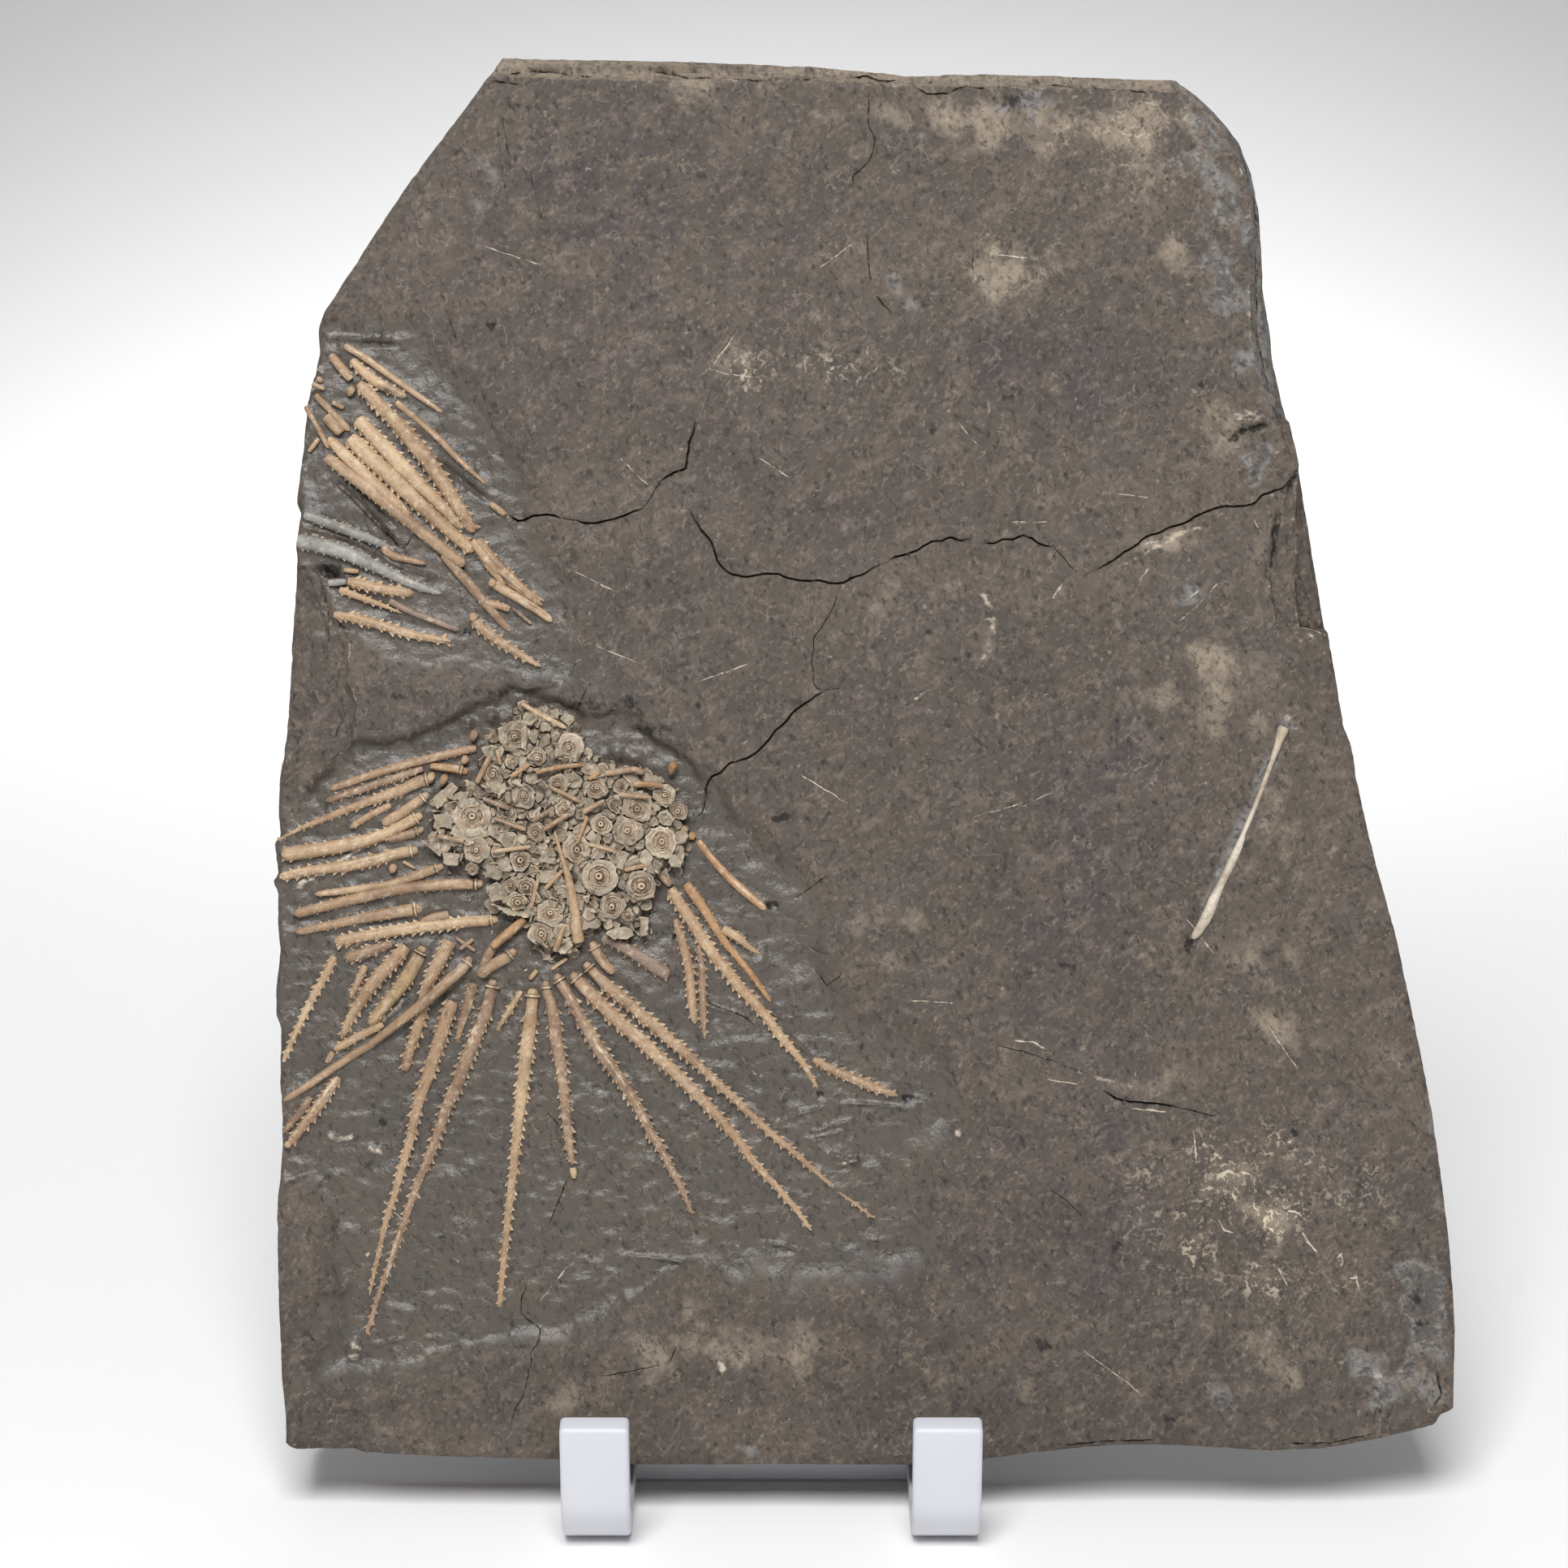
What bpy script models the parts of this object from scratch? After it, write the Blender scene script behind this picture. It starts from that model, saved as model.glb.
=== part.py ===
"""Fossil sea urchin on its slab: a crushed test and thorny spines on dark shale, leaning on a clear bent-sheet easel.

Lengths are metres and +Z is up. Whatever lies on the slab is placed on a square grid laid over the
slab's face, columns counted to the right and rows counted downwards, and every spine is a loft
along a path of (column, row, width) points on that grid.
"""

import math

import bmesh
import bpy
from mathutils import Matrix, Vector

MM = 0.001

# ---------------------------------------------------------------- driving dimensions
GRID = 0.15 * MM  # one grid step, measured on the slab's face
GRID_MIDDLE = 1064.5  # column at the slab's mid-width
GRID_FOOT = 1805  # row of the edge that the slab stands on

LEAN = math.radians(15)  # the slab leans back by this much
SLAB_THICKNESS = 22 * MM
RIM_CHAMFER = 0.9 * MM
CLEARANCE = 0.3 * MM  # between pieces that touch

MAIN_HOLLOW_DEPTH = 2.4 * MM  # cleared stone round the test and its fan of spines
CLUSTER_HOLLOW_DEPTH = 1.4 * MM  # cleared stone round the upper-left cluster
LONE_HOLLOW_DEPTH = 0.9 * MM  # groove of the single spine near the right edge
BANK_WIDTH = 2.6 * MM
CUTTER_RISE = 1.5 * MM  # how far a cutter stands above the face

TEST_RISE = 2.9 * MM  # crest of the crushed test above its hollow's floor
TEST_SLOPE = 1.6 * MM

SPINE_FLATNESS = 0.62  # height over width of the half-buried spines
THORN_LENGTH = 0.32 * MM
THORN_PITCH = 4.6 * MM
THORN_LIP = 0.3 * MM  # along the spine, from a thorn's point back to the shaft
NECK_LENGTH = 4.5 * MM  # smooth stretch above the collar
COLLAR_LENGTH = 0.9 * MM

CRACK_WIDTH = 0.7 * MM
CRACK_DEPTH = 0.9 * MM

SHEET = 5.0 * MM  # thickness of the easel's sheet
EASEL_WIDTH = 76.2 * MM
EASEL_COLUMN = 950.5  # grid column of the easel's middle
HOOK_WIDTH = 12.5 * MM
HOOK_CENTRE = -3.9 * MM  # centre of the hook's bend, measured back from the slab's front edge
HOOK_OUTER_RADIUS = 12.6 * MM
HOOK_LEAN = math.radians(7.4)
HOOK_LENGTH = 15.3 * MM  # flat stretch of the lip
SHELF_CUT = 16.5 * MM  # how far back the gap between the hooks reaches
CORNER_RADIUS = 3.4 * MM  # mid-sheet radius where the shelf turns up into the back rest
REST_LENGTH = 104 * MM  # back rest, along its slope
APEX_RADIUS = 7.0 * MM
LEG_ANGLE = math.radians(8)  # rear leg from the vertical
SHEET_EDGE = 0.8 * MM
BEND_STEPS = 5

# ---------------------------------------------------------------- layout on the grid
SLAB_OUTLINE = (
    (618, 69), (850, 73), (1000, 80), (1120, 91), (1220, 89), (1400, 95), (1451, 97), (1496, 133),
    (1528, 172), (1544, 213), (1552, 251), (1556, 302), (1559, 357), (1567, 395), (1574, 452),
    (1598, 557), (1620, 682), (1637, 781), (1657, 898), (1665, 914), (1668, 932), (1672, 960),
    (1700, 1080), (1720, 1150), (1735, 1220), (1765, 1370), (1785, 1520), (1793, 1640), (1791, 1737),
    (1774, 1744), (1769, 1756), (1701, 1773), (1633, 1785), (1565, 1788), (1439, 1781), (1371, 1781),
    (1294, 1788), (1209, 1799), (1204, 1805), (697, 1805), (692, 1799), (541, 1795), (448, 1790),
    (437, 1785), (362, 1786), (352, 1780), (352, 1749), (343, 1600), (341, 1500), (346, 1415),
    (343, 1335), (344, 1266), (338, 1255), (338, 1220), (343, 1168), (340, 1101), (334, 1087),
    (341, 1078), (336, 1038), (344, 1030), (341, 1005), (347, 929), (354, 847), (361, 743), (365, 686),
    (369, 632), (364, 618), (373, 551), (377, 499), (393, 434), (392, 400), (398, 386), (438, 324),
    (510, 216), (568, 140),
)  # fmt: skip

MAIN_HOLLOW = (
    (300, 1005), (372, 988), (395, 962), (440, 922), (500, 912), (560, 888), (600, 868), (640, 856),
    (690, 862), (730, 882), (785, 893), (815, 918), (845, 940), (870, 975), (884, 1010), (930, 1050),
    (972, 1105), (978, 1150), (990, 1225), (1040, 1285), (1125, 1328), (1142, 1368), (1106, 1402),
    (1108, 1515), (1010, 1545), (870, 1530), (700, 1630), (600, 1645), (470, 1672), (430, 1668),
    (434, 1590), (424, 1500), (395, 1445), (300, 1435),
)  # fmt: skip
CLUSTER_HOLLOW = (
    (320, 408), (500, 412), (562, 490), (630, 590), (648, 670), (692, 738), (700, 775), (688, 832),
    (640, 830), (570, 806), (500, 803), (425, 780), (404, 765), (392, 705), (320, 700),
)  # fmt: skip
LONE_GROOVE = ((1586, 892), (1567, 935), (1545, 985), (1520, 1040), (1500, 1090), (1486, 1125), (1470, 1168))
LONE_GROOVE_WIDTHS = (24, 17, 16, 17, 18, 20, 18)

# Broken rims: the line where the face ends, the line beyond the silhouette, and how far each drops.
RIMS = {
    "top_layer": (
        ((560, 118), (608, 92), (700, 97), (850, 98), (1000, 97), (1110, 104), (1200, 107), (1330, 109), (1462, 112)),
        ((540, 60), (600, 50), (700, 50), (850, 50), (1000, 55), (1110, 60), (1200, 65), (1330, 65), (1480, 70)),
        3.2 * MM, 3.6 * MM,
    ),
    "upper_right_side": (
        ((1440, 100), (1470, 122), (1505, 158), (1532, 215), (1543, 283), (1540, 347), (1540, 404), (1546, 443), (1568, 519)),
        ((1450, 60), (1530, 90), (1570, 150), (1590, 210), (1600, 283), (1602, 347), (1606, 404), (1614, 443), (1630, 519)),
        0.2 * MM, 9.0 * MM,
    ),
    "right_step": (
        ((1600, 576), (1597, 620), (1598, 682), (1598, 747), (1601, 772)),
        ((1660, 560), (1660, 620), (1670, 682), (1690, 747), (1700, 786)),
        2.4 * MM, 5.0 * MM,
    ),
    "right_slope": (
        ((1592, 586), (1583, 610), (1576, 643), (1568, 675), (1563, 712), (1572, 766)),
        ((1616, 586), (1616, 610), (1616, 643), (1616, 675), (1616, 712), (1616, 766)),
        0.2 * MM, 3.4 * MM,
    ),
    "left_ledge": (
        ((396, 702), (408, 730), (421, 770), (430, 800), (428, 840), (440, 868), (436, 912), (392, 952), (366, 982), (352, 1012)),
        ((300, 690), (300, 730), (300, 770), (300, 800), (300, 840), (300, 868), (300, 912), (300, 952), (300, 982), (300, 1012)),
        1.6 * MM, 5.4 * MM,
    ),
}  # fmt: skip

CRACKS = (
    ((622, 636), (654, 636), (693, 638), (720, 645), (773, 634), (813, 596), (845, 576), (858, 520)),
    ((851, 632), (876, 667), (885, 694), (903, 707), (958, 707), (1025, 719), (1079, 699), (1128, 676), (1159, 665),
     (1190, 663), (1212, 671), (1257, 661), (1300, 676), (1322, 710)),
    ((1333, 710), (1369, 690), (1400, 670), (1454, 645), (1503, 625), (1547, 620), (1574, 603)),
    ((1035, 722), (1015, 770), (1003, 800), (1005, 848)),
    ((1037, 847), (1000, 862), (955, 900), (898, 941), (878, 957), (867, 988), (862, 1006)),
    ((650, 1582), (641, 1600), (641, 1621), (665, 1643), (651, 1690), (634, 1738), (627, 1770)),
)  # fmt: skip

TEST_OUTLINE = (
    (596, 908), (618, 889), (645, 864), (672, 872), (704, 888), (722, 918), (744, 938), (797, 945), (826, 972),
    (836, 998), (838, 1016), (850, 1036), (846, 1066), (818, 1080), (806, 1104), (792, 1134),
    (778, 1150), (742, 1144), (722, 1152), (708, 1176), (672, 1184), (656, 1166), (650, 1140),
    (634, 1126), (606, 1118), (606, 1076), (562, 1060), (530, 1046), (528, 1034), (532, 988),
    (552, 968), (590, 962), (592, 930),
)  # fmt: skip

# Plates of the test: column, row, radius in grid steps, corners, tilt in degrees towards the column and row directions.
PLATES = (
    (582, 1006, 24, 6, 6, -4), (586, 1046, 17, 6, -8, 5), (634, 909, 21, 5, 7, 6), (701, 921, 18, 6, -6, 4),
    (735, 971, 15, 6, 8, -6), (646, 982, 17, 5, -7, -8), (786, 996, 20, 6, 6, 5), (774, 1024, 19, 6, -8, 6),
    (818, 1040, 20, 5, 9, -4), (715, 1046, 20, 6, 5, 8), (740, 1080, 22, 6, -5, -5), (790, 1090, 18, 6, 8, 6),
    (756, 1118, 18, 6, -6, 9), (679, 1126, 17, 6, 7, -6), (618, 1098, 14, 5, -9, 6), (552, 1010, 15, 5, 8, 7),
    (552, 1046, 14, 5, -8, -9), (678, 1079, 14, 4, 4, 9), (641, 1058, 15, 6, 9, -5), (668, 1030, 14, 5, -9, 8),
    (624, 952, 15, 5, 8, -8), (688, 962, 15, 5, -7, 8), (668, 1158, 15, 5, 6, 8), (640, 1012, 13, 4, -10, 4),
)  # fmt: skip
PLATE_THICKNESS = 1.5 * MM
PLATE_RISE = 0.45 * MM

# Tubercles: column, row, radius of the boss in grid steps.
TUBERCLES = (
    (582, 1006, 11), (596, 1050, 8), (625, 907, 9), (701, 921, 8), (661, 934, 8), (631, 940, 6), (609, 955, 8),
    (686, 965, 7), (735, 971, 7), (644, 980, 8), (696, 996, 8), (784, 996, 9), (818, 979, 7), (832, 998, 8),
    (742, 1016, 9), (774, 1022, 9), (662, 1025, 7), (814, 1035, 8), (710, 1045, 8), (641, 1061, 10),
    (737, 1081, 11), (790, 1090, 12), (649, 1092, 9), (754, 1115, 9), (638, 1112, 8), (677, 1125, 9),
    (668, 1147, 8), (765, 968, 7),
)  # fmt: skip
TUBERCLE_RISE = 0.75 * MM
TUBERCLE_SIDES = 6
TUBERCLE_ROOT = 0.8 * MM

# Loose rods and slivers on the test: their path with widths, then the height of their underside over the crest in mm.
ROD_ROOT = 0.7 * MM  # sunk below that underside, so that each one is grown to the test
TEST_RODS = (
    ((714, 1158, 13), (711, 1128, 13), (703, 1098, 11), (683, 1022, 4), 0.5),
    ((648, 870, 8), (672, 882, 7), (698, 893, 8), -0.4),
    ((661, 953, 6), (714, 942, 7), 0.5),
    ((755, 952, 8), (786, 948, 9), (797, 951, 9), 0.6),
    ((782, 965, 9), (819, 966, 8), 0.6),
    ((679, 968, 6), (714, 987, 7), 0.5),
    ((605, 1049, 6), (654, 1041, 6), 0.7),
    ((717, 1001, 6), (746, 987, 7), 0.5),
    ((608, 1006, 6), (648, 1021, 7), 0.2),
    ((646, 1130, 10), (628, 1149, 11), (609, 1167, 9), -1.7),
    ((840, 1016, 12), (853, 1031, 10), -1.5),
    ((748, 1146, 12), (762, 1146, 17), (780, 1146, 12), -1.1),
    ((588, 965, 8), (607, 930, 10), 0.2),
    ((793, 1131, 12), (791, 1152, 8), -1.2),
)  # fmt: skip

# Spines by where they lie. Each row: width of the collar or 0 where the base is broken or buried, share of the
# thorns' length, and the path: column, row, width in grid steps, then millimetres lifted over a neighbour.
SPINES = {
    "fan_spine": (MAIN_HOLLOW_DEPTH, (
        (18, 1, ((607, 1208, 14), (588, 1268, 17), (562, 1338, 17), (533, 1416, 12), (506, 1486, 10), (473, 1580, 7), (449, 1647, 4))),
        (0, 1, ((556, 1236, 16), (541, 1282, 16), (515, 1358, 13), (498, 1421, 11), (480, 1492, 8), (461, 1564, 5), (454, 1598, 3))),
        (0, 0.8, ((581, 1219, 11), (572, 1246, 10), (566, 1278, 4))),
        (20, 1, ((656, 1219, 14), (654, 1252, 15), (650, 1285, 17), (643, 1332, 15), (637, 1396, 12), (627, 1494, 9), (615, 1613, 6))),
        (11, 1, ((672, 1212, 9), (677, 1240, 12), (682, 1278, 16), (693, 1338, 13), (700, 1390, 11), (705, 1436, 8))),
        (16, 1, ((684, 1201, 13), (702, 1235, 13), (730, 1276, 14), (757, 1320, 12), (799, 1391, 10), (826, 1441, 9), (853, 1498, 5))),
        (18, 1, ((705, 1199, 13), (735, 1230, 15), (769, 1268, 16), (824, 1319, 14), (884, 1380, 12), (940, 1446, 10), (980, 1490, 8),
                 (1000, 1518, 4))),
        (15, 1, ((721, 1186, 12), (752, 1217, 12), (791, 1254, 13), (831, 1291, 12), (873, 1328, 11), (914, 1363, 10), (984, 1426, 8),
                 (1041, 1475, 5), (1079, 1503, 3))),
        (15, 0, ((578, 1181, 12, 0.5), (550, 1211, 13, 1.8), (509, 1246, 12, 1.8), (472, 1275, 10, 0.4), (433, 1301, 9, 0),
                 (399, 1324, 9, 0), (376, 1340, 9, 0), (349, 1357, 7, 0))),
        (15, 0, ((635, 1170, 12), (617, 1181, 13), (599, 1193, 14), (587, 1203, 13))),
        (0, 1, ((521, 1167, 12), (516, 1177, 16), (502, 1202, 17), (488, 1223, 16), (466, 1249, 14), (457, 1258, 9))),
        (0, 0.5, ((471, 1264, 7), (450, 1275, 8), (430, 1286, 8), (411, 1293, 8))),
        (0, 1, ((498, 1170, 12), (488, 1180, 15), (472, 1196, 16), (456, 1217, 14), (440, 1240, 13), (427, 1264, 9), (422, 1274, 6))),
        (0, 1, ((411, 1180, 9), (401, 1200, 9), (385, 1227, 8), (364, 1271, 7), (347, 1310, 5))),
        (0, 1, ((553, 1161, 14), (544, 1179, 17), (534, 1200, 17), (525, 1219, 13), (516, 1250, 12), (507, 1287, 12), (500, 1319, 11))),
        (0, 1, ((414, 1331, 7), (392, 1363, 11), (376, 1383, 11), (354, 1410, 10))),
        (0, 0.5, ((381, 1353, 6), (366, 1371, 7), (348, 1394, 6))),
        (0, 0.7, ((640, 1223, 6), (628, 1241, 8), (610, 1271, 4))),
        (16, 0.5, ((727, 1159, 12), (735, 1173, 12), (746, 1189, 12), (756, 1199, 7))),
        (0, 0.8, ((744, 1156, 10), (767, 1166, 13), (790, 1180, 15), (813, 1196, 16), (825, 1204, 13))),
    )),
    "right_spine": (MAIN_HOLLOW_DEPTH, (
        (0, 0.8, ((824, 1093, 13), (842, 1118, 14), (867, 1155, 13), (894, 1192, 13), (921, 1224, 12), (950, 1261, 11), (977, 1295, 8),
                  (1008, 1342, 4))),
        (0, 0.3, ((847, 1090, 11), (872, 1124, 12), (893, 1159, 10), (920, 1196, 9), (949, 1236, 6))),
        (0, 0.5, ((902, 1148, 9), (908, 1154, 10), (919, 1163, 8), (938, 1177, 3))),
        (0, 0.5, ((832, 1132, 6), (838, 1150, 9), (843, 1171, 10), (850, 1217, 10), (857, 1260, 7))),
        (0, 0.4, ((860, 1171, 7), (863, 1194, 8), (866, 1228, 8), (868, 1255, 8), (869, 1281, 4))),
        (0, 0.2, ((861, 1039, 8), (879, 1059, 9), (899, 1082, 10), (918, 1100, 10), (943, 1121, 8))),
        (0, 1, ((1003, 1306, 8), (1024, 1318, 9), (1049, 1329, 11), (1073, 1339, 10), (1106, 1351, 6))),
    )),
    "left_spine": (MAIN_HOLLOW_DEPTH, (
        (0, 0.3, ((580, 923, 9), (560, 927, 9), (502, 940, 9), (464, 951, 9), (404, 972, 6))),
        (0, 0.5, ((518, 949, 7), (495, 957, 8), (464, 967, 8), (433, 977, 8), (400, 987, 6))),
        (13, 0, ((576, 951, 11), (565, 948, 10), (548, 945, 10), (533, 944, 7))),
        (15, 1, ((533, 959, 12), (514, 964, 12), (475, 979, 11), (430, 995, 9), (368, 1021, 6), (341, 1035, 4))),
        (13, 0, ((527, 979, 11), (513, 986, 11), (496, 997, 10), (484, 1004, 7))),
        (15, 1, ((519, 1004, 12), (511, 1008, 12), (495, 1018, 11), (475, 1028, 12), (445, 1037, 15), (406, 1046, 16), (368, 1050, 16),
                 (344, 1054, 15))),
        (0, 0.4, ((476, 996, 7), (464, 1002, 7), (452, 1009, 7), (430, 1022, 5))),
        (13, 0, ((520, 1025, 11), (507, 1030, 10), (495, 1036, 8))),
        (15, 1, ((513, 1048, 13), (483, 1054, 13), (445, 1063, 12), (408, 1069, 11), (368, 1075, 11), (343, 1081, 10))),
        (0, 0.4, ((545, 1067, 9), (531, 1072, 10), (505, 1080, 9), (480, 1085, 8), (445, 1092, 7), (388, 1100, 6))),
        (14, 0.6, ((594, 1090, 12), (569, 1090, 12), (540, 1093, 11), (512, 1097, 10), (480, 1103, 9), (445, 1111, 10), (406, 1118, 11),
                   (361, 1128, 10))),
        (17, 0.6, ((519, 1123, 15), (510, 1124, 14), (493, 1127, 13), (464, 1134, 12), (435, 1140, 10), (364, 1154, 8))),
        (0, 1, ((613, 1133, 12), (579, 1138, 12), (521, 1146, 12), (464, 1154, 12), (412, 1163, 12))),
        (0, 1, ((479, 1168, 7), (464, 1172, 9), (445, 1178, 11), (424, 1184, 11))),
    )),
    "cluster_spine": (CLUSTER_HOLLOW_DEPTH, (
        (0, 0, ((424, 425, 8), (455, 444, 9), (489, 469, 8), (519, 490, 7), (544, 507, 5))),
        (0, 0.6, ((434, 445, 9), (446, 458, 10), (464, 472, 10), (482, 482, 9), (498, 489, 7))),
        (0, 0.2, ((493, 499, 7), (514, 517, 8), (540, 540, 8), (560, 560, 7), (597, 594, 4))),
        (0, 0.8, ((447, 478, 11), (459, 491, 14), (478, 511, 17), (496, 530, 18), (530, 572, 18), (559, 619, 16), (579, 652, 11))),
        (0, 0.6, ((592, 674, 10), (604, 689, 11), (620, 703, 10), (636, 717, 8), (652, 728, 6), (668, 737, 4))),
        (0, 0.6, ((444, 518, 12), (459, 536, 14), (478, 553, 14), (500, 573, 14), (520, 595, 12), (535, 613, 8), (547, 629, 6))),
        (0, 0.8, ((434, 543, 12), (450, 557, 15), (471, 576, 15), (496, 599, 14), (519, 621, 14), (540, 641, 12), (558, 658, 11),
                  (571, 668, 8))),
        (0, 0.4, ((409, 545, 8), (427, 562, 9), (450, 581, 9), (470, 598, 8), (485, 611, 6))),
        (0, 0.4, ((403, 566, 9), (432, 588, 9), (462, 611, 9), (489, 633, 10), (519, 656, 10), (540, 677, 10), (560, 699, 10), (579, 721, 10),
                  (590, 735, 8))),
        (0, 0, ((607, 720, 10), (627, 732, 10), (650, 746, 9), (678, 764, 7))),
        (0, 0.6, ((583, 766, 8), (596, 774, 9), (611, 787, 9), (634, 801, 8), (655, 813, 6), (667, 821, 3))),
        (0, 1, ((429, 715, 10), (443, 720, 11), (466, 726, 11), (489, 730, 10), (508, 732, 10))),
        (0, 0, ((487, 747, 6), (496, 751, 7), (542, 769, 7), (566, 777, 6))),
        (0, 1, ((412, 757, 8), (441, 763, 9), (466, 770, 9), (512, 782, 9), (553, 790, 7))),
        (0, 0.4, ((368, 669, 13), (397, 676, 12), (432, 686, 10), (469, 700, 9), (501, 715, 7), (541, 728, 5))),
    )),
    "lone_spine": (LONE_HOLLOW_DEPTH, (
        (11, 0.3, ((1582, 904, 8), (1567, 935, 6), (1545, 985, 6), (1520, 1040, 7), (1500, 1090, 8), (1488, 1120, 9), (1476, 1156, 6))),
    )),
}  # fmt: skip

COLOURS = {
    "shale": ((0.107, 0.094, 0.080), 0.85),
    "fossil spine": ((0.485, 0.275, 0.135), 0.6),
    "fossil test": ((0.330, 0.255, 0.150), 0.7),
    "frosted acrylic": ((0.780, 0.800, 0.870), 0.35),
}


# ---------------------------------------------------------------- tools
def material(name):
    """A plain principled material, made once for each name."""
    found = bpy.data.materials.get(name)
    if found:
        return found
    colour, roughness = COLOURS[name]
    made = bpy.data.materials.new(name)
    made.use_nodes = True
    shader = made.node_tree.nodes["Principled BSDF"]
    shader.inputs["Base Color"].default_value = (*colour, 1)
    shader.inputs["Roughness"].default_value = roughness
    shader.inputs["Metallic"].default_value = 0
    return made


def on_face(column, row, height=0.0):
    """A point of the slab's face, from its grid place and its height over the face."""
    return Vector(((column - GRID_MIDDLE) * GRID, (GRID_FOOT - row) * GRID, height))


def new_object(name, bm, collection, parent, material_name):
    """Moves a bmesh into a named object."""
    bmesh.ops.recalc_face_normals(bm, faces=bm.faces)
    mesh = bpy.data.meshes.new(name)
    bm.to_mesh(mesh)
    bm.free()
    mesh.materials.append(material(material_name))
    made = bpy.data.objects.new(name, mesh)
    made.parent = parent
    collection.objects.link(made)
    return made


def as_cutter(made):
    """A helper shape that Booleans use and renders leave out."""
    made.hide_render = True
    made.display_type = "WIRE"
    return made


def boolean(target, operation, helpers):
    """Adds an exact Boolean with an object or a whole collection."""
    modifier = target.modifiers.new(f"{operation.lower()} {helpers.name}", "BOOLEAN")
    modifier.operation = operation
    modifier.solver = "EXACT"
    if isinstance(helpers, bpy.types.Collection):
        modifier.operand_type = "COLLECTION"
        modifier.collection = helpers
    else:
        modifier.object = helpers


def loft(rings):
    """A closed body through rings of equally many points, capped at both ends."""
    bm = bmesh.new()
    rows = [[bm.verts.new(point) for point in ring] for ring in rings]
    for row, following in zip(rows, rows[1:]):
        for i, vertex in enumerate(row):
            after = (i + 1) % len(row)
            bm.faces.new((vertex, row[after], following[after], following[i]))
    bm.faces.new(reversed(rows[0]))
    bm.faces.new(rows[-1])
    return bm


def outset(points, distance):
    """A closed outline moved outwards by a distance, corner by corner."""
    count = len(points)
    area = sum(points[i].x * points[(i + 1) % count].y - points[(i + 1) % count].x * points[i].y for i in range(count))
    turn = 1 if area > 0 else -1
    moved = []
    for i, point in enumerate(points):
        before = (point - points[i - 1]).normalized()
        after = (points[(i + 1) % count] - point).normalized()
        along = (before + after).normalized()
        normal = Vector((along.y, -along.x, 0)) * turn
        moved.append(point + normal * distance)
    return moved


def prism(low, high):
    """A closed body between two outlines with the same number of points, each flat."""
    return loft([low, high])


# ---------------------------------------------------------------- the slab
def hollow_cutter(name, outline, depth, collection, parent):
    """Clears stone down to a flat floor, with banks that slope up to the face and on above it."""
    floor = [on_face(column, row, -depth) for column, row in outline]
    spread = BANK_WIDTH * (depth + CUTTER_RISE) / depth
    mouth = [point + Vector((0, 0, depth + CUTTER_RISE)) for point in outset(floor, spread)]
    return as_cutter(new_object(name, prism(floor, mouth), collection, parent, "shale"))


def rim_cutter(name, inner, outer, drop, fall, collection, parent):
    """Breaks away the rim: a wall of the height drop at the inner line, then a slope down to the outer line."""
    rings = []
    for (column, row), (far_column, far_row) in zip(inner, outer):
        near = on_face(column, row)
        far = on_face(far_column, far_row)
        rings.append((
            near + Vector((0, 0, CUTTER_RISE)), near - Vector((0, 0, drop)),
            far - Vector((0, 0, fall)), far + Vector((0, 0, CUTTER_RISE)),
        ))  # fmt: skip
    return as_cutter(new_object(name, loft(rings), collection, parent, "shale"))


def groove_cutter(name, path, widths, depth, floor_share, collection, parent):
    """A groove along a path: its mouth as wide as given, its floor a share of that."""
    points = [on_face(column, row) for column, row in path]
    rings = []
    for i, point in enumerate(points):
        ahead = points[min(i + 1, len(points) - 1)]
        behind = points[max(i - 1, 0)]
        along = (ahead - behind).normalized()
        side = Vector((along.y, -along.x, 0))
        mouth = side * widths[i] * 0.5 * (1 + CUTTER_RISE / depth * (1 - floor_share))
        floor = side * widths[i] * 0.5 * floor_share
        up = Vector((0, 0, CUTTER_RISE))
        down = Vector((0, 0, -depth))
        rings.append((point + mouth + up, point + floor + down, point - floor + down, point - mouth + up))
    return as_cutter(new_object(name, loft(rings), collection, parent, "shale"))


def make_slab(collection, cutters, parent):
    """The shale slab: its outline extruded, its rims chamfered, then the cleared and broken stone cut away."""
    back = [on_face(column, row, -SLAB_THICKNESS) for column, row in SLAB_OUTLINE]
    front = [on_face(column, row) for column, row in SLAB_OUTLINE]
    slab = new_object("slab", prism(back, front), collection, parent, "shale")
    chamfer = slab.modifiers.new("rim chamfer", "BEVEL")
    chamfer.width = RIM_CHAMFER
    chamfer.segments = 1
    chamfer.limit_method = "ANGLE"
    chamfer.angle_limit = math.radians(60)

    for name, (inner, outer, drop, fall) in RIMS.items():
        boolean(slab, "DIFFERENCE", rim_cutter(f"rim_{name}", inner, outer, drop, fall, cutters, parent))
    for name, outline, depth in (
        ("main", MAIN_HOLLOW, MAIN_HOLLOW_DEPTH),
        ("cluster", CLUSTER_HOLLOW, CLUSTER_HOLLOW_DEPTH),
    ):
        boolean(slab, "DIFFERENCE", hollow_cutter(f"hollow_{name}", outline, depth, cutters, parent))
    widths = [width * GRID for width in LONE_GROOVE_WIDTHS]
    boolean(slab, "DIFFERENCE", groove_cutter("groove", LONE_GROOVE, widths, LONE_HOLLOW_DEPTH, 0.75, cutters, parent))
    for number, path in enumerate(CRACKS, 1):
        widths = [CRACK_WIDTH] * len(path)
        cutter = groove_cutter(f"crack_{number}", path, widths, CRACK_DEPTH, 0.1, cutters, parent)
        boolean(slab, "DIFFERENCE", cutter)
    return slab


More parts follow.
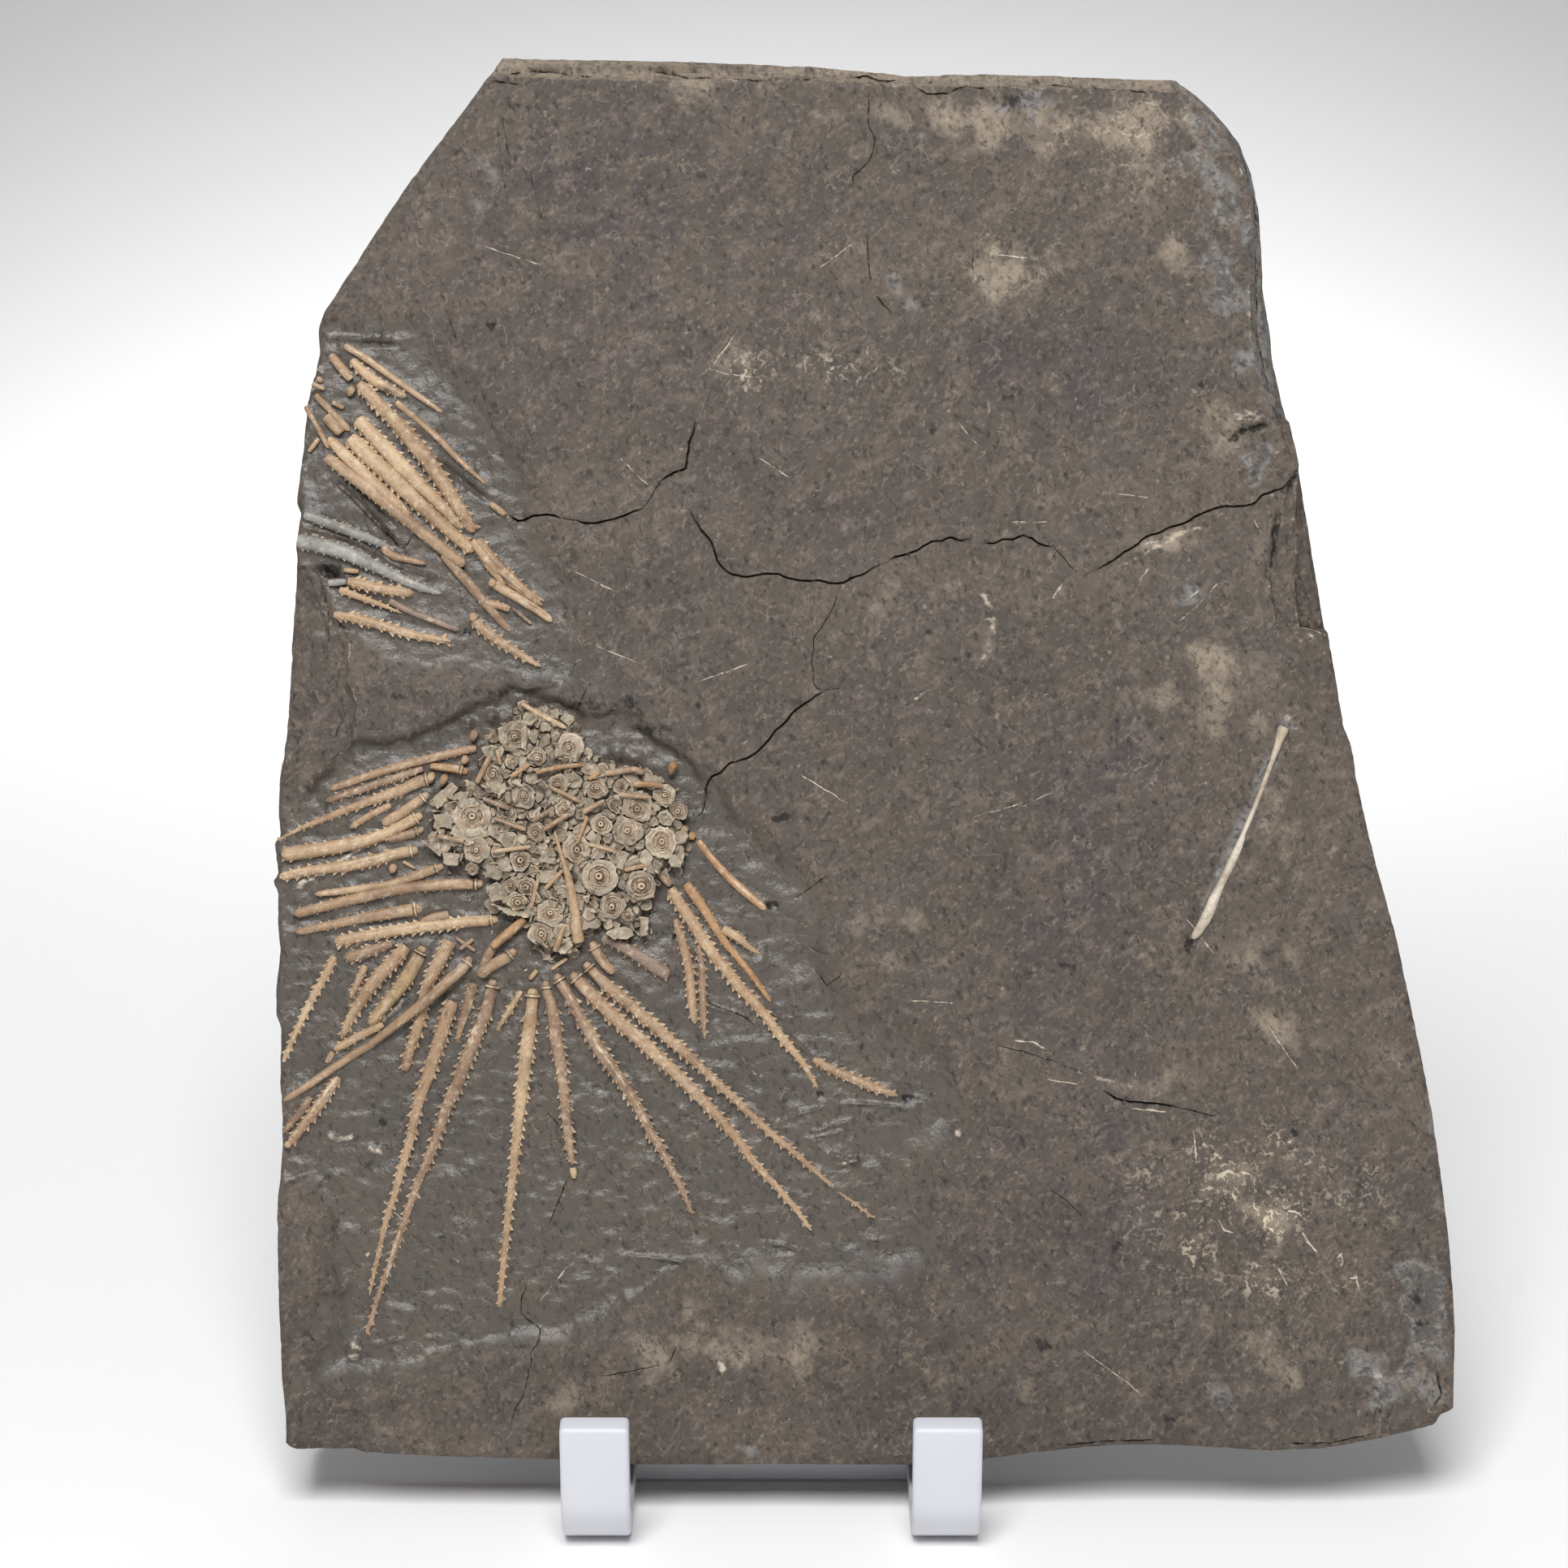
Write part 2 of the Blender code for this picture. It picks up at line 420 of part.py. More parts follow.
# ---------------------------------------------------------------- spines
def smooth_path(path, floor):
    """A function from the distance along a spine to (point, direction, width), through its layout points."""
    points = [on_face(p[0], p[1], floor + CLEARANCE + (p[3] * MM if len(p) > 3 else 0)) for p in path]
    widths = [p[2] * GRID for p in path]
    lengths = [0.0]
    for before, after in zip(points, points[1:]):
        lengths.append(lengths[-1] + (after - before).length)

    def tangent(i):
        return (points[min(i + 1, len(points) - 1)] - points[max(i - 1, 0)]) / (
            lengths[min(i + 1, len(points) - 1)] - lengths[max(i - 1, 0)]
        )

    def at(distance):
        i = max(j for j in range(len(points) - 1) if lengths[j] <= distance or j == 0)
        span = lengths[i + 1] - lengths[i]
        t = (distance - lengths[i]) / span
        hermite = (2 * t**3 - 3 * t**2 + 1, t**3 - 2 * t**2 + t, 3 * t**2 - 2 * t**3, t**3 - t**2)
        point = (
            points[i] * hermite[0] + tangent(i) * span * hermite[1]
            + points[i + 1] * hermite[2] + tangent(i + 1) * span * hermite[3]
        )  # fmt: skip
        along = tangent(i).lerp(tangent(i + 1), t)
        return point, Vector((along.x, along.y, 0)).normalized(), widths[i] + (widths[i + 1] - widths[i]) * t

    return at, lengths[-1]


def half_round(point, along, width, height):
    """A spine's section: flat below, two faces and a crest above."""
    side = Vector((-along.y, along.x, 0)) * width * 0.5
    up = Vector((0, 0, height))
    return (point + side, point + side * 0.55 + up, point - side * 0.55 + up, point - side)


def spine_stations(length, collar, thorn_share):
    """Distances along a spine with what each adds to its width: collar, smooth neck, then saw-tooth thorns."""
    stations = []
    start = 0.0
    if collar:
        stations += [(0.0, "ball"), (COLLAR_LENGTH, "collar"), (2 * COLLAR_LENGTH, "collar"), (2.6 * COLLAR_LENGTH, "neck")]
        start = min(NECK_LENGTH, 0.5 * length)
        stations.append((start, "neck"))
    else:
        stations.append((0.0, "shaft"))
    teeth = max(1, round((length - start) / THORN_PITCH))
    pitch = (length - start) / teeth
    for tooth in range(teeth):
        point = start + (tooth + 1) * pitch
        if thorn_share and tooth < teeth - 1:
            stations += [(point - THORN_LIP, "thorn"), (point, "shaft")]
        else:
            stations.append((point, "shaft"))
    return stations


def make_spine(name, collar, thorn_share, path, floor, collection, parent):
    """One spine lying in its hollow, thorns pointing to its tip."""
    at, length = smooth_path(path, floor)
    rings = []
    for distance, kind in spine_stations(length, collar, thorn_share):
        point, along, width = at(distance)
        height = width * SPINE_FLATNESS
        if kind == "collar":
            width = collar * GRID
            height = width * SPINE_FLATNESS
        elif kind == "ball":
            width = collar * GRID * 0.6
            height = width * SPINE_FLATNESS
        elif kind == "thorn":
            width += 2 * THORN_LENGTH * thorn_share
            height += 0.5 * THORN_LENGTH * thorn_share
        rings.append(half_round(point, along, width, height))
    return new_object(name, loft(rings), collection, parent, "fossil spine")


# ---------------------------------------------------------------- the crushed test
def make_plate(column, row, radius, corners, tilt_across, tilt_down, name, collection, parent):
    """A thin tilted plate with a raised rim, sunk in the test."""
    bm = bmesh.new()
    bmesh.ops.create_cone(
        bm, cap_ends=True, segments=corners, radius1=radius * GRID, radius2=radius * GRID * 0.86, depth=PLATE_THICKNESS
    )
    turn = Matrix.Rotation(math.radians(tilt_across), 4, "Y") @ Matrix.Rotation(math.radians(tilt_down), 4, "X")
    bmesh.ops.transform(bm, matrix=turn, verts=bm.verts)
    crest = TEST_RISE - MAIN_HOLLOW_DEPTH
    centre = on_face(column, row, crest + PLATE_RISE - PLATE_THICKNESS / 2)
    bmesh.ops.translate(bm, vec=centre, verts=bm.verts)
    return as_cutter(new_object(name, bm, collection, parent, "fossil test"))


def make_tubercle(column, row, radius, name, collection, parent):
    """A tubercle: a low cone with a smaller knob on it."""
    crest = TEST_RISE - MAIN_HOLLOW_DEPTH
    rings = []
    for height, share in ((-TUBERCLE_ROOT, 1.0), (PLATE_RISE + 0.15 * MM, 1.0), (PLATE_RISE + 0.35 * TUBERCLE_RISE, 0.72),
                          (PLATE_RISE + 0.55 * TUBERCLE_RISE, 0.44), (PLATE_RISE + TUBERCLE_RISE, 0.36)):  # fmt: skip
        centre = on_face(column, row, crest + height)
        ring = []
        for i in range(TUBERCLE_SIDES):
            angle = math.tau * i / TUBERCLE_SIDES
            ring.append(centre + Vector((math.cos(angle), math.sin(angle), 0)) * radius * GRID * share)
        rings.append(ring)
    return as_cutter(new_object(name, loft(rings), collection, parent, "fossil test"))


def make_rod(rod, name, collection, parent):
    """A loose rod on the test, or reaching down from it to the floor."""
    *path, lift = rod
    crest = TEST_RISE - MAIN_HOLLOW_DEPTH
    floor = crest + lift * MM - ROD_ROOT - CLEARANCE
    at, length = smooth_path(path, floor)
    rings = []
    count = 2 * len(path) - 1
    for i in range(count):
        point, along, width = at(length * i / (count - 1))
        rings.append(half_round(point, along, width, width * SPINE_FLATNESS + ROD_ROOT))
    return as_cutter(new_object(name, loft(rings), collection, parent, "fossil test"))


def make_test(collection, pieces, parent):
    """The crushed test: a low mound with plates, tubercles and loose rods grown into one crust."""
    foot = [on_face(column, row, CLEARANCE - MAIN_HOLLOW_DEPTH) for column, row in TEST_OUTLINE]
    crest = [point + Vector((0, 0, TEST_RISE - CLEARANCE)) for point in outset(foot, -TEST_SLOPE)]
    test = new_object("crushed_test", prism(foot, crest), collection, parent, "fossil test")
    for number, plate in enumerate(PLATES, 1):
        make_plate(*plate, f"plate_{number:02d}", pieces, parent)
    for number, tubercle in enumerate(TUBERCLES, 1):
        make_tubercle(*tubercle, f"tubercle_{number:02d}", pieces, parent)
    for number, rod in enumerate(TEST_RODS, 1):
        make_rod(rod, f"rod_{number:02d}", pieces, parent)
    boolean(test, "UNION", pieces)
    return test


# ---------------------------------------------------------------- the easel
def bend(centre, radius, start, end):
    """Points of an arc in the easel's side view, from one angle to another."""
    points = []
    for i in range(BEND_STEPS + 1):
        angle = start + (end - start) * i / BEND_STEPS
        points.append((centre[0] + radius * math.cos(angle), centre[1] + radius * math.sin(angle)))
    return points


def easel_profile():
    """The middle of the sheet in side view: lip, shelf, back rest, apex and rear leg, as (back, up) points."""
    half = SHEET / 2
    hook = (HOOK_CENTRE, HOOK_OUTER_RADIUS)
    radius = HOOK_OUTER_RADIUS - half
    lip_angle = math.pi + HOOK_LEAN
    lip = bend(hook, radius, lip_angle, 1.5 * math.pi)
    top = (lip[0][0] - HOOK_LENGTH * math.sin(HOOK_LEAN), lip[0][1] + HOOK_LENGTH * math.cos(HOOK_LEAN))

    # The slab's lower back edge, and the back rest's middle plane parallel to the slab's back.
    edge = (SLAB_THICKNESS * math.cos(LEAN), SHEET + CLEARANCE)
    away = (math.cos(LEAN), -math.sin(LEAN))
    on_rest = (edge[0] + away[0] * (CLEARANCE + half), edge[1] + away[1] * (CLEARANCE + half))
    up = (math.sin(LEAN), math.cos(LEAN))

    # Shelf to back rest: a bend that touches the shelf's middle line and the back rest's middle line.
    centre_height = half + CORNER_RADIUS
    along = (centre_height - on_rest[1] + away[1] * CORNER_RADIUS) / up[1]
    corner = (on_rest[0] + up[0] * along - away[0] * CORNER_RADIUS, centre_height)
    turn = bend(corner, CORNER_RADIUS, -0.5 * math.pi, -LEAN)
    rest_end = (turn[-1][0] + up[0] * REST_LENGTH, turn[-1][1] + up[1] * REST_LENGTH)

    apex = (rest_end[0] + away[0] * APEX_RADIUS, rest_end[1] + away[1] * APEX_RADIUS)
    over = bend(apex, APEX_RADIUS, math.pi - LEAN, LEG_ANGLE)
    drop = over[-1][1] - half * math.sin(LEG_ANGLE)
    foot = (over[-1][0] + drop * math.tan(LEG_ANGLE), over[-1][1] - drop)
    return [top, *lip, *turn, *over, foot]


def make_easel(collection, cutters, parent):
    """The easel: one bent sheet with the middle of its lip and shelf cut away to leave two hooks."""
    bm = bmesh.new()
    middle = (EASEL_COLUMN - GRID_MIDDLE) * GRID
    columns = []
    for side in (-0.5, 0.5):
        columns.append([bm.verts.new((middle + side * EASEL_WIDTH, back, up)) for back, up in easel_profile()])
    left, right = columns
    for i in range(len(left) - 1):
        bm.faces.new((left[i], left[i + 1], right[i + 1], right[i]))
    easel = new_object("display_stand", bm, collection, parent, "frosted acrylic")
    sheet = easel.modifiers.new("sheet", "SOLIDIFY")
    sheet.thickness = SHEET
    sheet.offset = 0
    sheet.use_even_offset = True

    bm = bmesh.new()
    bmesh.ops.create_cube(bm, size=1)
    front = -40 * MM
    size = Vector((EASEL_WIDTH - 2 * HOOK_WIDTH, SHELF_CUT - front, 80 * MM))
    bmesh.ops.scale(bm, vec=size, verts=bm.verts)
    bmesh.ops.translate(bm, vec=Vector((middle, (SHELF_CUT + front) / 2, 30 * MM)), verts=bm.verts)
    gap = as_cutter(new_object("hook_gap", bm, cutters, parent, "frosted acrylic"))
    boolean(easel, "DIFFERENCE", gap)
    edge = easel.modifiers.new("flame-polished edge", "BEVEL")
    edge.width = SHEET_EDGE
    edge.segments = 1
    edge.limit_method = "ANGLE"
    edge.angle_limit = math.radians(50)
    return easel


# ---------------------------------------------------------------- assembly
def clear_scene():
    for existing in list(bpy.data.objects):
        bpy.data.objects.remove(existing, do_unlink=True)


def new_collection(name):
    made = bpy.data.collections.new(name)
    bpy.context.scene.collection.children.link(made)
    return made


def new_empty(name, collection, parent=None):
    made = bpy.data.objects.new(name, None)
    made.parent = parent
    collection.objects.link(made)
    return made


def centre_on_base(base, nodes):
    """Moves the whole display so that the origin is at the bottom centre of its bounding box."""
    bpy.context.view_layer.update()
    graph = bpy.context.evaluated_depsgraph_get()
    corners = []
    for node in nodes:
        evaluated = node.evaluated_get(graph)
        corners += [evaluated.matrix_world @ vertex.co for vertex in evaluated.data.vertices]
    middle = [(max(c[i] for c in corners) + min(c[i] for c in corners)) / 2 for i in (0, 1)]
    base.location = (-middle[0], -middle[1], -min(c.z for c in corners))


def main():
    clear_scene()
    display = new_collection("fossil_sea_urchin")
    cutters = new_collection("cutters")
    test_pieces = new_collection("test_pieces")
    cutters.hide_render = True
    test_pieces.hide_render = True

    base = new_empty("base", display)
    face = new_empty("slab_face", display, base)
    face.location = (0, 0, SHEET + CLEARANCE + SLAB_THICKNESS * math.sin(LEAN))
    face.rotation_euler = (math.radians(90) - LEAN, 0, 0)

    nodes = [make_slab(display, cutters, face), make_test(display, test_pieces, face)]
    for group, (depth, rows) in SPINES.items():
        for number, (collar, thorn_share, path) in enumerate(rows, 1):
            name = f"{group}_{number:02d}" if len(rows) > 1 else group
            nodes.append(make_spine(name, collar, thorn_share, path, -depth, display, face))
    nodes.append(make_easel(display, cutters, base))
    centre_on_base(base, nodes)


main()
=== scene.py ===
"""Fossil sea urchin: the finished look of the slab, its fossils and its easel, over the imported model.

Run as a script it builds every piece in turn. Places in the tables are steps of the layout grid that lies on
the slab's face, columns to the right and rows downwards. Other lengths are in millimetres where a name or a
comment says so, and in metres elsewhere.
"""

import math

import bpy
import numpy as np
from bpy.props import FloatProperty, FloatVectorProperty, IntProperty, PointerProperty, StringProperty
from mathutils import Matrix, Vector, noise
from mathutils.geometry import delaunay_2d_cdt


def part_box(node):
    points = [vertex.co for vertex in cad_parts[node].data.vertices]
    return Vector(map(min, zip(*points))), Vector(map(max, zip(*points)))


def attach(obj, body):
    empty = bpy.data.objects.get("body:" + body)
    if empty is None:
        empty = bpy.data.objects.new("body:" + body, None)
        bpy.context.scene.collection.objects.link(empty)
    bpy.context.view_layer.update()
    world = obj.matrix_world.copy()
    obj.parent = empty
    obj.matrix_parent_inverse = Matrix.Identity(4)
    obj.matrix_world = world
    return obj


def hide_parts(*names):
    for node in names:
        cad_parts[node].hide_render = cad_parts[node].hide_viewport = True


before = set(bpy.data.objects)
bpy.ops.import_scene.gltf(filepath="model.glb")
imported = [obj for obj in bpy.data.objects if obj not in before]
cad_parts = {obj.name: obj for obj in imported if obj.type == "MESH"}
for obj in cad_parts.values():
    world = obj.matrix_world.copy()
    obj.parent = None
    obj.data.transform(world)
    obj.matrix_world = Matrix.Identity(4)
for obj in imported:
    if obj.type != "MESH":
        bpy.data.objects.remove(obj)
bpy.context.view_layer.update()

bl_info = {
    "name": "Fossil sea urchin",
    "version": (1, 0, 0),
    "blender": (4, 5, 0),
    "location": "View3D > Sidebar > Fossil",
    "description": "Builds a prepared fossil sea urchin on its shale slab and easel",
    "category": "Add Mesh",
}

BODY = "root"
MM = 0.001

# ---------------------------------------------------------------- the slab's face
GRID_MM = 0.15  # one grid step
GRID_MIDDLE = 1064.5
GRID_FOOT = 1805
LEAN = math.radians(15)
THICKNESS_MM = 22.0
SHEET_MM = 5.0
CLEARANCE_MM = 0.3
FRONT_EDGE_Y = -0.0350746  # the slab's lower front edge, in metres
SLAB_WIDTH_MM = 218.6
FACE_ORIGIN = Vector((0, FRONT_EDGE_Y, (SHEET_MM + CLEARANCE_MM + THICKNESS_MM * math.sin(LEAN)) * MM))
FACE = Matrix.Translation(FACE_ORIGIN) @ Matrix.Rotation(math.radians(90) - LEAN, 4, "X")

MAIN_DEPTH_MM = 2.4
CLUSTER_DEPTH_MM = 1.4
LONE_DEPTH_MM = 0.9
TEST_CREST_MM = 0.5

SLAB_OUTLINE = (
    (618, 69), (850, 73), (1000, 80), (1120, 91), (1220, 89), (1400, 95), (1451, 97), (1496, 133),
    (1528, 172), (1544, 213), (1552, 251), (1556, 302), (1559, 357), (1567, 395), (1574, 452), (1582, 490),
    (1598, 557), (1607, 602), (1620, 682), (1637, 781), (1657, 898), (1664, 912), (1668, 932), (1672, 960),
    (1685, 1020), (1700, 1080), (1720, 1150), (1735, 1220), (1750, 1290), (1765, 1370), (1775, 1440),
    (1785, 1520), (1790, 1580), (1793, 1640), (1791, 1737), (1774, 1744), (1769, 1756), (1701, 1773),
    (1633, 1785), (1565, 1788), (1512, 1785), (1439, 1781), (1371, 1781), (1294, 1788), (1209, 1799),
    (1204, 1805), (697, 1805), (692, 1799), (541, 1795), (448, 1790), (437, 1785), (362, 1786), (352, 1780),
    (352, 1749), (347, 1700), (343, 1600), (341, 1500), (344, 1438), (346, 1415), (345, 1358), (343, 1335),
    (344, 1266), (338, 1255), (338, 1220), (342, 1186), (343, 1168), (340, 1139), (340, 1101), (334, 1087),
    (341, 1078), (338, 1053), (336, 1038), (344, 1030), (341, 1005), (342, 976), (343, 954), (347, 929),
    (351, 900), (354, 847), (357, 789), (361, 743), (365, 686), (363, 674), (369, 632), (364, 618),
    (369, 577), (373, 551), (377, 499), (386, 462), (393, 434), (391, 410), (392, 400), (398, 386),
    (438, 324), (474, 268), (510, 216), (568, 140),
)  # fmt: skip

MAIN_HOLLOW = (
    (300, 1005), (372, 988), (395, 962), (440, 922), (500, 912), (560, 888), (600, 868), (640, 856),
    (690, 862), (730, 882), (785, 893), (815, 918), (845, 940), (870, 975), (884, 1010), (930, 1050),
    (972, 1105), (978, 1150), (990, 1225), (1040, 1285), (1125, 1328), (1142, 1368), (1106, 1402),
    (1108, 1515), (1010, 1545), (870, 1530), (700, 1630), (600, 1645), (470, 1672), (430, 1668), (434, 1590),
    (424, 1500), (395, 1445), (300, 1435),
)  # fmt: skip
CLUSTER_HOLLOW = (
    (320, 408), (500, 412), (562, 490), (630, 590), (648, 670), (692, 738), (700, 775), (688, 832),
    (640, 830), (570, 806), (500, 803), (425, 780), (404, 765), (392, 705), (320, 700),
)  # fmt: skip

LONE_GROOVE = (
    (1586, 892), (1567, 935), (1545, 985), (1520, 1040), (1500, 1090), (1486, 1125), (1470, 1168),
)  # fmt: skip

# Broken rims: the edge of the face, a line beyond the slab's outline, how far the stone drops at each in mm,
# then how pale and how blue-grey it is.
RIMS = (
    (((560, 118), (608, 92), (700, 97), (850, 98), (1000, 97), (1110, 104), (1200, 107), (1330, 109),
     (1462, 112)), ((540, 60), (600, 50), (700, 50), (850, 50), (1000, 55), (1110, 60), (1200, 65),
     (1330, 65), (1480, 70)), 1.5, 2.2, 1.0, 0.1),
    (((1440, 100), (1470, 122), (1505, 158), (1532, 215), (1543, 283), (1540, 347), (1540, 404), (1546, 443),
     (1568, 519)), ((1450, 60), (1530, 90), (1570, 150), (1590, 210), (1600, 283), (1602, 347), (1606, 404),
     (1614, 443), (1630, 519)), 0.3, 9.0, 0.3, 0.8),
    (((1600, 576), (1597, 620), (1598, 682), (1598, 747), (1601, 772)), ((1660, 560), (1660, 620),
     (1670, 682), (1690, 747), (1700, 786)), 2.4, 5.0, 0.35, 0.1),
    (((1592, 586), (1583, 610), (1576, 643), (1568, 675), (1563, 712), (1572, 766)), ((1616, 586),
     (1616, 610), (1616, 643), (1616, 675), (1616, 712), (1616, 766)), 0.8, 2.0, 0.5, 0.2),
    (((396, 702), (408, 730), (421, 770), (430, 800), (428, 840), (440, 868), (436, 912), (392, 952),
     (366, 982), (352, 1012)), ((300, 690), (300, 730), (300, 770), (300, 800), (300, 840), (300, 868),
     (300, 912), (300, 952), (300, 982), (300, 1012)), 1.2, 4.6, 0.15, 0.15),
)  # fmt: skip

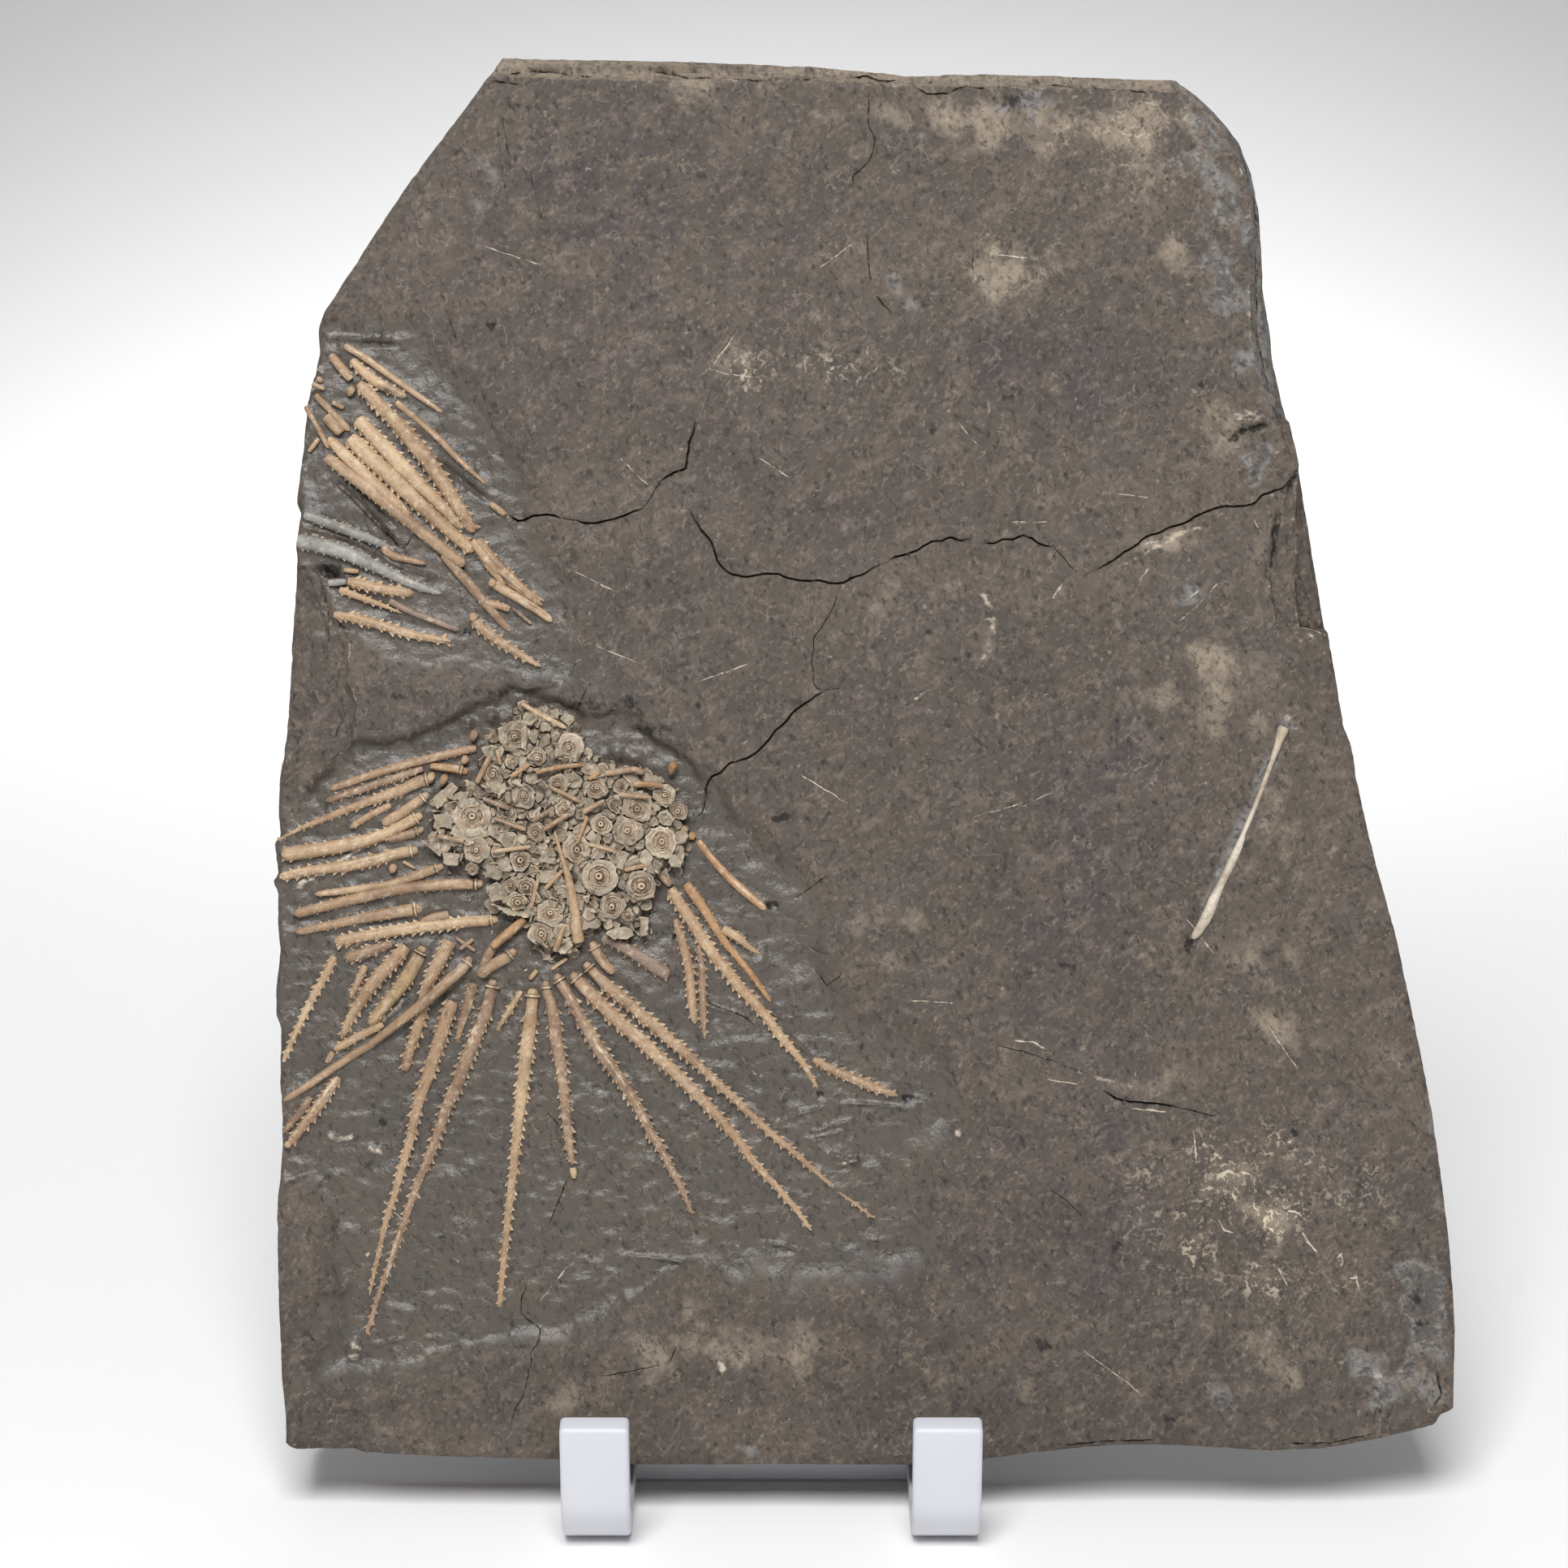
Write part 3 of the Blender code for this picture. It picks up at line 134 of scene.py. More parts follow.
# Lines on the stone: width and height in mm, tone (dark -1 to pale +1), how broken they are, then their paths.
STONE_LINES = {
    # Painted shade: the crack's dark tone stands for the shade in it.
    "open crack": (0.5, -1.0, -1.0, 0.25, (
        ((627, 634), (636, 641), (645, 641), (654, 636), (671, 634), (685, 636), (693, 640)),
        ((708, 641), (720, 645), (733, 645), (746, 642), (758, 639), (773, 634), (785, 629), (792, 627)),
        ((813, 594), (829, 583), (845, 577), (847, 560), (849, 547), (858, 520)),
        ((851, 632), (862, 650), (876, 667), (881, 682), (885, 694), (893, 703), (903, 708), (920, 711),
         (938, 707), (958, 707), (970, 712), (989, 716), (1008, 715), (1025, 719), (1040, 718), (1052, 711),
         (1065, 707), (1078, 699), (1091, 694)),
        ((1094, 692), (1103, 686), (1117, 683), (1130, 678), (1149, 667), (1160, 667), (1170, 662),
         (1184, 666), (1196, 664)),
        ((1212, 669), (1225, 670), (1238, 664), (1250, 664), (1261, 659), (1272, 664), (1280, 670),
         (1299, 675)),
        ((1341, 707), (1356, 700), (1372, 690), (1389, 678), (1400, 672), (1412, 661), (1426, 657),
         (1440, 650), (1461, 644), (1470, 638), (1482, 632), (1505, 624), (1525, 624), (1545, 621),
         (1556, 610), (1579, 602), (1596, 586)),
        ((1020, 850), (1011, 854), (1000, 862), (988, 869), (975, 880), (969, 889), (955, 900), (948, 911),
         (935, 925), (921, 934), (898, 941), (890, 950), (878, 957), (872, 964), (870, 973), (869, 985),
         (867, 995)),
        ((1361, 1345), (1378, 1355), (1395, 1358), (1425, 1360), (1450, 1364)),
    )),
    # Painted shade: the crack's dark tone stands for the shade in it.
    "fine crack": (0.24, -0.3, -0.8, 0.35, (
        ((411, 592), (440, 622), (470, 652), (495, 677), (511, 655)),
        ((792, 627), (800, 618), (806, 605), (813, 596)), ((692, 638), (708, 642)),
        ((1299, 674), (1311, 688), (1318, 697), (1328, 706)),
        ((1035, 722), (1028, 745), (1022, 757), (1015, 770), (1003, 785), (1003, 800), (1000, 815),
         (1003, 830), (1002, 842), (1007, 850), (1020, 848)),
        ((1037, 847), (1020, 850)), ((867, 995), (862, 1006), (850, 1003)),
        ((650, 1580), (646, 1590), (641, 1604), (641, 1619), (650, 1629), (657, 1633), (666, 1641),
         (663, 1655), (653, 1668), (655, 1680), (651, 1690), (648, 1706), (644, 1721), (634, 1738),
         (627, 1766)),
        ((1072, 108), (1070, 135), (1070, 152), (1078, 171), (1076, 186), (1069, 202), (1050, 217),
         (1052, 236)),
        ((1068, 290), (1071, 334), (1073, 345)), ((1078, 362), (1099, 388)),
        ((1305, 1310), (1318, 1316), (1336, 1322)), ((1450, 1364), (1475, 1370), (1500, 1376)),
        ((723, 848), (709, 878)), ((699, 1453), (692, 1470), (684, 1490), (673, 1515)),
        ((1297, 1468), (1318, 1482), (1332, 1498)), ((1005, 1196), (1019, 1216), (1039, 1200)),
        ((980, 1107), (1019, 1079)), ((998, 1169), (1021, 1177)), ((739, 1696), (776, 1690), (812, 1683)),
        ((824, 1682), (833, 1659)), ((867, 1235), (890, 1243), (914, 1252), (931, 1265)),
        ((672, 1370), (693, 1393)), ((1228, 1288), (1262, 1296), (1305, 1310)),
    )),
    "old scratch": (0.34, -0.12, -0.42, 0.5, (
        ((610, 127), (614, 170), (628, 270)), ((646, 185), (660, 240), (684, 328)),
        ((543, 359), (554, 395), (568, 435)), ((608, 400), (618, 430), (630, 462)),
        ((1202, 937), (1229, 928), (1250, 916)), ((1199, 282), (1199, 343)), ((667, 250), (680, 300)),
        ((620, 150), (632, 230)), ((1596, 687), (1606, 681), (1617, 680)),
        ((1597, 700), (1597, 760), (1601, 770)), ((353, 880), (366, 910), (362, 950)),
        ((396, 720), (404, 760), (402, 810)), ((380, 770), (388, 830), (380, 880)),
        ((412, 830), (424, 880), (404, 920)), ((590, 470), (610, 540)), ((1574, 520), (1590, 560)),
        ((1566, 712), (1572, 760)), ((640, 500), (662, 560)), ((1285, 1370), (1320, 1378)),
    )),
    # Painted shade: the dark tone is the shadow in the gaps between the beds.
    "open bedding": (0.45, -0.5, -0.6, 0.75, (
        ((622, 92), (650, 86), (690, 88), (726, 94)), ((800, 86), (832, 90), (850, 96), (880, 94)),
        ((900, 97), (935, 100), (975, 96), (1010, 100)), ((1040, 95), (1066, 92), (1084, 98), (1109, 98)),
        ((1118, 104), (1143, 116), (1170, 115), (1186, 106), (1208, 109), (1240, 107), (1262, 110)),
        ((1285, 101), (1330, 108), (1380, 110), (1442, 116)), ((596, 106), (610, 100), (640, 104)),
        ((1534, 200), (1546, 240), (1550, 290)), ((1547, 300), (1549, 340), (1551, 386)),
        ((1548, 396), (1556, 440), (1566, 486)), ((1770, 1690), (1776, 1718), (1762, 1740)),
        ((1700, 1766), (1640, 1778), (1580, 1780)), ((1440, 1775), (1370, 1776), (1300, 1782)),
    )),
    "pale scratch": (0.32, -0.05, 1.0, 0.45, (
        ((1355, 606), (1427, 614)), ((1450, 768), (1477, 745), (1503, 716)), ((1402, 716), (1417, 699)),
        ((1461, 739), (1480, 726)), ((1246, 643), (1292, 643)), ((1202, 1005), (1240, 996), (1280, 981)),
        ((1110, 1232), (1180, 1236)), ((1120, 1108), (1140, 1108)), ((1381, 956), (1417, 941)),
        ((1601, 772), (1618, 776), (1636, 783)), ((1545, 640), (1556, 660)),
        ((1328, 1659), (1390, 1704), (1416, 1726)), ((590, 301), (670, 328)), ((860, 840), (930, 815)),
        ((1292, 742), (1322, 703)), ((876, 458), (938, 466)), ((876, 453), (900, 420), (920, 390)),
        ((700, 700), (760, 730)), ((1246, 1000), (1300, 974)), ((980, 950), (1060, 1000)),
        ((930, 560), (975, 590)), ((1180, 520), (1215, 560)), ((1460, 1130), (1500, 1180)),
        ((720, 790), (790, 818)), ((1010, 330), (1050, 300)), ((1470, 1390), (1474, 1430), (1471, 1450)),
        ((1560, 1260), (1600, 1320)), ((700, 1560), (660, 1610)), ((470, 1480), (500, 1510)),
        ((760, 560), (800, 600)),
    )),
    "white calcite": (0.55, 0.1, 1.0, 0.1, (
        ((1604, 1518), (1612, 1530), (1624, 1544)), ((1645, 1552), (1652, 1545), (1655, 1556), (1650, 1560)),
        ((1663, 1576), (1672, 1574), (1675, 1592)), ((1574, 1560), (1586, 1584)),
        ((1500, 1500), (1508, 1516), (1522, 1520)), ((1392, 1366), (1440, 1370)),
        ((1290, 1330), (1330, 1336)), ((1250, 1282), (1272, 1284), (1292, 1294)),
        ((1472, 1400), (1474, 1432)), ((1226, 314), (1266, 318)),
    )),
    "flaked hollow": (1.3, -0.12, 0.55, 0.35, (
        ((1362, 706), (1400, 688), (1440, 666), (1475, 648)),
        ((1204, 722), (1214, 740), (1219, 758), (1221, 778), (1217, 800), (1204, 822), (1189, 836)),
        ((1212, 730), (1226, 760), (1224, 790)), ((1124, 863), (1162, 838)),
        ((1310, 1312), (1352, 1328), (1400, 1340)), ((1400, 674), (1420, 668), (1452, 656), (1486, 648)),
        ((1310, 720), (1292, 745)),
    )),
    "calcite vein": (1.7, 0.35, 0.75, 0.35, (
        ((471, 1030), (450, 1043), (430, 1052), (410, 1066), (390, 1078), (370, 1090), (351, 1099)),
        ((500, 1228), (484, 1246), (468, 1262)), ((400, 1402), (435, 1404)), ((449, 1413), (475, 1424)),
    )),
    # Painted shadow under the overhanging ledges.
    "overhang": (1.7, -0.9, -0.7, 0.1, (
        ((1515, 546), (1526, 533), (1545, 527), (1564, 522)), ((1582, 607), (1590, 598), (1600, 577)),
        ((1577, 626), (1572, 650), (1567, 690), (1560, 713)),
    )),
    # Painted highlight: the pale tone lights the crests of these low ridges.
    "scribe ridge": (1.3, 0.55, 0.16, 0.2, (
        ((955, 1361), (968, 1348), (980, 1337)), ((959, 1386), (990, 1372), (1020, 1365)),
        ((996, 1406), (1016, 1400), (1037, 1396)), ((1033, 1361), (1080, 1362), (1126, 1369)),
        ((1024, 1424), (1053, 1433)), ((767, 1549), (810, 1552), (861, 1561)),
        ((943, 1533), (966, 1536), (992, 1545)), ((461, 1660), (498, 1651)), ((522, 1651), (545, 1651)),
        ((900, 1290), (936, 1330)), ((930, 1240), (980, 1262)), ((870, 1240), (905, 1250)),
        ((960, 1270), (1000, 1300)), ((400, 416), (440, 417), (489, 419)),
        ((366, 630), (420, 652), (470, 672)), ((366, 648), (400, 655), (440, 668), (500, 700)),
        ((470, 690), (540, 712)), ((560, 655), (600, 640), (624, 636)), ((1000, 1396), (1048, 1382)),
        ((940, 1010), (960, 1040)), ((1030, 1440), (1060, 1430)), ((640, 850), (690, 842)),
    )),
    "mould of a spine": (1.7, -0.85, -0.2, 0.1, (
        ((402, 581), (440, 616), (496, 679)), ((420, 580), (452, 612), (488, 650)),
        ((540, 567), (570, 592), (603, 617)), ((388, 694), (404, 706), (418, 716)),
        ((540, 680), (556, 692), (570, 704)), ((440, 420), (489, 423)),
    )),
}  # fmt: skip

# Lumps and pits of stone: column, row, radii in steps, height in mm, tone.
# Most pits and dips, those below the hollow's crest too, carry a dark tone that is painted shade.
STONE_LUMPS = (
    (760, 928, 13, 12, 0.9, 0.12), (783, 932, 14, 11, 1.0, 0.12), (575, 891, 12, 12, 1.2, 0.1),
    (605, 882, 11, 12, 1.1, 0.1), (597, 865, 9, 8, 0.7, 0.1), (679, 873, 11, 10, 0.9, 0.1),
    (435, 1664, 12, 16, 0.9, 0.45), (1024, 1426, 9, 7, 0.5, 0.15), (1053, 1432, 9, 7, 0.5, 0.1),
    (640, 862, 14, 8, 0.6, 0.05), (888, 1683, 8, 5, 0.1, 1.3), (988, 1569, 3, 3, -0.3, 1.2),
    (1177, 1397, 4, 5, 0.1, 1.2), (1041, 1435, 3, 3, 0.1, 1.2), (1446, 1408, 3, 3, 0.1, 1.2),
    (451, 1547, 3, 5, 0.1, 1.1), (563, 1555, 3, 3, 0.1, 0.9), (1019, 1074, 3, 3, -0.3, -0.7),
    (1700, 1694, 12, 8, 0.3, 0.6), (1654, 1683, 9, 7, 0.3, 0.5), (849, 527, 3, 3, 0.1, 1.2),
    (803, 741, 3, 3, -0.3, -0.8), (1141, 780, 4, 4, -0.3, -0.7), (1288, 967, 3, 3, -0.3, -0.7),
    (1595, 1392, 5, 10, -0.4, -0.9), (958, 1007, 18, 3, -0.3, -0.9), (996, 1007, 6, 3, -0.3, -0.7),
    (775, 866, 12, 5, -0.3, -0.7), (862, 868, 4, 6, -0.3, -0.8), (890, 888, 4, 6, -0.3, -0.8),
    (1243, 490, 9, 3, -0.3, -0.7), (1318, 1190, 18, 7, -0.15, -0.35), (951, 1115, 9, 6, -0.6, -1.0),
    (1481, 473, 15, 3, -0.4, -0.8), (1119, 1354, 10, 5, -0.6, -1.0), (1466, 1164, 8, 5, -0.6, -0.9),
    (1581, 873, 4, 4, -0.2, -0.6), (1587, 886, 5, 7, 0.1, 0.9), (1010, 1350, 6, 5, -0.5, -0.9),
    (574, 780, 8, 5, -0.4, -0.8), (404, 702, 16, 10, -0.9, -0.7), (600, 775, 8, 6, 0.3, 0.6),
    (420, 771, 5, 6, -0.9, -0.9), (606, 400, 4, 8, -0.3, -0.7), (1104, 474, 3, 14, -0.2, -0.6),
    (1151, 528, 6, 8, -0.2, -0.7), (1376, 1536, 6, 9, -0.3, -0.7), (1286, 1655, 10, 8, -0.2, -0.6),
    (1745, 1600, 6, 8, -0.5, -0.8), (1750, 1630, 14, 5, -0.3, -0.6), (1446, 1750, 10, 8, -0.3, -0.8),
    (640, 130, 30, 8, -0.3, -0.3), (1240, 125, 30, 6, -0.3, -0.5), (470, 1385, 4, 8, -0.4, -0.8),
    (940, 1190, 22, 16, 0.5, 0.1), (905, 1290, 30, 14, 0.4, 0.08), (985, 1330, 26, 12, 0.5, 0.1),
    (820, 1150, 26, 14, -0.5, -0.2), (900, 1150, 14, 10, -0.4, -0.1), (500, 860, 60, 14, -0.5, -0.1),
    (640, 835, 40, 10, 0.4, 0.05), (560, 850, 16, 9, 0.35, 0.1), (720, 870, 40, 7, -0.5, -0.4),
    (600, 852, 50, 7, -0.3, -0.3), (800, 900, 40, 8, -0.5, -0.3), (388, 476, 12, 7, 0.4, 0.8),
    (380, 505, 9, 12, 0.5, 0.5), (374, 540, 9, 10, 0.4, 0.7), (392, 455, 8, 6, 0.3, 0.5),
    (372, 575, 8, 10, 0.4, 0.4), (1560, 590, 14, 10, 0.6, 0.1), (1575, 560, 12, 18, 0.7, 0.1),
    (1604, 730, 8, 34, -0.6, -0.2), (1540, 512, 26, 8, 0.5, 0.4), (1612, 783, 26, 6, 0.4, 0.3),
    (1546, 620, 14, 8, 0.4, 0.2),
)  # fmt: skip

# Broad stains of each kind: column, row, radii in steps, strength.
STAINS = {
    "pale": (
        (1200, 150, 260, 50, 0.7), (1000, 1560, 80, 50, 0.35), (1300, 640, 60, 40, 0.4),
        (990, 770, 50, 50, 0.4), (1630, 880, 30, 80, 0.5), (1440, 1180, 70, 60, 0.4),
        (1740, 1700, 60, 50, 0.6), (1580, 1700, 120, 50, 0.6), (450, 1740, 90, 30, 0.4),
        (1400, 165, 90, 60, 0.75), (1440, 300, 60, 110, 0.5), (1245, 322, 70, 44, 0.8),
        (1250, 360, 70, 70, 0.55), (1180, 400, 90, 60, 0.3), (600, 180, 50, 70, 0.45),
        (520, 300, 50, 70, 0.4), (1510, 520, 60, 50, 0.65), (1560, 660, 26, 80, 0.45),
        (1060, 760, 110, 60, 0.45), (1480, 850, 90, 80, 0.85), (1514, 900, 55, 60, 0.6),
        (1590, 1050, 60, 130, 0.55), (1210, 790, 34, 60, 0.55), (1080, 1155, 60, 50, 0.7),
        (1040, 1000, 90, 50, 0.3), (1400, 1335, 110, 24, 0.5), (1560, 1230, 70, 80, 0.65),
        (1540, 1500, 120, 90, 0.65), (1500, 1640, 150, 60, 0.5), (900, 1670, 230, 70, 0.6),
        (700, 1730, 180, 36, 0.4), (1220, 1700, 140, 50, 0.4), (1700, 1330, 40, 150, 0.45),
        (1430, 664, 60, 16, 0.9), (1366, 766, 14, 14, 1.0), (1200, 84, 340, 14, 0.8),
        (900, 110, 240, 22, 0.6), (900, 440, 60, 50, 0.35), (1640, 760, 40, 60, 0.45),
        (1690, 1150, 30, 90, 0.35), (1490, 172, 44, 58, 0.1), (1505, 290, 26, 105, 0.1),
        (1530, 410, 20, 60, 0.1), (1553, 567, 26, 40, 0.1), (1750, 1600, 34, 130, 0.3),
        (1690, 1690, 60, 40, 0.3), (950, 1784, 60, 16, 0.3), (1770, 1450, 16, 120, 0.2),
        (1097, 352, 18, 16, 0.5), (1122, 380, 17, 16, 0.4), (1460, 730, 40, 14, 0.2),
        (600, 200, 34, 60, 0.1), (1420, 590, 34, 18, 0.2), (1500, 1720, 60, 30, 0.1),
        (430, 1200, 60, 30, 0.1),
    ),
    "blue": (
        (1210, 790, 34, 60, 0.3), (1540, 1500, 120, 90, 0.1), (1700, 1330, 40, 150, 0.2),
        (1366, 766, 14, 14, 0.3), (1490, 172, 44, 58, 1.0), (1505, 290, 26, 105, 1.0),
        (1530, 410, 20, 60, 0.9), (1270, 128, 60, 14, 0.8), (1553, 567, 26, 40, 0.8),
        (1750, 1600, 34, 130, 1.0), (1690, 1690, 60, 40, 0.8), (950, 1784, 60, 16, 0.8),
        (1770, 1450, 16, 120, 0.7), (380, 640, 26, 70, 0.5), (1097, 352, 18, 16, 0.9),
        (1122, 380, 17, 16, 0.9), (1460, 730, 40, 14, 0.5), (600, 200, 34, 60, 0.5),
        (1420, 590, 34, 18, 0.4), (1500, 1720, 60, 30, 0.6), (800, 300, 60, 60, 0.25),
        (430, 1200, 60, 30, 0.3),
    ),
    "purple": (
        (800, 300, 60, 60, 0.3), (740, 260, 160, 130, 0.9), (700, 360, 420, 260, 0.45),
        (960, 300, 110, 80, 0.6), (1300, 470, 150, 80, 0.8), (1060, 640, 220, 44, 0.5),
        (1340, 930, 120, 80, 0.9), (1330, 1120, 110, 150, 0.9), (1340, 1480, 100, 110, 1.0),
        (600, 430, 100, 80, 0.5), (430, 400, 50, 30, 0.7), (480, 850, 60, 34, 0.5),
        (1180, 860, 160, 60, 0.5), (1130, 1380, 120, 40, 0.5), (760, 1640, 80, 40, 0.5),
        (1150, 1560, 120, 70, 0.5), (1430, 1660, 80, 50, 0.4), (1640, 1420, 50, 60, 0.5),
    ),
    "veined": (
        (1400, 165, 90, 60, 0.4), (1245, 322, 70, 44, 0.3), (1540, 1500, 120, 90, 1.0),
        (1500, 1640, 150, 60, 0.2), (1050, 450, 70, 40, 0.4), (920, 460, 60, 26, 0.4),
    ),
}  # fmt: skip

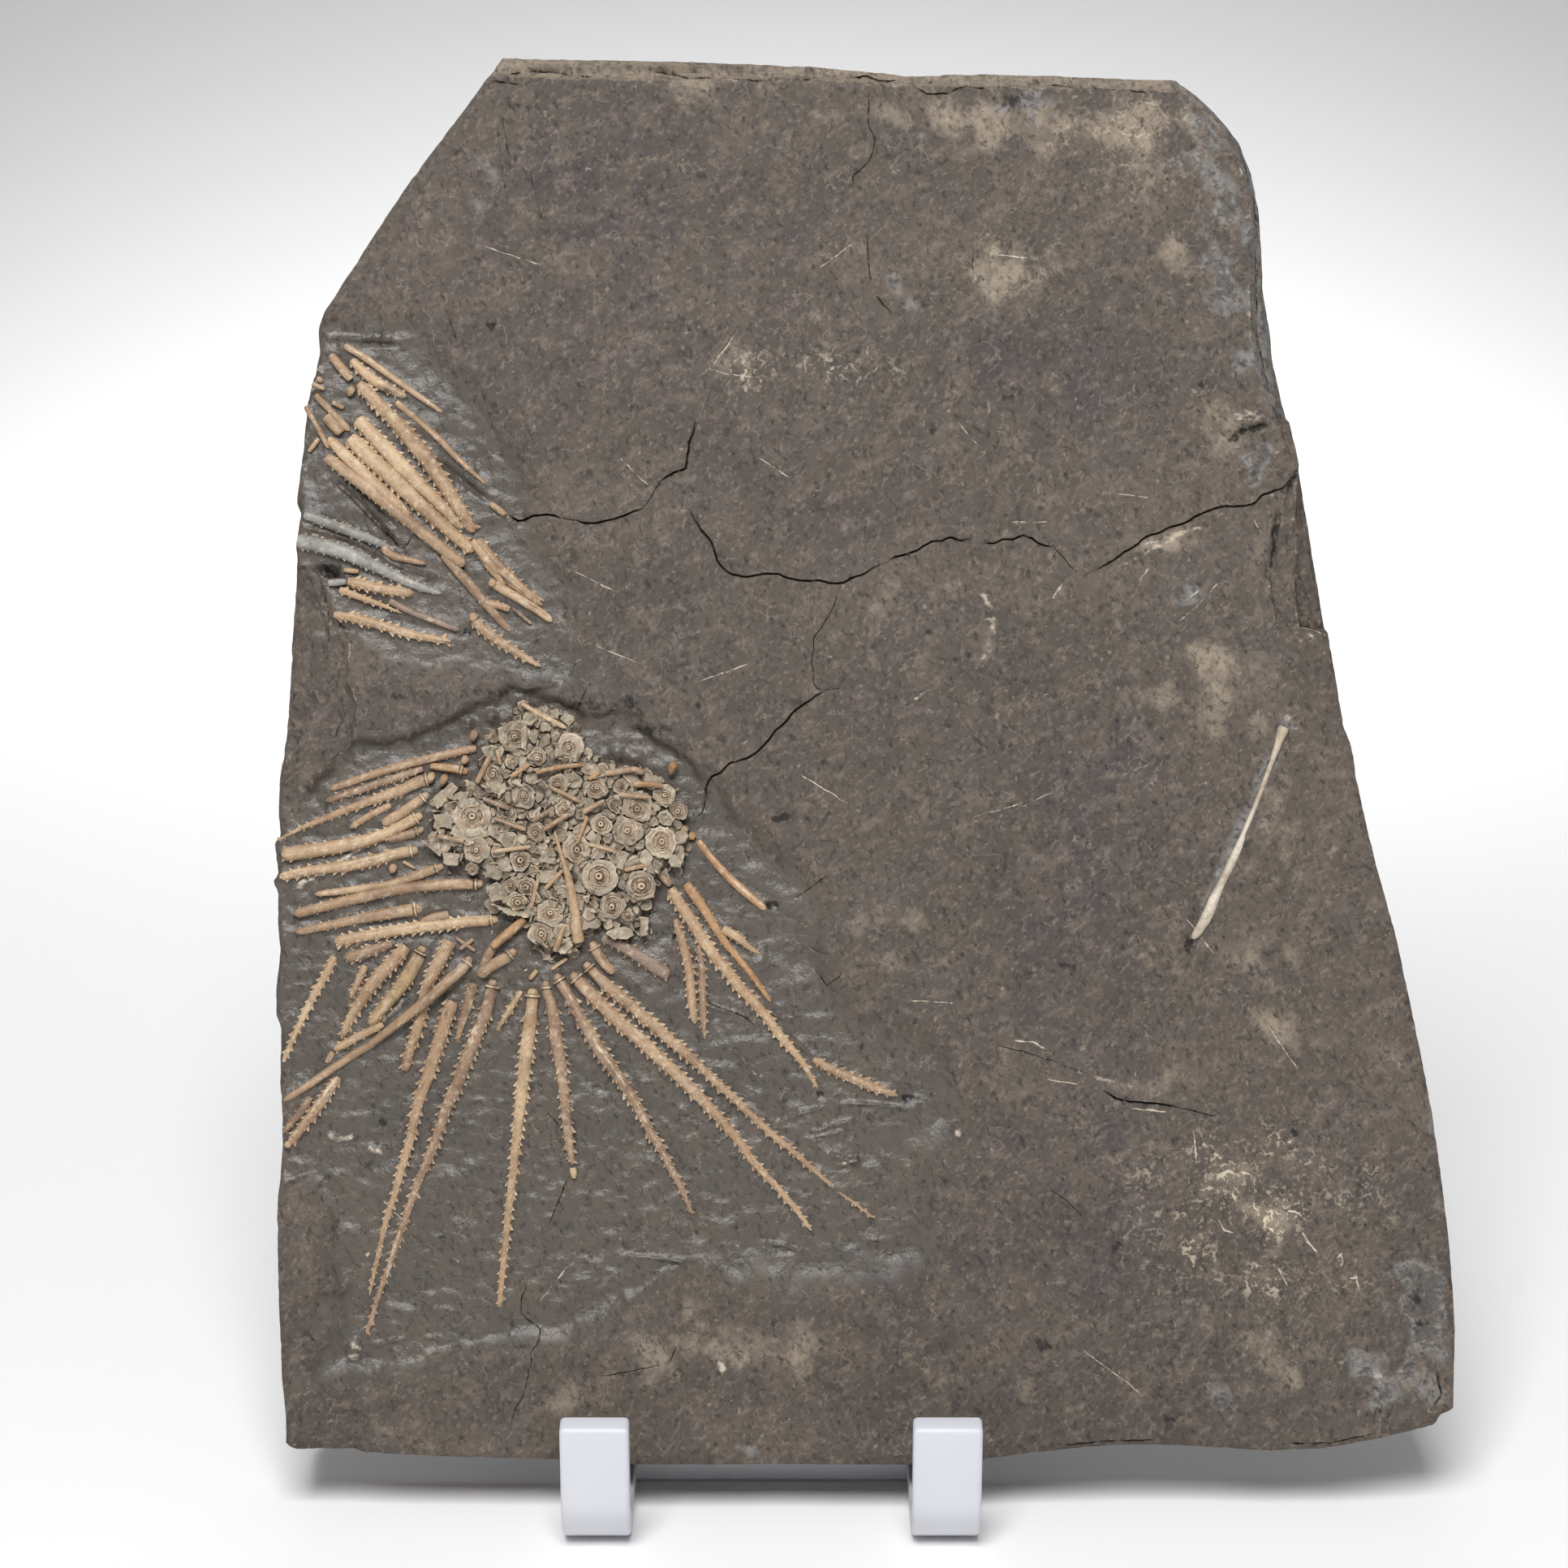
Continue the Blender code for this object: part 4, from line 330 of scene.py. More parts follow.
# ---------------------------------------------------------------- spines
# Each group's depth in mm, then its spines: finish, collar width (0 where broken or buried), thorns' share and
# path, whose points are column, row, width and, where the spine lies over another, its lift in mm.
SPINES = {
    "fan_spine": (MAIN_DEPTH_MM, (
        ("dark", 19, 1, ((607, 1208, 13), (604, 1224, 15), (597, 1249, 15), (586, 1276, 16), (578, 1297, 16),
         (569, 1318, 15), (562, 1338, 15), (550, 1363, 14), (541, 1390, 12), (532, 1415, 11),
         (522, 1440, 10), (514, 1458, 9.5), (508, 1476, 9), (498, 1504, 8.5), (486, 1539, 8), (480, 1558, 7),
         (467, 1592, 6.5), (456, 1629, 6), (450, 1646, 4))),
        ("tan", 0, 1, ((557, 1234, 15), (548, 1259, 16), (541, 1282, 16), (532, 1308, 15), (524, 1333, 14),
         (515, 1358, 13), (509, 1383, 11), (503, 1410, 10), (494, 1441, 9), (485, 1474, 8), (473, 1511, 7.5),
         (465, 1547, 6), (457, 1582, 4), (454, 1598, 2))),
        ("dark", 0, 0.8, ((582, 1212, 13), (575, 1240, 12), (567, 1265, 9), (562, 1286, 4))),
        ("light", 20, 1, ((656, 1219, 13), (655, 1235, 14), (653, 1258, 16), (650, 1281, 16),
         (647, 1304, 16), (644, 1331, 14), (641, 1359, 13), (638, 1384, 12), (635, 1411, 10.5),
         (631, 1451, 9), (626, 1492, 8.5), (622, 1533, 8), (618, 1574, 7), (616, 1594, 6.5),
         (615, 1613, 6))),
        ("dark", 13, 1, ((672, 1209, 10), (672, 1221, 11), (678, 1235, 13), (682, 1258, 15), (684, 1281, 15),
         (689, 1304, 14.5), (692, 1327, 13.5), (695, 1354, 12), (698, 1384, 11), (701, 1412, 10),
         (705, 1436, 8))),
        ("dark", 18, 1, ((684, 1201, 12), (692, 1214, 13), (702, 1230, 13), (711, 1249, 13),
         (723, 1267, 14.5), (734, 1288, 15), (748, 1308, 14.5), (764, 1331, 13.5), (778, 1352, 12.5),
         (790, 1373, 11), (801, 1396, 10.5), (815, 1418, 10), (826, 1441, 9), (838, 1462, 8), (845, 1478, 6),
         (853, 1498, 4))),
        ("tan", 20, 1, ((704, 1200, 14), (718, 1216, 15), (732, 1230, 15), (751, 1249, 16), (771, 1267, 16),
         (790, 1283, 16), (808, 1301, 15), (826, 1317, 15), (845, 1336, 14), (863, 1354, 13),
         (881, 1373, 12), (897, 1391, 11), (914, 1412, 10), (926, 1431, 9.5), (955, 1461, 8.5),
         (980, 1490, 7), (1000, 1518, 4))),
        ("tan", 17, 1, ((720, 1187, 12), (734, 1203, 13), (744, 1212, 14), (767, 1232, 14),
         (790, 1251, 13.5), (808, 1267, 13.5), (826, 1283, 12.5), (847, 1301, 11), (865, 1317, 10),
         (886, 1338, 10), (904, 1354, 9.5), (920, 1370, 9), (955, 1402, 8), (984, 1426, 7),
         (1012, 1451, 5.5), (1041, 1475, 4.5), (1061, 1490, 3.5), (1078, 1503, 2))),
        ("tan", 16, 0.05, ((579, 1180, 13, 0.5), (569, 1195, 13, 1.2), (550, 1211, 13, 1.8),
         (530, 1229, 12.5, 1.8), (509, 1246, 11.5, 1.8), (491, 1260, 10.5, 1.2), (472, 1275, 10, 0.4),
         (454, 1289, 9.5, 0), (433, 1301, 9.5, 0), (417, 1312, 9.5, 0), (399, 1324, 9.5, 0),
         (376, 1340, 9, 0), (355, 1353, 8, 0), (348, 1357, 6, 0))),
        ("tan", 15, 0.1, ((634, 1171, 12), (624, 1180, 13), (605, 1190, 13.5), (588, 1203, 14))),
        ("ochre", 17, 0.9, ((521, 1167, 13), (514, 1181, 16), (502, 1202, 17), (488, 1223, 16),
         (472, 1241, 15), (461, 1255, 14), (454, 1263, 12))),
        ("light", 0, 0.7, ((471, 1263, 8), (455, 1271, 9.5), (440, 1278, 10), (425, 1287, 10),
         (410, 1294, 10))),
        ("tan", 0, 1, ((500, 1167, 14), (488, 1180, 16), (472, 1196, 16), (456, 1216, 15), (445, 1232, 14),
         (433, 1250, 12), (425, 1268, 9), (419, 1281, 5))),
        ("light", 0, 1, ((411, 1179, 9), (401, 1200, 9), (385, 1227, 8), (374, 1250, 8), (364, 1271, 7),
         (355, 1291, 6), (347, 1310, 5))),
        ("tan", 0, 1, ((554, 1160, 16), (544, 1179, 17), (534, 1200, 17), (525, 1218, 15), (519, 1243, 13),
         (514, 1268, 12), (507, 1287, 12), (501, 1305, 11.5), (499, 1321, 10))),
        ("tan", 0, 1, ((416, 1328, 9), (406, 1342, 11), (392, 1363, 12), (376, 1383, 11), (362, 1402, 11),
         (354, 1410, 10))),
        ("dark", 0, 0.6, ((382, 1353, 8), (369, 1371, 9), (357, 1385, 8), (348, 1397, 7))),
        ("light", 0, 0.8, ((642, 1222, 7), (631, 1239, 8), (621, 1255, 7), (611, 1271, 4))),
        ("tan", 16, 0.4, ((728, 1161, 12), (737, 1178, 12), (746, 1190, 11.5), (755, 1200, 8))),
        ("purple", 0, 0.8, ((742, 1155, 11), (762, 1164, 13), (785, 1177, 14.5), (803, 1189, 15.5),
         (815, 1197, 16), (825, 1202, 15))),
    )),
    "right_spine": (MAIN_DEPTH_MM, (
        ("light", 0, 0.9, ((826, 1095, 13), (837, 1114, 14), (853, 1137, 14), (867, 1160, 13.5),
         (881, 1180, 13.5), (895, 1196, 13.5), (909, 1215, 12.5), (927, 1233, 12), (945, 1254, 11),
         (961, 1277, 10.5), (975, 1293, 9), (991, 1313, 8), (1008, 1343, 4))),
        ("orange", 0, 0.5, ((845, 1089, 12), (858, 1107, 12), (872, 1128, 11), (881, 1144, 10),
         (895, 1164, 9), (913, 1185, 8), (931, 1208, 7.5), (949, 1235, 5))),
        ("light", 0, 0.6, ((890, 1145, 11), (909, 1155, 10.5), (922, 1167, 8), (938, 1177, 4))),
        ("tan", 0, 0.8, ((832, 1133, 8), (837, 1150, 9.5), (843, 1171, 10.5), (849, 1194, 11),
         (851, 1219, 11), (853, 1242, 10.5), (856, 1262, 8))),
        ("dark", 0, 0.9, ((860, 1166, 7), (864, 1189, 8), (865, 1213, 8.5), (866, 1245, 8.5),
         (868, 1281, 4))),
        ("orange", 0, 0.1, ((860, 1036, 8), (876, 1057, 9), (899, 1083, 10), (918, 1100, 10),
         (944, 1121, 8))),
        ("tan", 0, 1, ((1002, 1306, 8), (1024, 1318, 10), (1049, 1329, 11.5), (1073, 1339, 11.5),
         (1106, 1351, 6))),
    )),
    "left_spine": (MAIN_DEPTH_MM, (
        ("tan", 0, 0.5, ((586, 922, 10), (560, 927, 10), (537, 932, 10), (502, 941, 10), (464, 952, 9.5),
         (435, 962, 9), (404, 973, 7))),
        ("dark", 0, 0.8, ((520, 947, 8), (495, 956, 9), (464, 966, 9), (433, 976, 9), (400, 987, 7))),
        ("orange", 14, 0, ((576, 951, 11), (565, 948, 10.5), (548, 946, 10), (529, 944, 8))),
        ("tan", 17, 0.8, ((533, 959, 15), (514, 963, 14), (495, 973, 13), (475, 980, 12), (452, 988, 10.5),
         (429, 996, 9), (407, 1005, 8), (384, 1015, 7), (368, 1021, 6), (353, 1029, 4), (340, 1036, 3))),
        ("tan", 15, 0.1, ((527, 978, 13), (514, 988, 13), (498, 999, 12.5), (483, 1008, 12),
         (470, 1016, 11))),
        ("light", 16, 0.8, ((519, 1004, 14), (495, 1017, 13), (475, 1027, 13), (445, 1037, 15.5),
         (407, 1045, 16.5), (368, 1050, 17), (345, 1053, 16))),
        ("tan", 0, 0.5, ((480, 992, 8), (464, 1000, 8), (452, 1006, 8.5), (430, 1020, 7))),
        ("dark", 13, 0.2, ((521, 1022, 11), (510, 1026, 11), (495, 1031, 11), (477, 1034, 10))),
        ("light", 16, 0.9, ((514, 1047, 13), (483, 1053, 13), (464, 1059, 13.5), (445, 1063, 13.5),
         (426, 1068, 13), (393, 1071, 11.5), (368, 1075, 11.5), (343, 1081, 11))),
        ("light", 13, 0.5, ((545, 1067, 11), (531, 1072, 11), (514, 1079, 11), (491, 1087, 10),
         (470, 1092, 9.5), (445, 1095, 9), (416, 1099, 8.5), (387, 1102, 7))),
        ("tan", 16, 0.5, ((594, 1089, 13), (569, 1089, 12.5), (540, 1091, 12.5), (512, 1093, 13),
         (491, 1095, 13), (472, 1099, 13), (445, 1106, 12.5), (407, 1115, 12), (378, 1122, 11.5),
         (361, 1127, 11))),
        ("tan", 18, 0.6, ((519, 1119, 15), (509, 1121, 15), (493, 1123, 14), (464, 1128, 13),
         (435, 1134, 11.5), (407, 1140, 10.5), (363, 1149, 8.5))),
        ("light", 15, 1, ((613, 1133, 13), (600, 1135, 13), (579, 1136, 13), (550, 1139, 13),
         (521, 1142, 13), (493, 1146, 13), (464, 1151, 13), (435, 1156, 12.5), (411, 1161, 12))),
        ("dark", 0, 1, ((482, 1164, 10), (464, 1169, 12), (445, 1176, 13.5), (423, 1181, 14))),
    )),
    "cluster_spine": (CLUSTER_DEPTH_MM, (
        ("tan", 0, 0.2, ((424, 425, 8), (455, 444, 8.5), (489, 469, 8), (519, 490, 7), (544, 507, 5))),
        ("light", 0, 0.7, ((433, 443, 10), (446, 457, 12), (464, 471, 12), (482, 480, 11), (500, 488, 8))),
        ("tan", 0, 0.4, ((488, 495, 8), (514, 517, 8), (540, 540, 8), (560, 561, 7), (579, 579, 6),
         (597, 595, 3))),
        ("tan", 0, 1, ((442, 472, 12), (459, 490, 15), (478, 510, 16), (496, 529, 18), (512, 549, 19),
         (531, 572, 19), (547, 597, 17), (560, 618, 16), (574, 639, 14), (583, 656, 12))),
        ("tan", 0, 0.8, ((588, 665, 12), (604, 687, 12), (620, 701, 10.5), (636, 717, 9.5), (652, 731, 7),
         (670, 740, 3))),
        ("light", 0, 0.9, ((441, 516, 16), (457, 534, 18), (475, 553, 18.5), (494, 573, 18.5),
         (514, 594, 18), (534, 614, 16), (553, 634, 13), (566, 650, 9))),
        ("light", 0, 1, ((431, 539, 17), (448, 556, 19), (468, 575, 19), (493, 598, 18.5), (516, 620, 18),
         (538, 640, 16.5), (560, 660, 15), (583, 679, 12))),
        ("light", 0, 0.5, ((405, 541, 11), (424, 560, 14), (446, 581, 15), (468, 602, 14), (490, 622, 12),
         (505, 636, 8))),
        ("tan", 0, 0.6, ((402, 563, 13), (432, 586, 14), (462, 609, 14), (489, 631, 14), (519, 655, 14),
         (540, 672, 14), (558, 686, 13.5), (572, 696, 13))),
        ("light", 0, 0.1, ((608, 719, 11), (622, 727, 11), (643, 740, 10.5), (661, 751, 10), (680, 765, 8))),
        ("tan", 0, 0.9, ((583, 764, 10), (597, 777, 12), (612, 788, 12), (640, 806, 9), (655, 815, 7),
         (666, 821, 4))),
        ("light", 0, 1, ((428, 716, 11), (443, 719, 11.5), (459, 723, 11.5), (478, 727, 11), (501, 730, 11),
         (509, 731, 10))),
        ("purple", 0, 0.2, ((480, 740, 8), (496, 749, 8), (519, 759, 8), (542, 767, 8), (566, 776, 7))),
        ("light", 0, 1, ((411, 757, 9), (432, 760, 10), (455, 766, 11), (478, 773, 10.5), (501, 780, 10),
         (524, 785, 9), (555, 790, 8))),
        ("grey", 0, 0.7, ((366, 666, 18), (397, 672, 17), (427, 681, 16), (450, 692, 15), (478, 705, 13),
         (501, 717, 11), (524, 725, 9), (543, 731, 6))),
    )),
    "lone_spine": (LONE_DEPTH_MM, (
        ("pale", 0, 0.1, ((1583, 896, 14), (1580, 903, 13), (1576, 915, 9), (1567, 940, 6), (1556, 970, 5.5),
         (1546, 996, 5.5), (1534, 1025, 6.5), (1526, 1045, 9), (1515, 1070, 10), (1505, 1090, 9),
         (1497, 1106, 12), (1487, 1130, 13), (1477, 1147, 11), (1470, 1157, 8))),
    )),
}  # fmt: skip

# Broken bits of spine with no body of their own: finish, thorns' share, depth in mm, path.
FRAGMENTS = (
    ("dark", 0.3, 2.3, ((606, 1168, 11), (599, 1180, 11), (592, 1195, 10))),
    ("tan", 0.5, 2.3, ((409, 1297, 8), (401, 1310, 7))),
    ("tan", 0.7, 2.3, ((449, 1190, 10), (440, 1210, 9), (431, 1230, 7))),
    ("light", 0, 2.0, ((698, 1181, 5), (679, 1195, 5))), ("ochre", 0, 2.0, ((661, 1196, 6), (652, 1207, 6))),
    ("tan", 0, 2.1, ((814, 1079, 9), (826, 1091, 9))), ("light", 0, 2.1, ((705, 1440, 9), (707, 1453, 6))),
    ("dark", 0.3, 1.5, ((545, 684, 9), (566, 706, 11), (583, 725, 12), (598, 744, 11), (613, 761, 10),
     (628, 777, 8))),
    ("grey", 0.7, 1.3, ((374, 634, 9), (400, 643, 12), (432, 655, 12), (466, 668, 9), (486, 678, 5))),
    ("tan", 0.5, 1.3, ((600, 690, 9), (622, 712, 11), (646, 730, 9), (668, 746, 4))),
    ("light", 0.4, 1.3, ((586, 672, 10), (604, 700, 11), (622, 720, 9))),
    ("tan", 0.6, 1.3, ((590, 740, 8), (610, 745, 9), (628, 750, 8))),
    ("tan", 0, 1.2, ((602, 741, 7), (627, 752, 6))), ("dark", 0, 1.2, ((632, 750, 4), (654, 768, 4))),
    ("light", 0.8, 1.3, ((418, 726, 8), (439, 734, 8), (464, 743, 6), (494, 755, 2))),
    ("tan", 0.2, 1.2, ((471, 674, 10), (482, 684, 10), (501, 689, 8), (524, 694, 6))),
    ("tan", 0, 1.2, ((402, 512, 15), (420, 533, 14))), ("tan", 0, 1.3, ((604, 620, 8), (622, 634, 8))),
    ("tan", 0, 1.2, ((423, 702, 6), (441, 704, 6))),
    ("tan", 0.6, 1.2, ((407, 437, 10), (420, 453, 11), (432, 467, 10))),
    ("light", 0.3, 0.8, ((582, 666, 10), (597, 686, 11), (613, 706, 8))),
    ("grey", 0, 1.2, ((404, 718, 8), (426, 716, 8))), ("tan", 0, 1.2, ((409, 495, 6), (423, 502, 6))),
    ("dark", 0, 2.2, ((561, 1156, 5), (584, 1172, 5))), ("tan", 0, 2.2, ((566, 1170, 5), (582, 1158, 5))),
    ("light", 0, 1.1, ((384, 472, 5), (399, 479, 5))),
    ("dark", 0.3, 2.3, ((552, 1127, 10), (534, 1131, 11), (517, 1137, 9))),
    ("light", 0, 2.1, ((496, 1062, 4), (510, 1070, 4))),
    ("tan", 0, 1.3, ((376, 500, 6), (392, 528, 7), (404, 552, 6))),
    ("tan", 0.2, 1.3, ((388, 486, 8), (412, 512, 9), (430, 530, 8))),
    ("light", 0, 1.2, ((392, 540, 6), (380, 556, 5))),
)  # fmt: skip

# Detached spine heads and bosses: finish, depth in mm, column, row, width.
HEADS = (
    ("dark", 1.6, 583, 906, 18), ("tan", 1.3, 606, 907, 17), ("light", 1.6, 572, 936, 12),
    ("tan", 1.5, 546, 961, 17), ("light", 1.8, 483, 1070, 13), ("orange", 1.4, 828, 946, 20),
    ("tan", 1.6, 843, 1022, 12), ("orange", 1.7, 852, 1030, 11), ("light", 0.6, 606, 718, 12),
    ("light", 0.8, 583, 760, 12), ("light", 1.0, 407, 542, 10), ("tan", 0.9, 432, 481, 15),
    ("light", 1.5, 530, 958, 15), ("light", 2.0, 353, 1411, 9), ("tan", 1.0, 393, 467, 8),
    ("tan", 1.6, 563, 1000, 9),
)  # fmt: skip

# ---------------------------------------------------------------- the crushed test
TEST_OUTLINE = (
    (596, 908), (618, 889), (645, 864), (672, 872), (704, 888), (722, 918), (744, 938), (797, 945),
    (826, 972), (836, 998), (838, 1016), (850, 1036), (846, 1066), (818, 1080), (806, 1104), (792, 1134),
    (778, 1150), (742, 1144), (722, 1152), (708, 1176), (672, 1184), (656, 1166), (650, 1140), (634, 1126),
    (606, 1118), (606, 1076), (562, 1060), (530, 1046), (528, 1034), (532, 988), (552, 968), (590, 962),
    (592, 930),
)  # fmt: skip

# Plates with a tubercle: column, row, plate radius, boss radius, tilts in degrees, rise in mm.
RINGED_PLATES = (
    (582, 1006, 24, 9.5, 6, -5, 0.55), (588, 1047, 17, 6.5, -8, 5, 0.35), (634, 907, 19, 6.5, 7, 6, 0.3),
    (701, 921, 18, 6, -6, 4, 0.4), (662, 934, 12, 6, 9, 9, 0.45), (735, 971, 15, 6, 8, -6, 0.4),
    (645, 981, 16, 6, -7, -8, 0.3), (785, 996, 20, 7.5, 6, 5, 0.6), (774, 1023, 20, 8, -8, 6, 0.7),
    (815, 1037, 20, 8.5, 9, -4, 0.5), (711, 1046, 19, 7.5, 5, 8, 0.45), (739, 1080, 23, 10, -5, -5, 0.65),
    (790, 1091, 19, 10, 8, 6, 0.55), (755, 1116, 17, 8, -6, 9, 0.5), (678, 1125, 17, 7, 7, -6, 0.4),
    (661, 1026, 13, 6, -9, 8, 0.35), (641, 1060, 14, 8.5, 9, -5, 0.5), (649, 1092, 13, 8.5, -6, 8, 0.5),
    (638, 1111, 13, 8, 8, 8, 0.45), (742, 1016, 13, 8, -9, -8, 0.75), (608, 954, 13, 7, -8, 7, 0.3),
    (697, 996, 14, 6.5, 8, -9, 0.5), (819, 980, 13, 6, 10, -6, 0.3), (836, 999, 11, 6.5, -12, 6, 0.2),
    (667, 1150, 15, 7.5, 5, 8, 0.2), (765, 968, 10, 5.5, -10, -6, 0.45), (630, 1090, 10, 6, -8, 4, 0.3),
    (688, 966, 12, 5.5, -8, 9, 0.5), (758, 992, 11, 5, 12, 6, 0.6), (631, 939, 10, 5, 6, -12, 0.35),
    (773, 1127, 9, 5, 8, -8, 0.3), (582, 1070, 8, 4.5, -8, 8, 0.0),
)  # fmt: skip

# Broken plates with no tubercle: their corners, tilts in degrees, rise in mm, pale share.
BLANK_PLATES = (
    (((746, 1149), (763, 1142), (779, 1145), (781, 1151), (774, 1158), (755, 1156)), 4, 8, 0.0, 0.9),
    (((532, 984), (558, 964), (566, 972), (540, 996)), 6, -4, 0.2, 0.9),
    (((534, 1003), (559, 1005), (557, 1021), (537, 1019)), -6, 5, 0.3, 0.4),
    (((519, 1036), (543, 1056), (543, 1040)), 5, 9, -0.3, 0.5),
    (((545, 1050), (566, 1052), (564, 1067), (548, 1065)), -5, -8, 0.0, 0.3),
    (((600, 963), (625, 965), (623, 978), (602, 976)), 9, 4, 0.5, 0.5),
    (((666, 1072), (689, 1075), (686, 1089), (663, 1087)), -4, 6, 0.6, 0.4),
    (((602, 1091), (615, 1087), (628, 1095), (625, 1108), (605, 1110)), 6, -6, 0.3, 0.5),
    (((605, 1113), (628, 1121), (653, 1126), (651, 1131), (626, 1127)), 3, 12, 0.4, 0.9),
    (((788, 1129), (800, 1132), (798, 1152), (790, 1154)), 8, -4, -0.3, 0.6),
    (((560, 1017), (576, 1029), (596, 1022), (600, 1030), (576, 1038), (556, 1026)), 4, 12, 0.55, 0.8),
    (((642, 887), (650, 890), (649, 926), (643, 922)), 10, 0, 0.5, 0.9),
    (((714, 938), (738, 944), (734, 957), (716, 952)), -7, -9, 0.4, 0.3),
    (((700, 945), (716, 958), (704, 972), (690, 960)), 11, 5, 0.3, 0.2),
    (((600, 1064), (622, 1070), (616, 1084), (598, 1080)), -10, 7, 0.2, 0.4),
    (((664, 1042), (684, 1046), (686, 1064), (666, 1062)), 8, -7, 0.4, 0.2),
    (((756, 1046), (776, 1052), (768, 1068), (752, 1062)), -9, 8, 0.2, -0.2),
    (((700, 1100), (722, 1104), (718, 1122), (702, 1118)), 5, 10, 0.3, 0.3),
    (((796, 952), (816, 958), (812, 970), (794, 966)), -8, -6, 0.2, 0.3),
    (((660, 872), (684, 884), (676, 898), (656, 888)), 7, 6, 0.1, 0.6),
    (((690, 1160), (706, 1158), (704, 1174), (690, 1176)), -6, 9, 0.0, 0.4),
    (((620, 1030), (646, 1028), (644, 1044), (624, 1046)), 9, 3, 0.2, 0.1),
    (((560, 978), (578, 974), (574, 988), (562, 990)), -12, 4, 0.3, 0.6),
    (((826, 1054), (844, 1050), (840, 1068), (826, 1068)), 6, -9, 0.2, 0.4),
    (((606, 918), (620, 922), (616, 940), (604, 936)), 6, 11, 0.3, 0.5),
    (((716, 982), (734, 986), (730, 1000), (714, 998)), -9, 4, 0.5, 0.3),
    (((796, 1060), (816, 1062), (812, 1076), (798, 1076)), 7, 8, 0.2, 0.5),
    (((680, 1090), (700, 1084), (704, 1098), (686, 1102)), -8, 10, 0.3, 0.2),
    (((712, 1130), (736, 1126), (738, 1142), (716, 1146)), 9, -9, 0.0, 0.4),
)  # fmt: skip

# Rods on the test: finish, height of their middle over the crest in mm, path.
TEST_RODS = (
    ("light", 1.2, ((714, 1161, 14), (711, 1146, 13), (710, 1128, 11.5), (705, 1098, 10), (699, 1075, 7.6),
     (691, 1049, 5), (684, 1024, 3))),
    ("light", 0.2, ((643, 867, 6), (666, 881, 6), (698, 897, 6))),
    ("orange", 1.0, ((661, 952, 5), (689, 945, 5.5), (719, 942, 5))),
    ("tan", 1.1, ((747, 953, 7), (783, 947, 6.5), (792, 952, 9))),
    ("orange", 1.1, ((781, 966, 7), (800, 966, 7.5), (817, 968, 6))),
    ("light", 1.3, ((763, 979, 6), (798, 982, 5.5))), ("tan", 0.9, ((679, 970, 5), (714, 987, 6))),
    ("tan", 1.2, ((671, 1022, 6), (701, 1003, 6))), ("tan", 1.0, ((719, 1001, 6), (745, 987, 6))),
    ("orange", 1.2, ((724, 1006, 4), (712, 1039, 4))), ("light", 1.0, ((607, 1049, 5), (654, 1043, 5))),
    ("orange", 0.9, ((726, 960, 5), (740, 951, 5))), ("tan", 0.7, ((613, 924, 5), (617, 942, 5))),
    ("tan", 0.8, ((610, 1008, 5), (648, 1022, 5.5))), ("orange", 0.9, ((630, 957, 5), (653, 942, 5))),
    ("orange", -1.3, ((646, 1132, 10), (626, 1150, 11), (606, 1167, 10))),
    ("tan", 0.6, ((588, 964, 6), (604, 932, 7))), ("light", 0.9, ((672, 1095, 5), (694, 1072, 5))),
    ("tan", 0.9, ((726, 1040, 5), (756, 1048, 6))), ("tan", 0.8, ((696, 1140, 6), (684, 1172, 7))),
    ("light", 0.8, ((655, 1118, 5), (664, 1082, 4))), ("tan", 0.6, ((770, 1072, 6), (804, 1064, 5))),
    ("dark", 0.7, ((596, 984, 5), (628, 996, 6))), ("dark", 0.8, ((676, 1000, 6), (656, 1012, 5))),
    ("tan", 0.4, ((540, 1030, 6), (572, 1036, 6))),
)  # fmt: skip

# ---------------------------------------------------------------- the easel, in mm
EASEL_WIDTH_MM = 76.2
EASEL_COLUMN = 950.5
HOOK_WIDTH_MM = 12.5
HOOK_CENTRE_MM = -3.9
HOOK_OUTER_RADIUS_MM = 12.6
HOOK_LEAN = math.radians(7.4)
HOOK_LENGTH_MM = 15.3
SHELF_CUT_MM = 16.5
CORNER_RADIUS_MM = 3.4
REST_LENGTH_MM = 104
APEX_RADIUS_MM = 7.0
LEG_ANGLE = math.radians(8)

# ---------------------------------------------------------------- viewpoint
VIEW_MIDDLE = (966, 966)  # grid place that the camera looks at
VIEW_DISTANCE = 0.750
VIEW_SPAN_MM = 1932 * GRID_MM
SENSOR_MM = 36.0


# ---------------------------------------------------------------- settings
class FOSSIL_PG_slab(bpy.types.PropertyGroup):
    """Sizes and colours of the stone."""

    fine: FloatProperty(
        name="Fine mesh", description="Mesh spacing in the cleared hollows, in mm", default=0.6, min=0.3,
    )
    coarse: FloatProperty(
        name="Coarse mesh", description="Mesh spacing on the rest of the face, in mm", default=1.2, min=0.6,
    )
    stone: StringProperty(name="Stone", description="Colour of the split face, sRGB hex", default="514940")
    dark: StringProperty(
        name="Dark stone", description="Colour of the darker mottling, sRGB hex", default="443E39",
    )
    # The pale colour also paints the highlight along the rims' crests.
    pale: StringProperty(name="Pale stone", description="Colour of sandy stains, sRGB hex", default="877A6B")
    blue: StringProperty(
        name="Blue-grey stone", description="Colour of weathered shale, sRGB hex", default="797775",
    )
    purple: StringProperty(
        name="Purple stone", description="Colour of the purple-brown stains, sRGB hex", default="443D3D",
    )
    cleared: StringProperty(
        name="Cleared stone", description="Colour of the stone that tools have cleared, sRGB hex",
        default="56514A",
    )


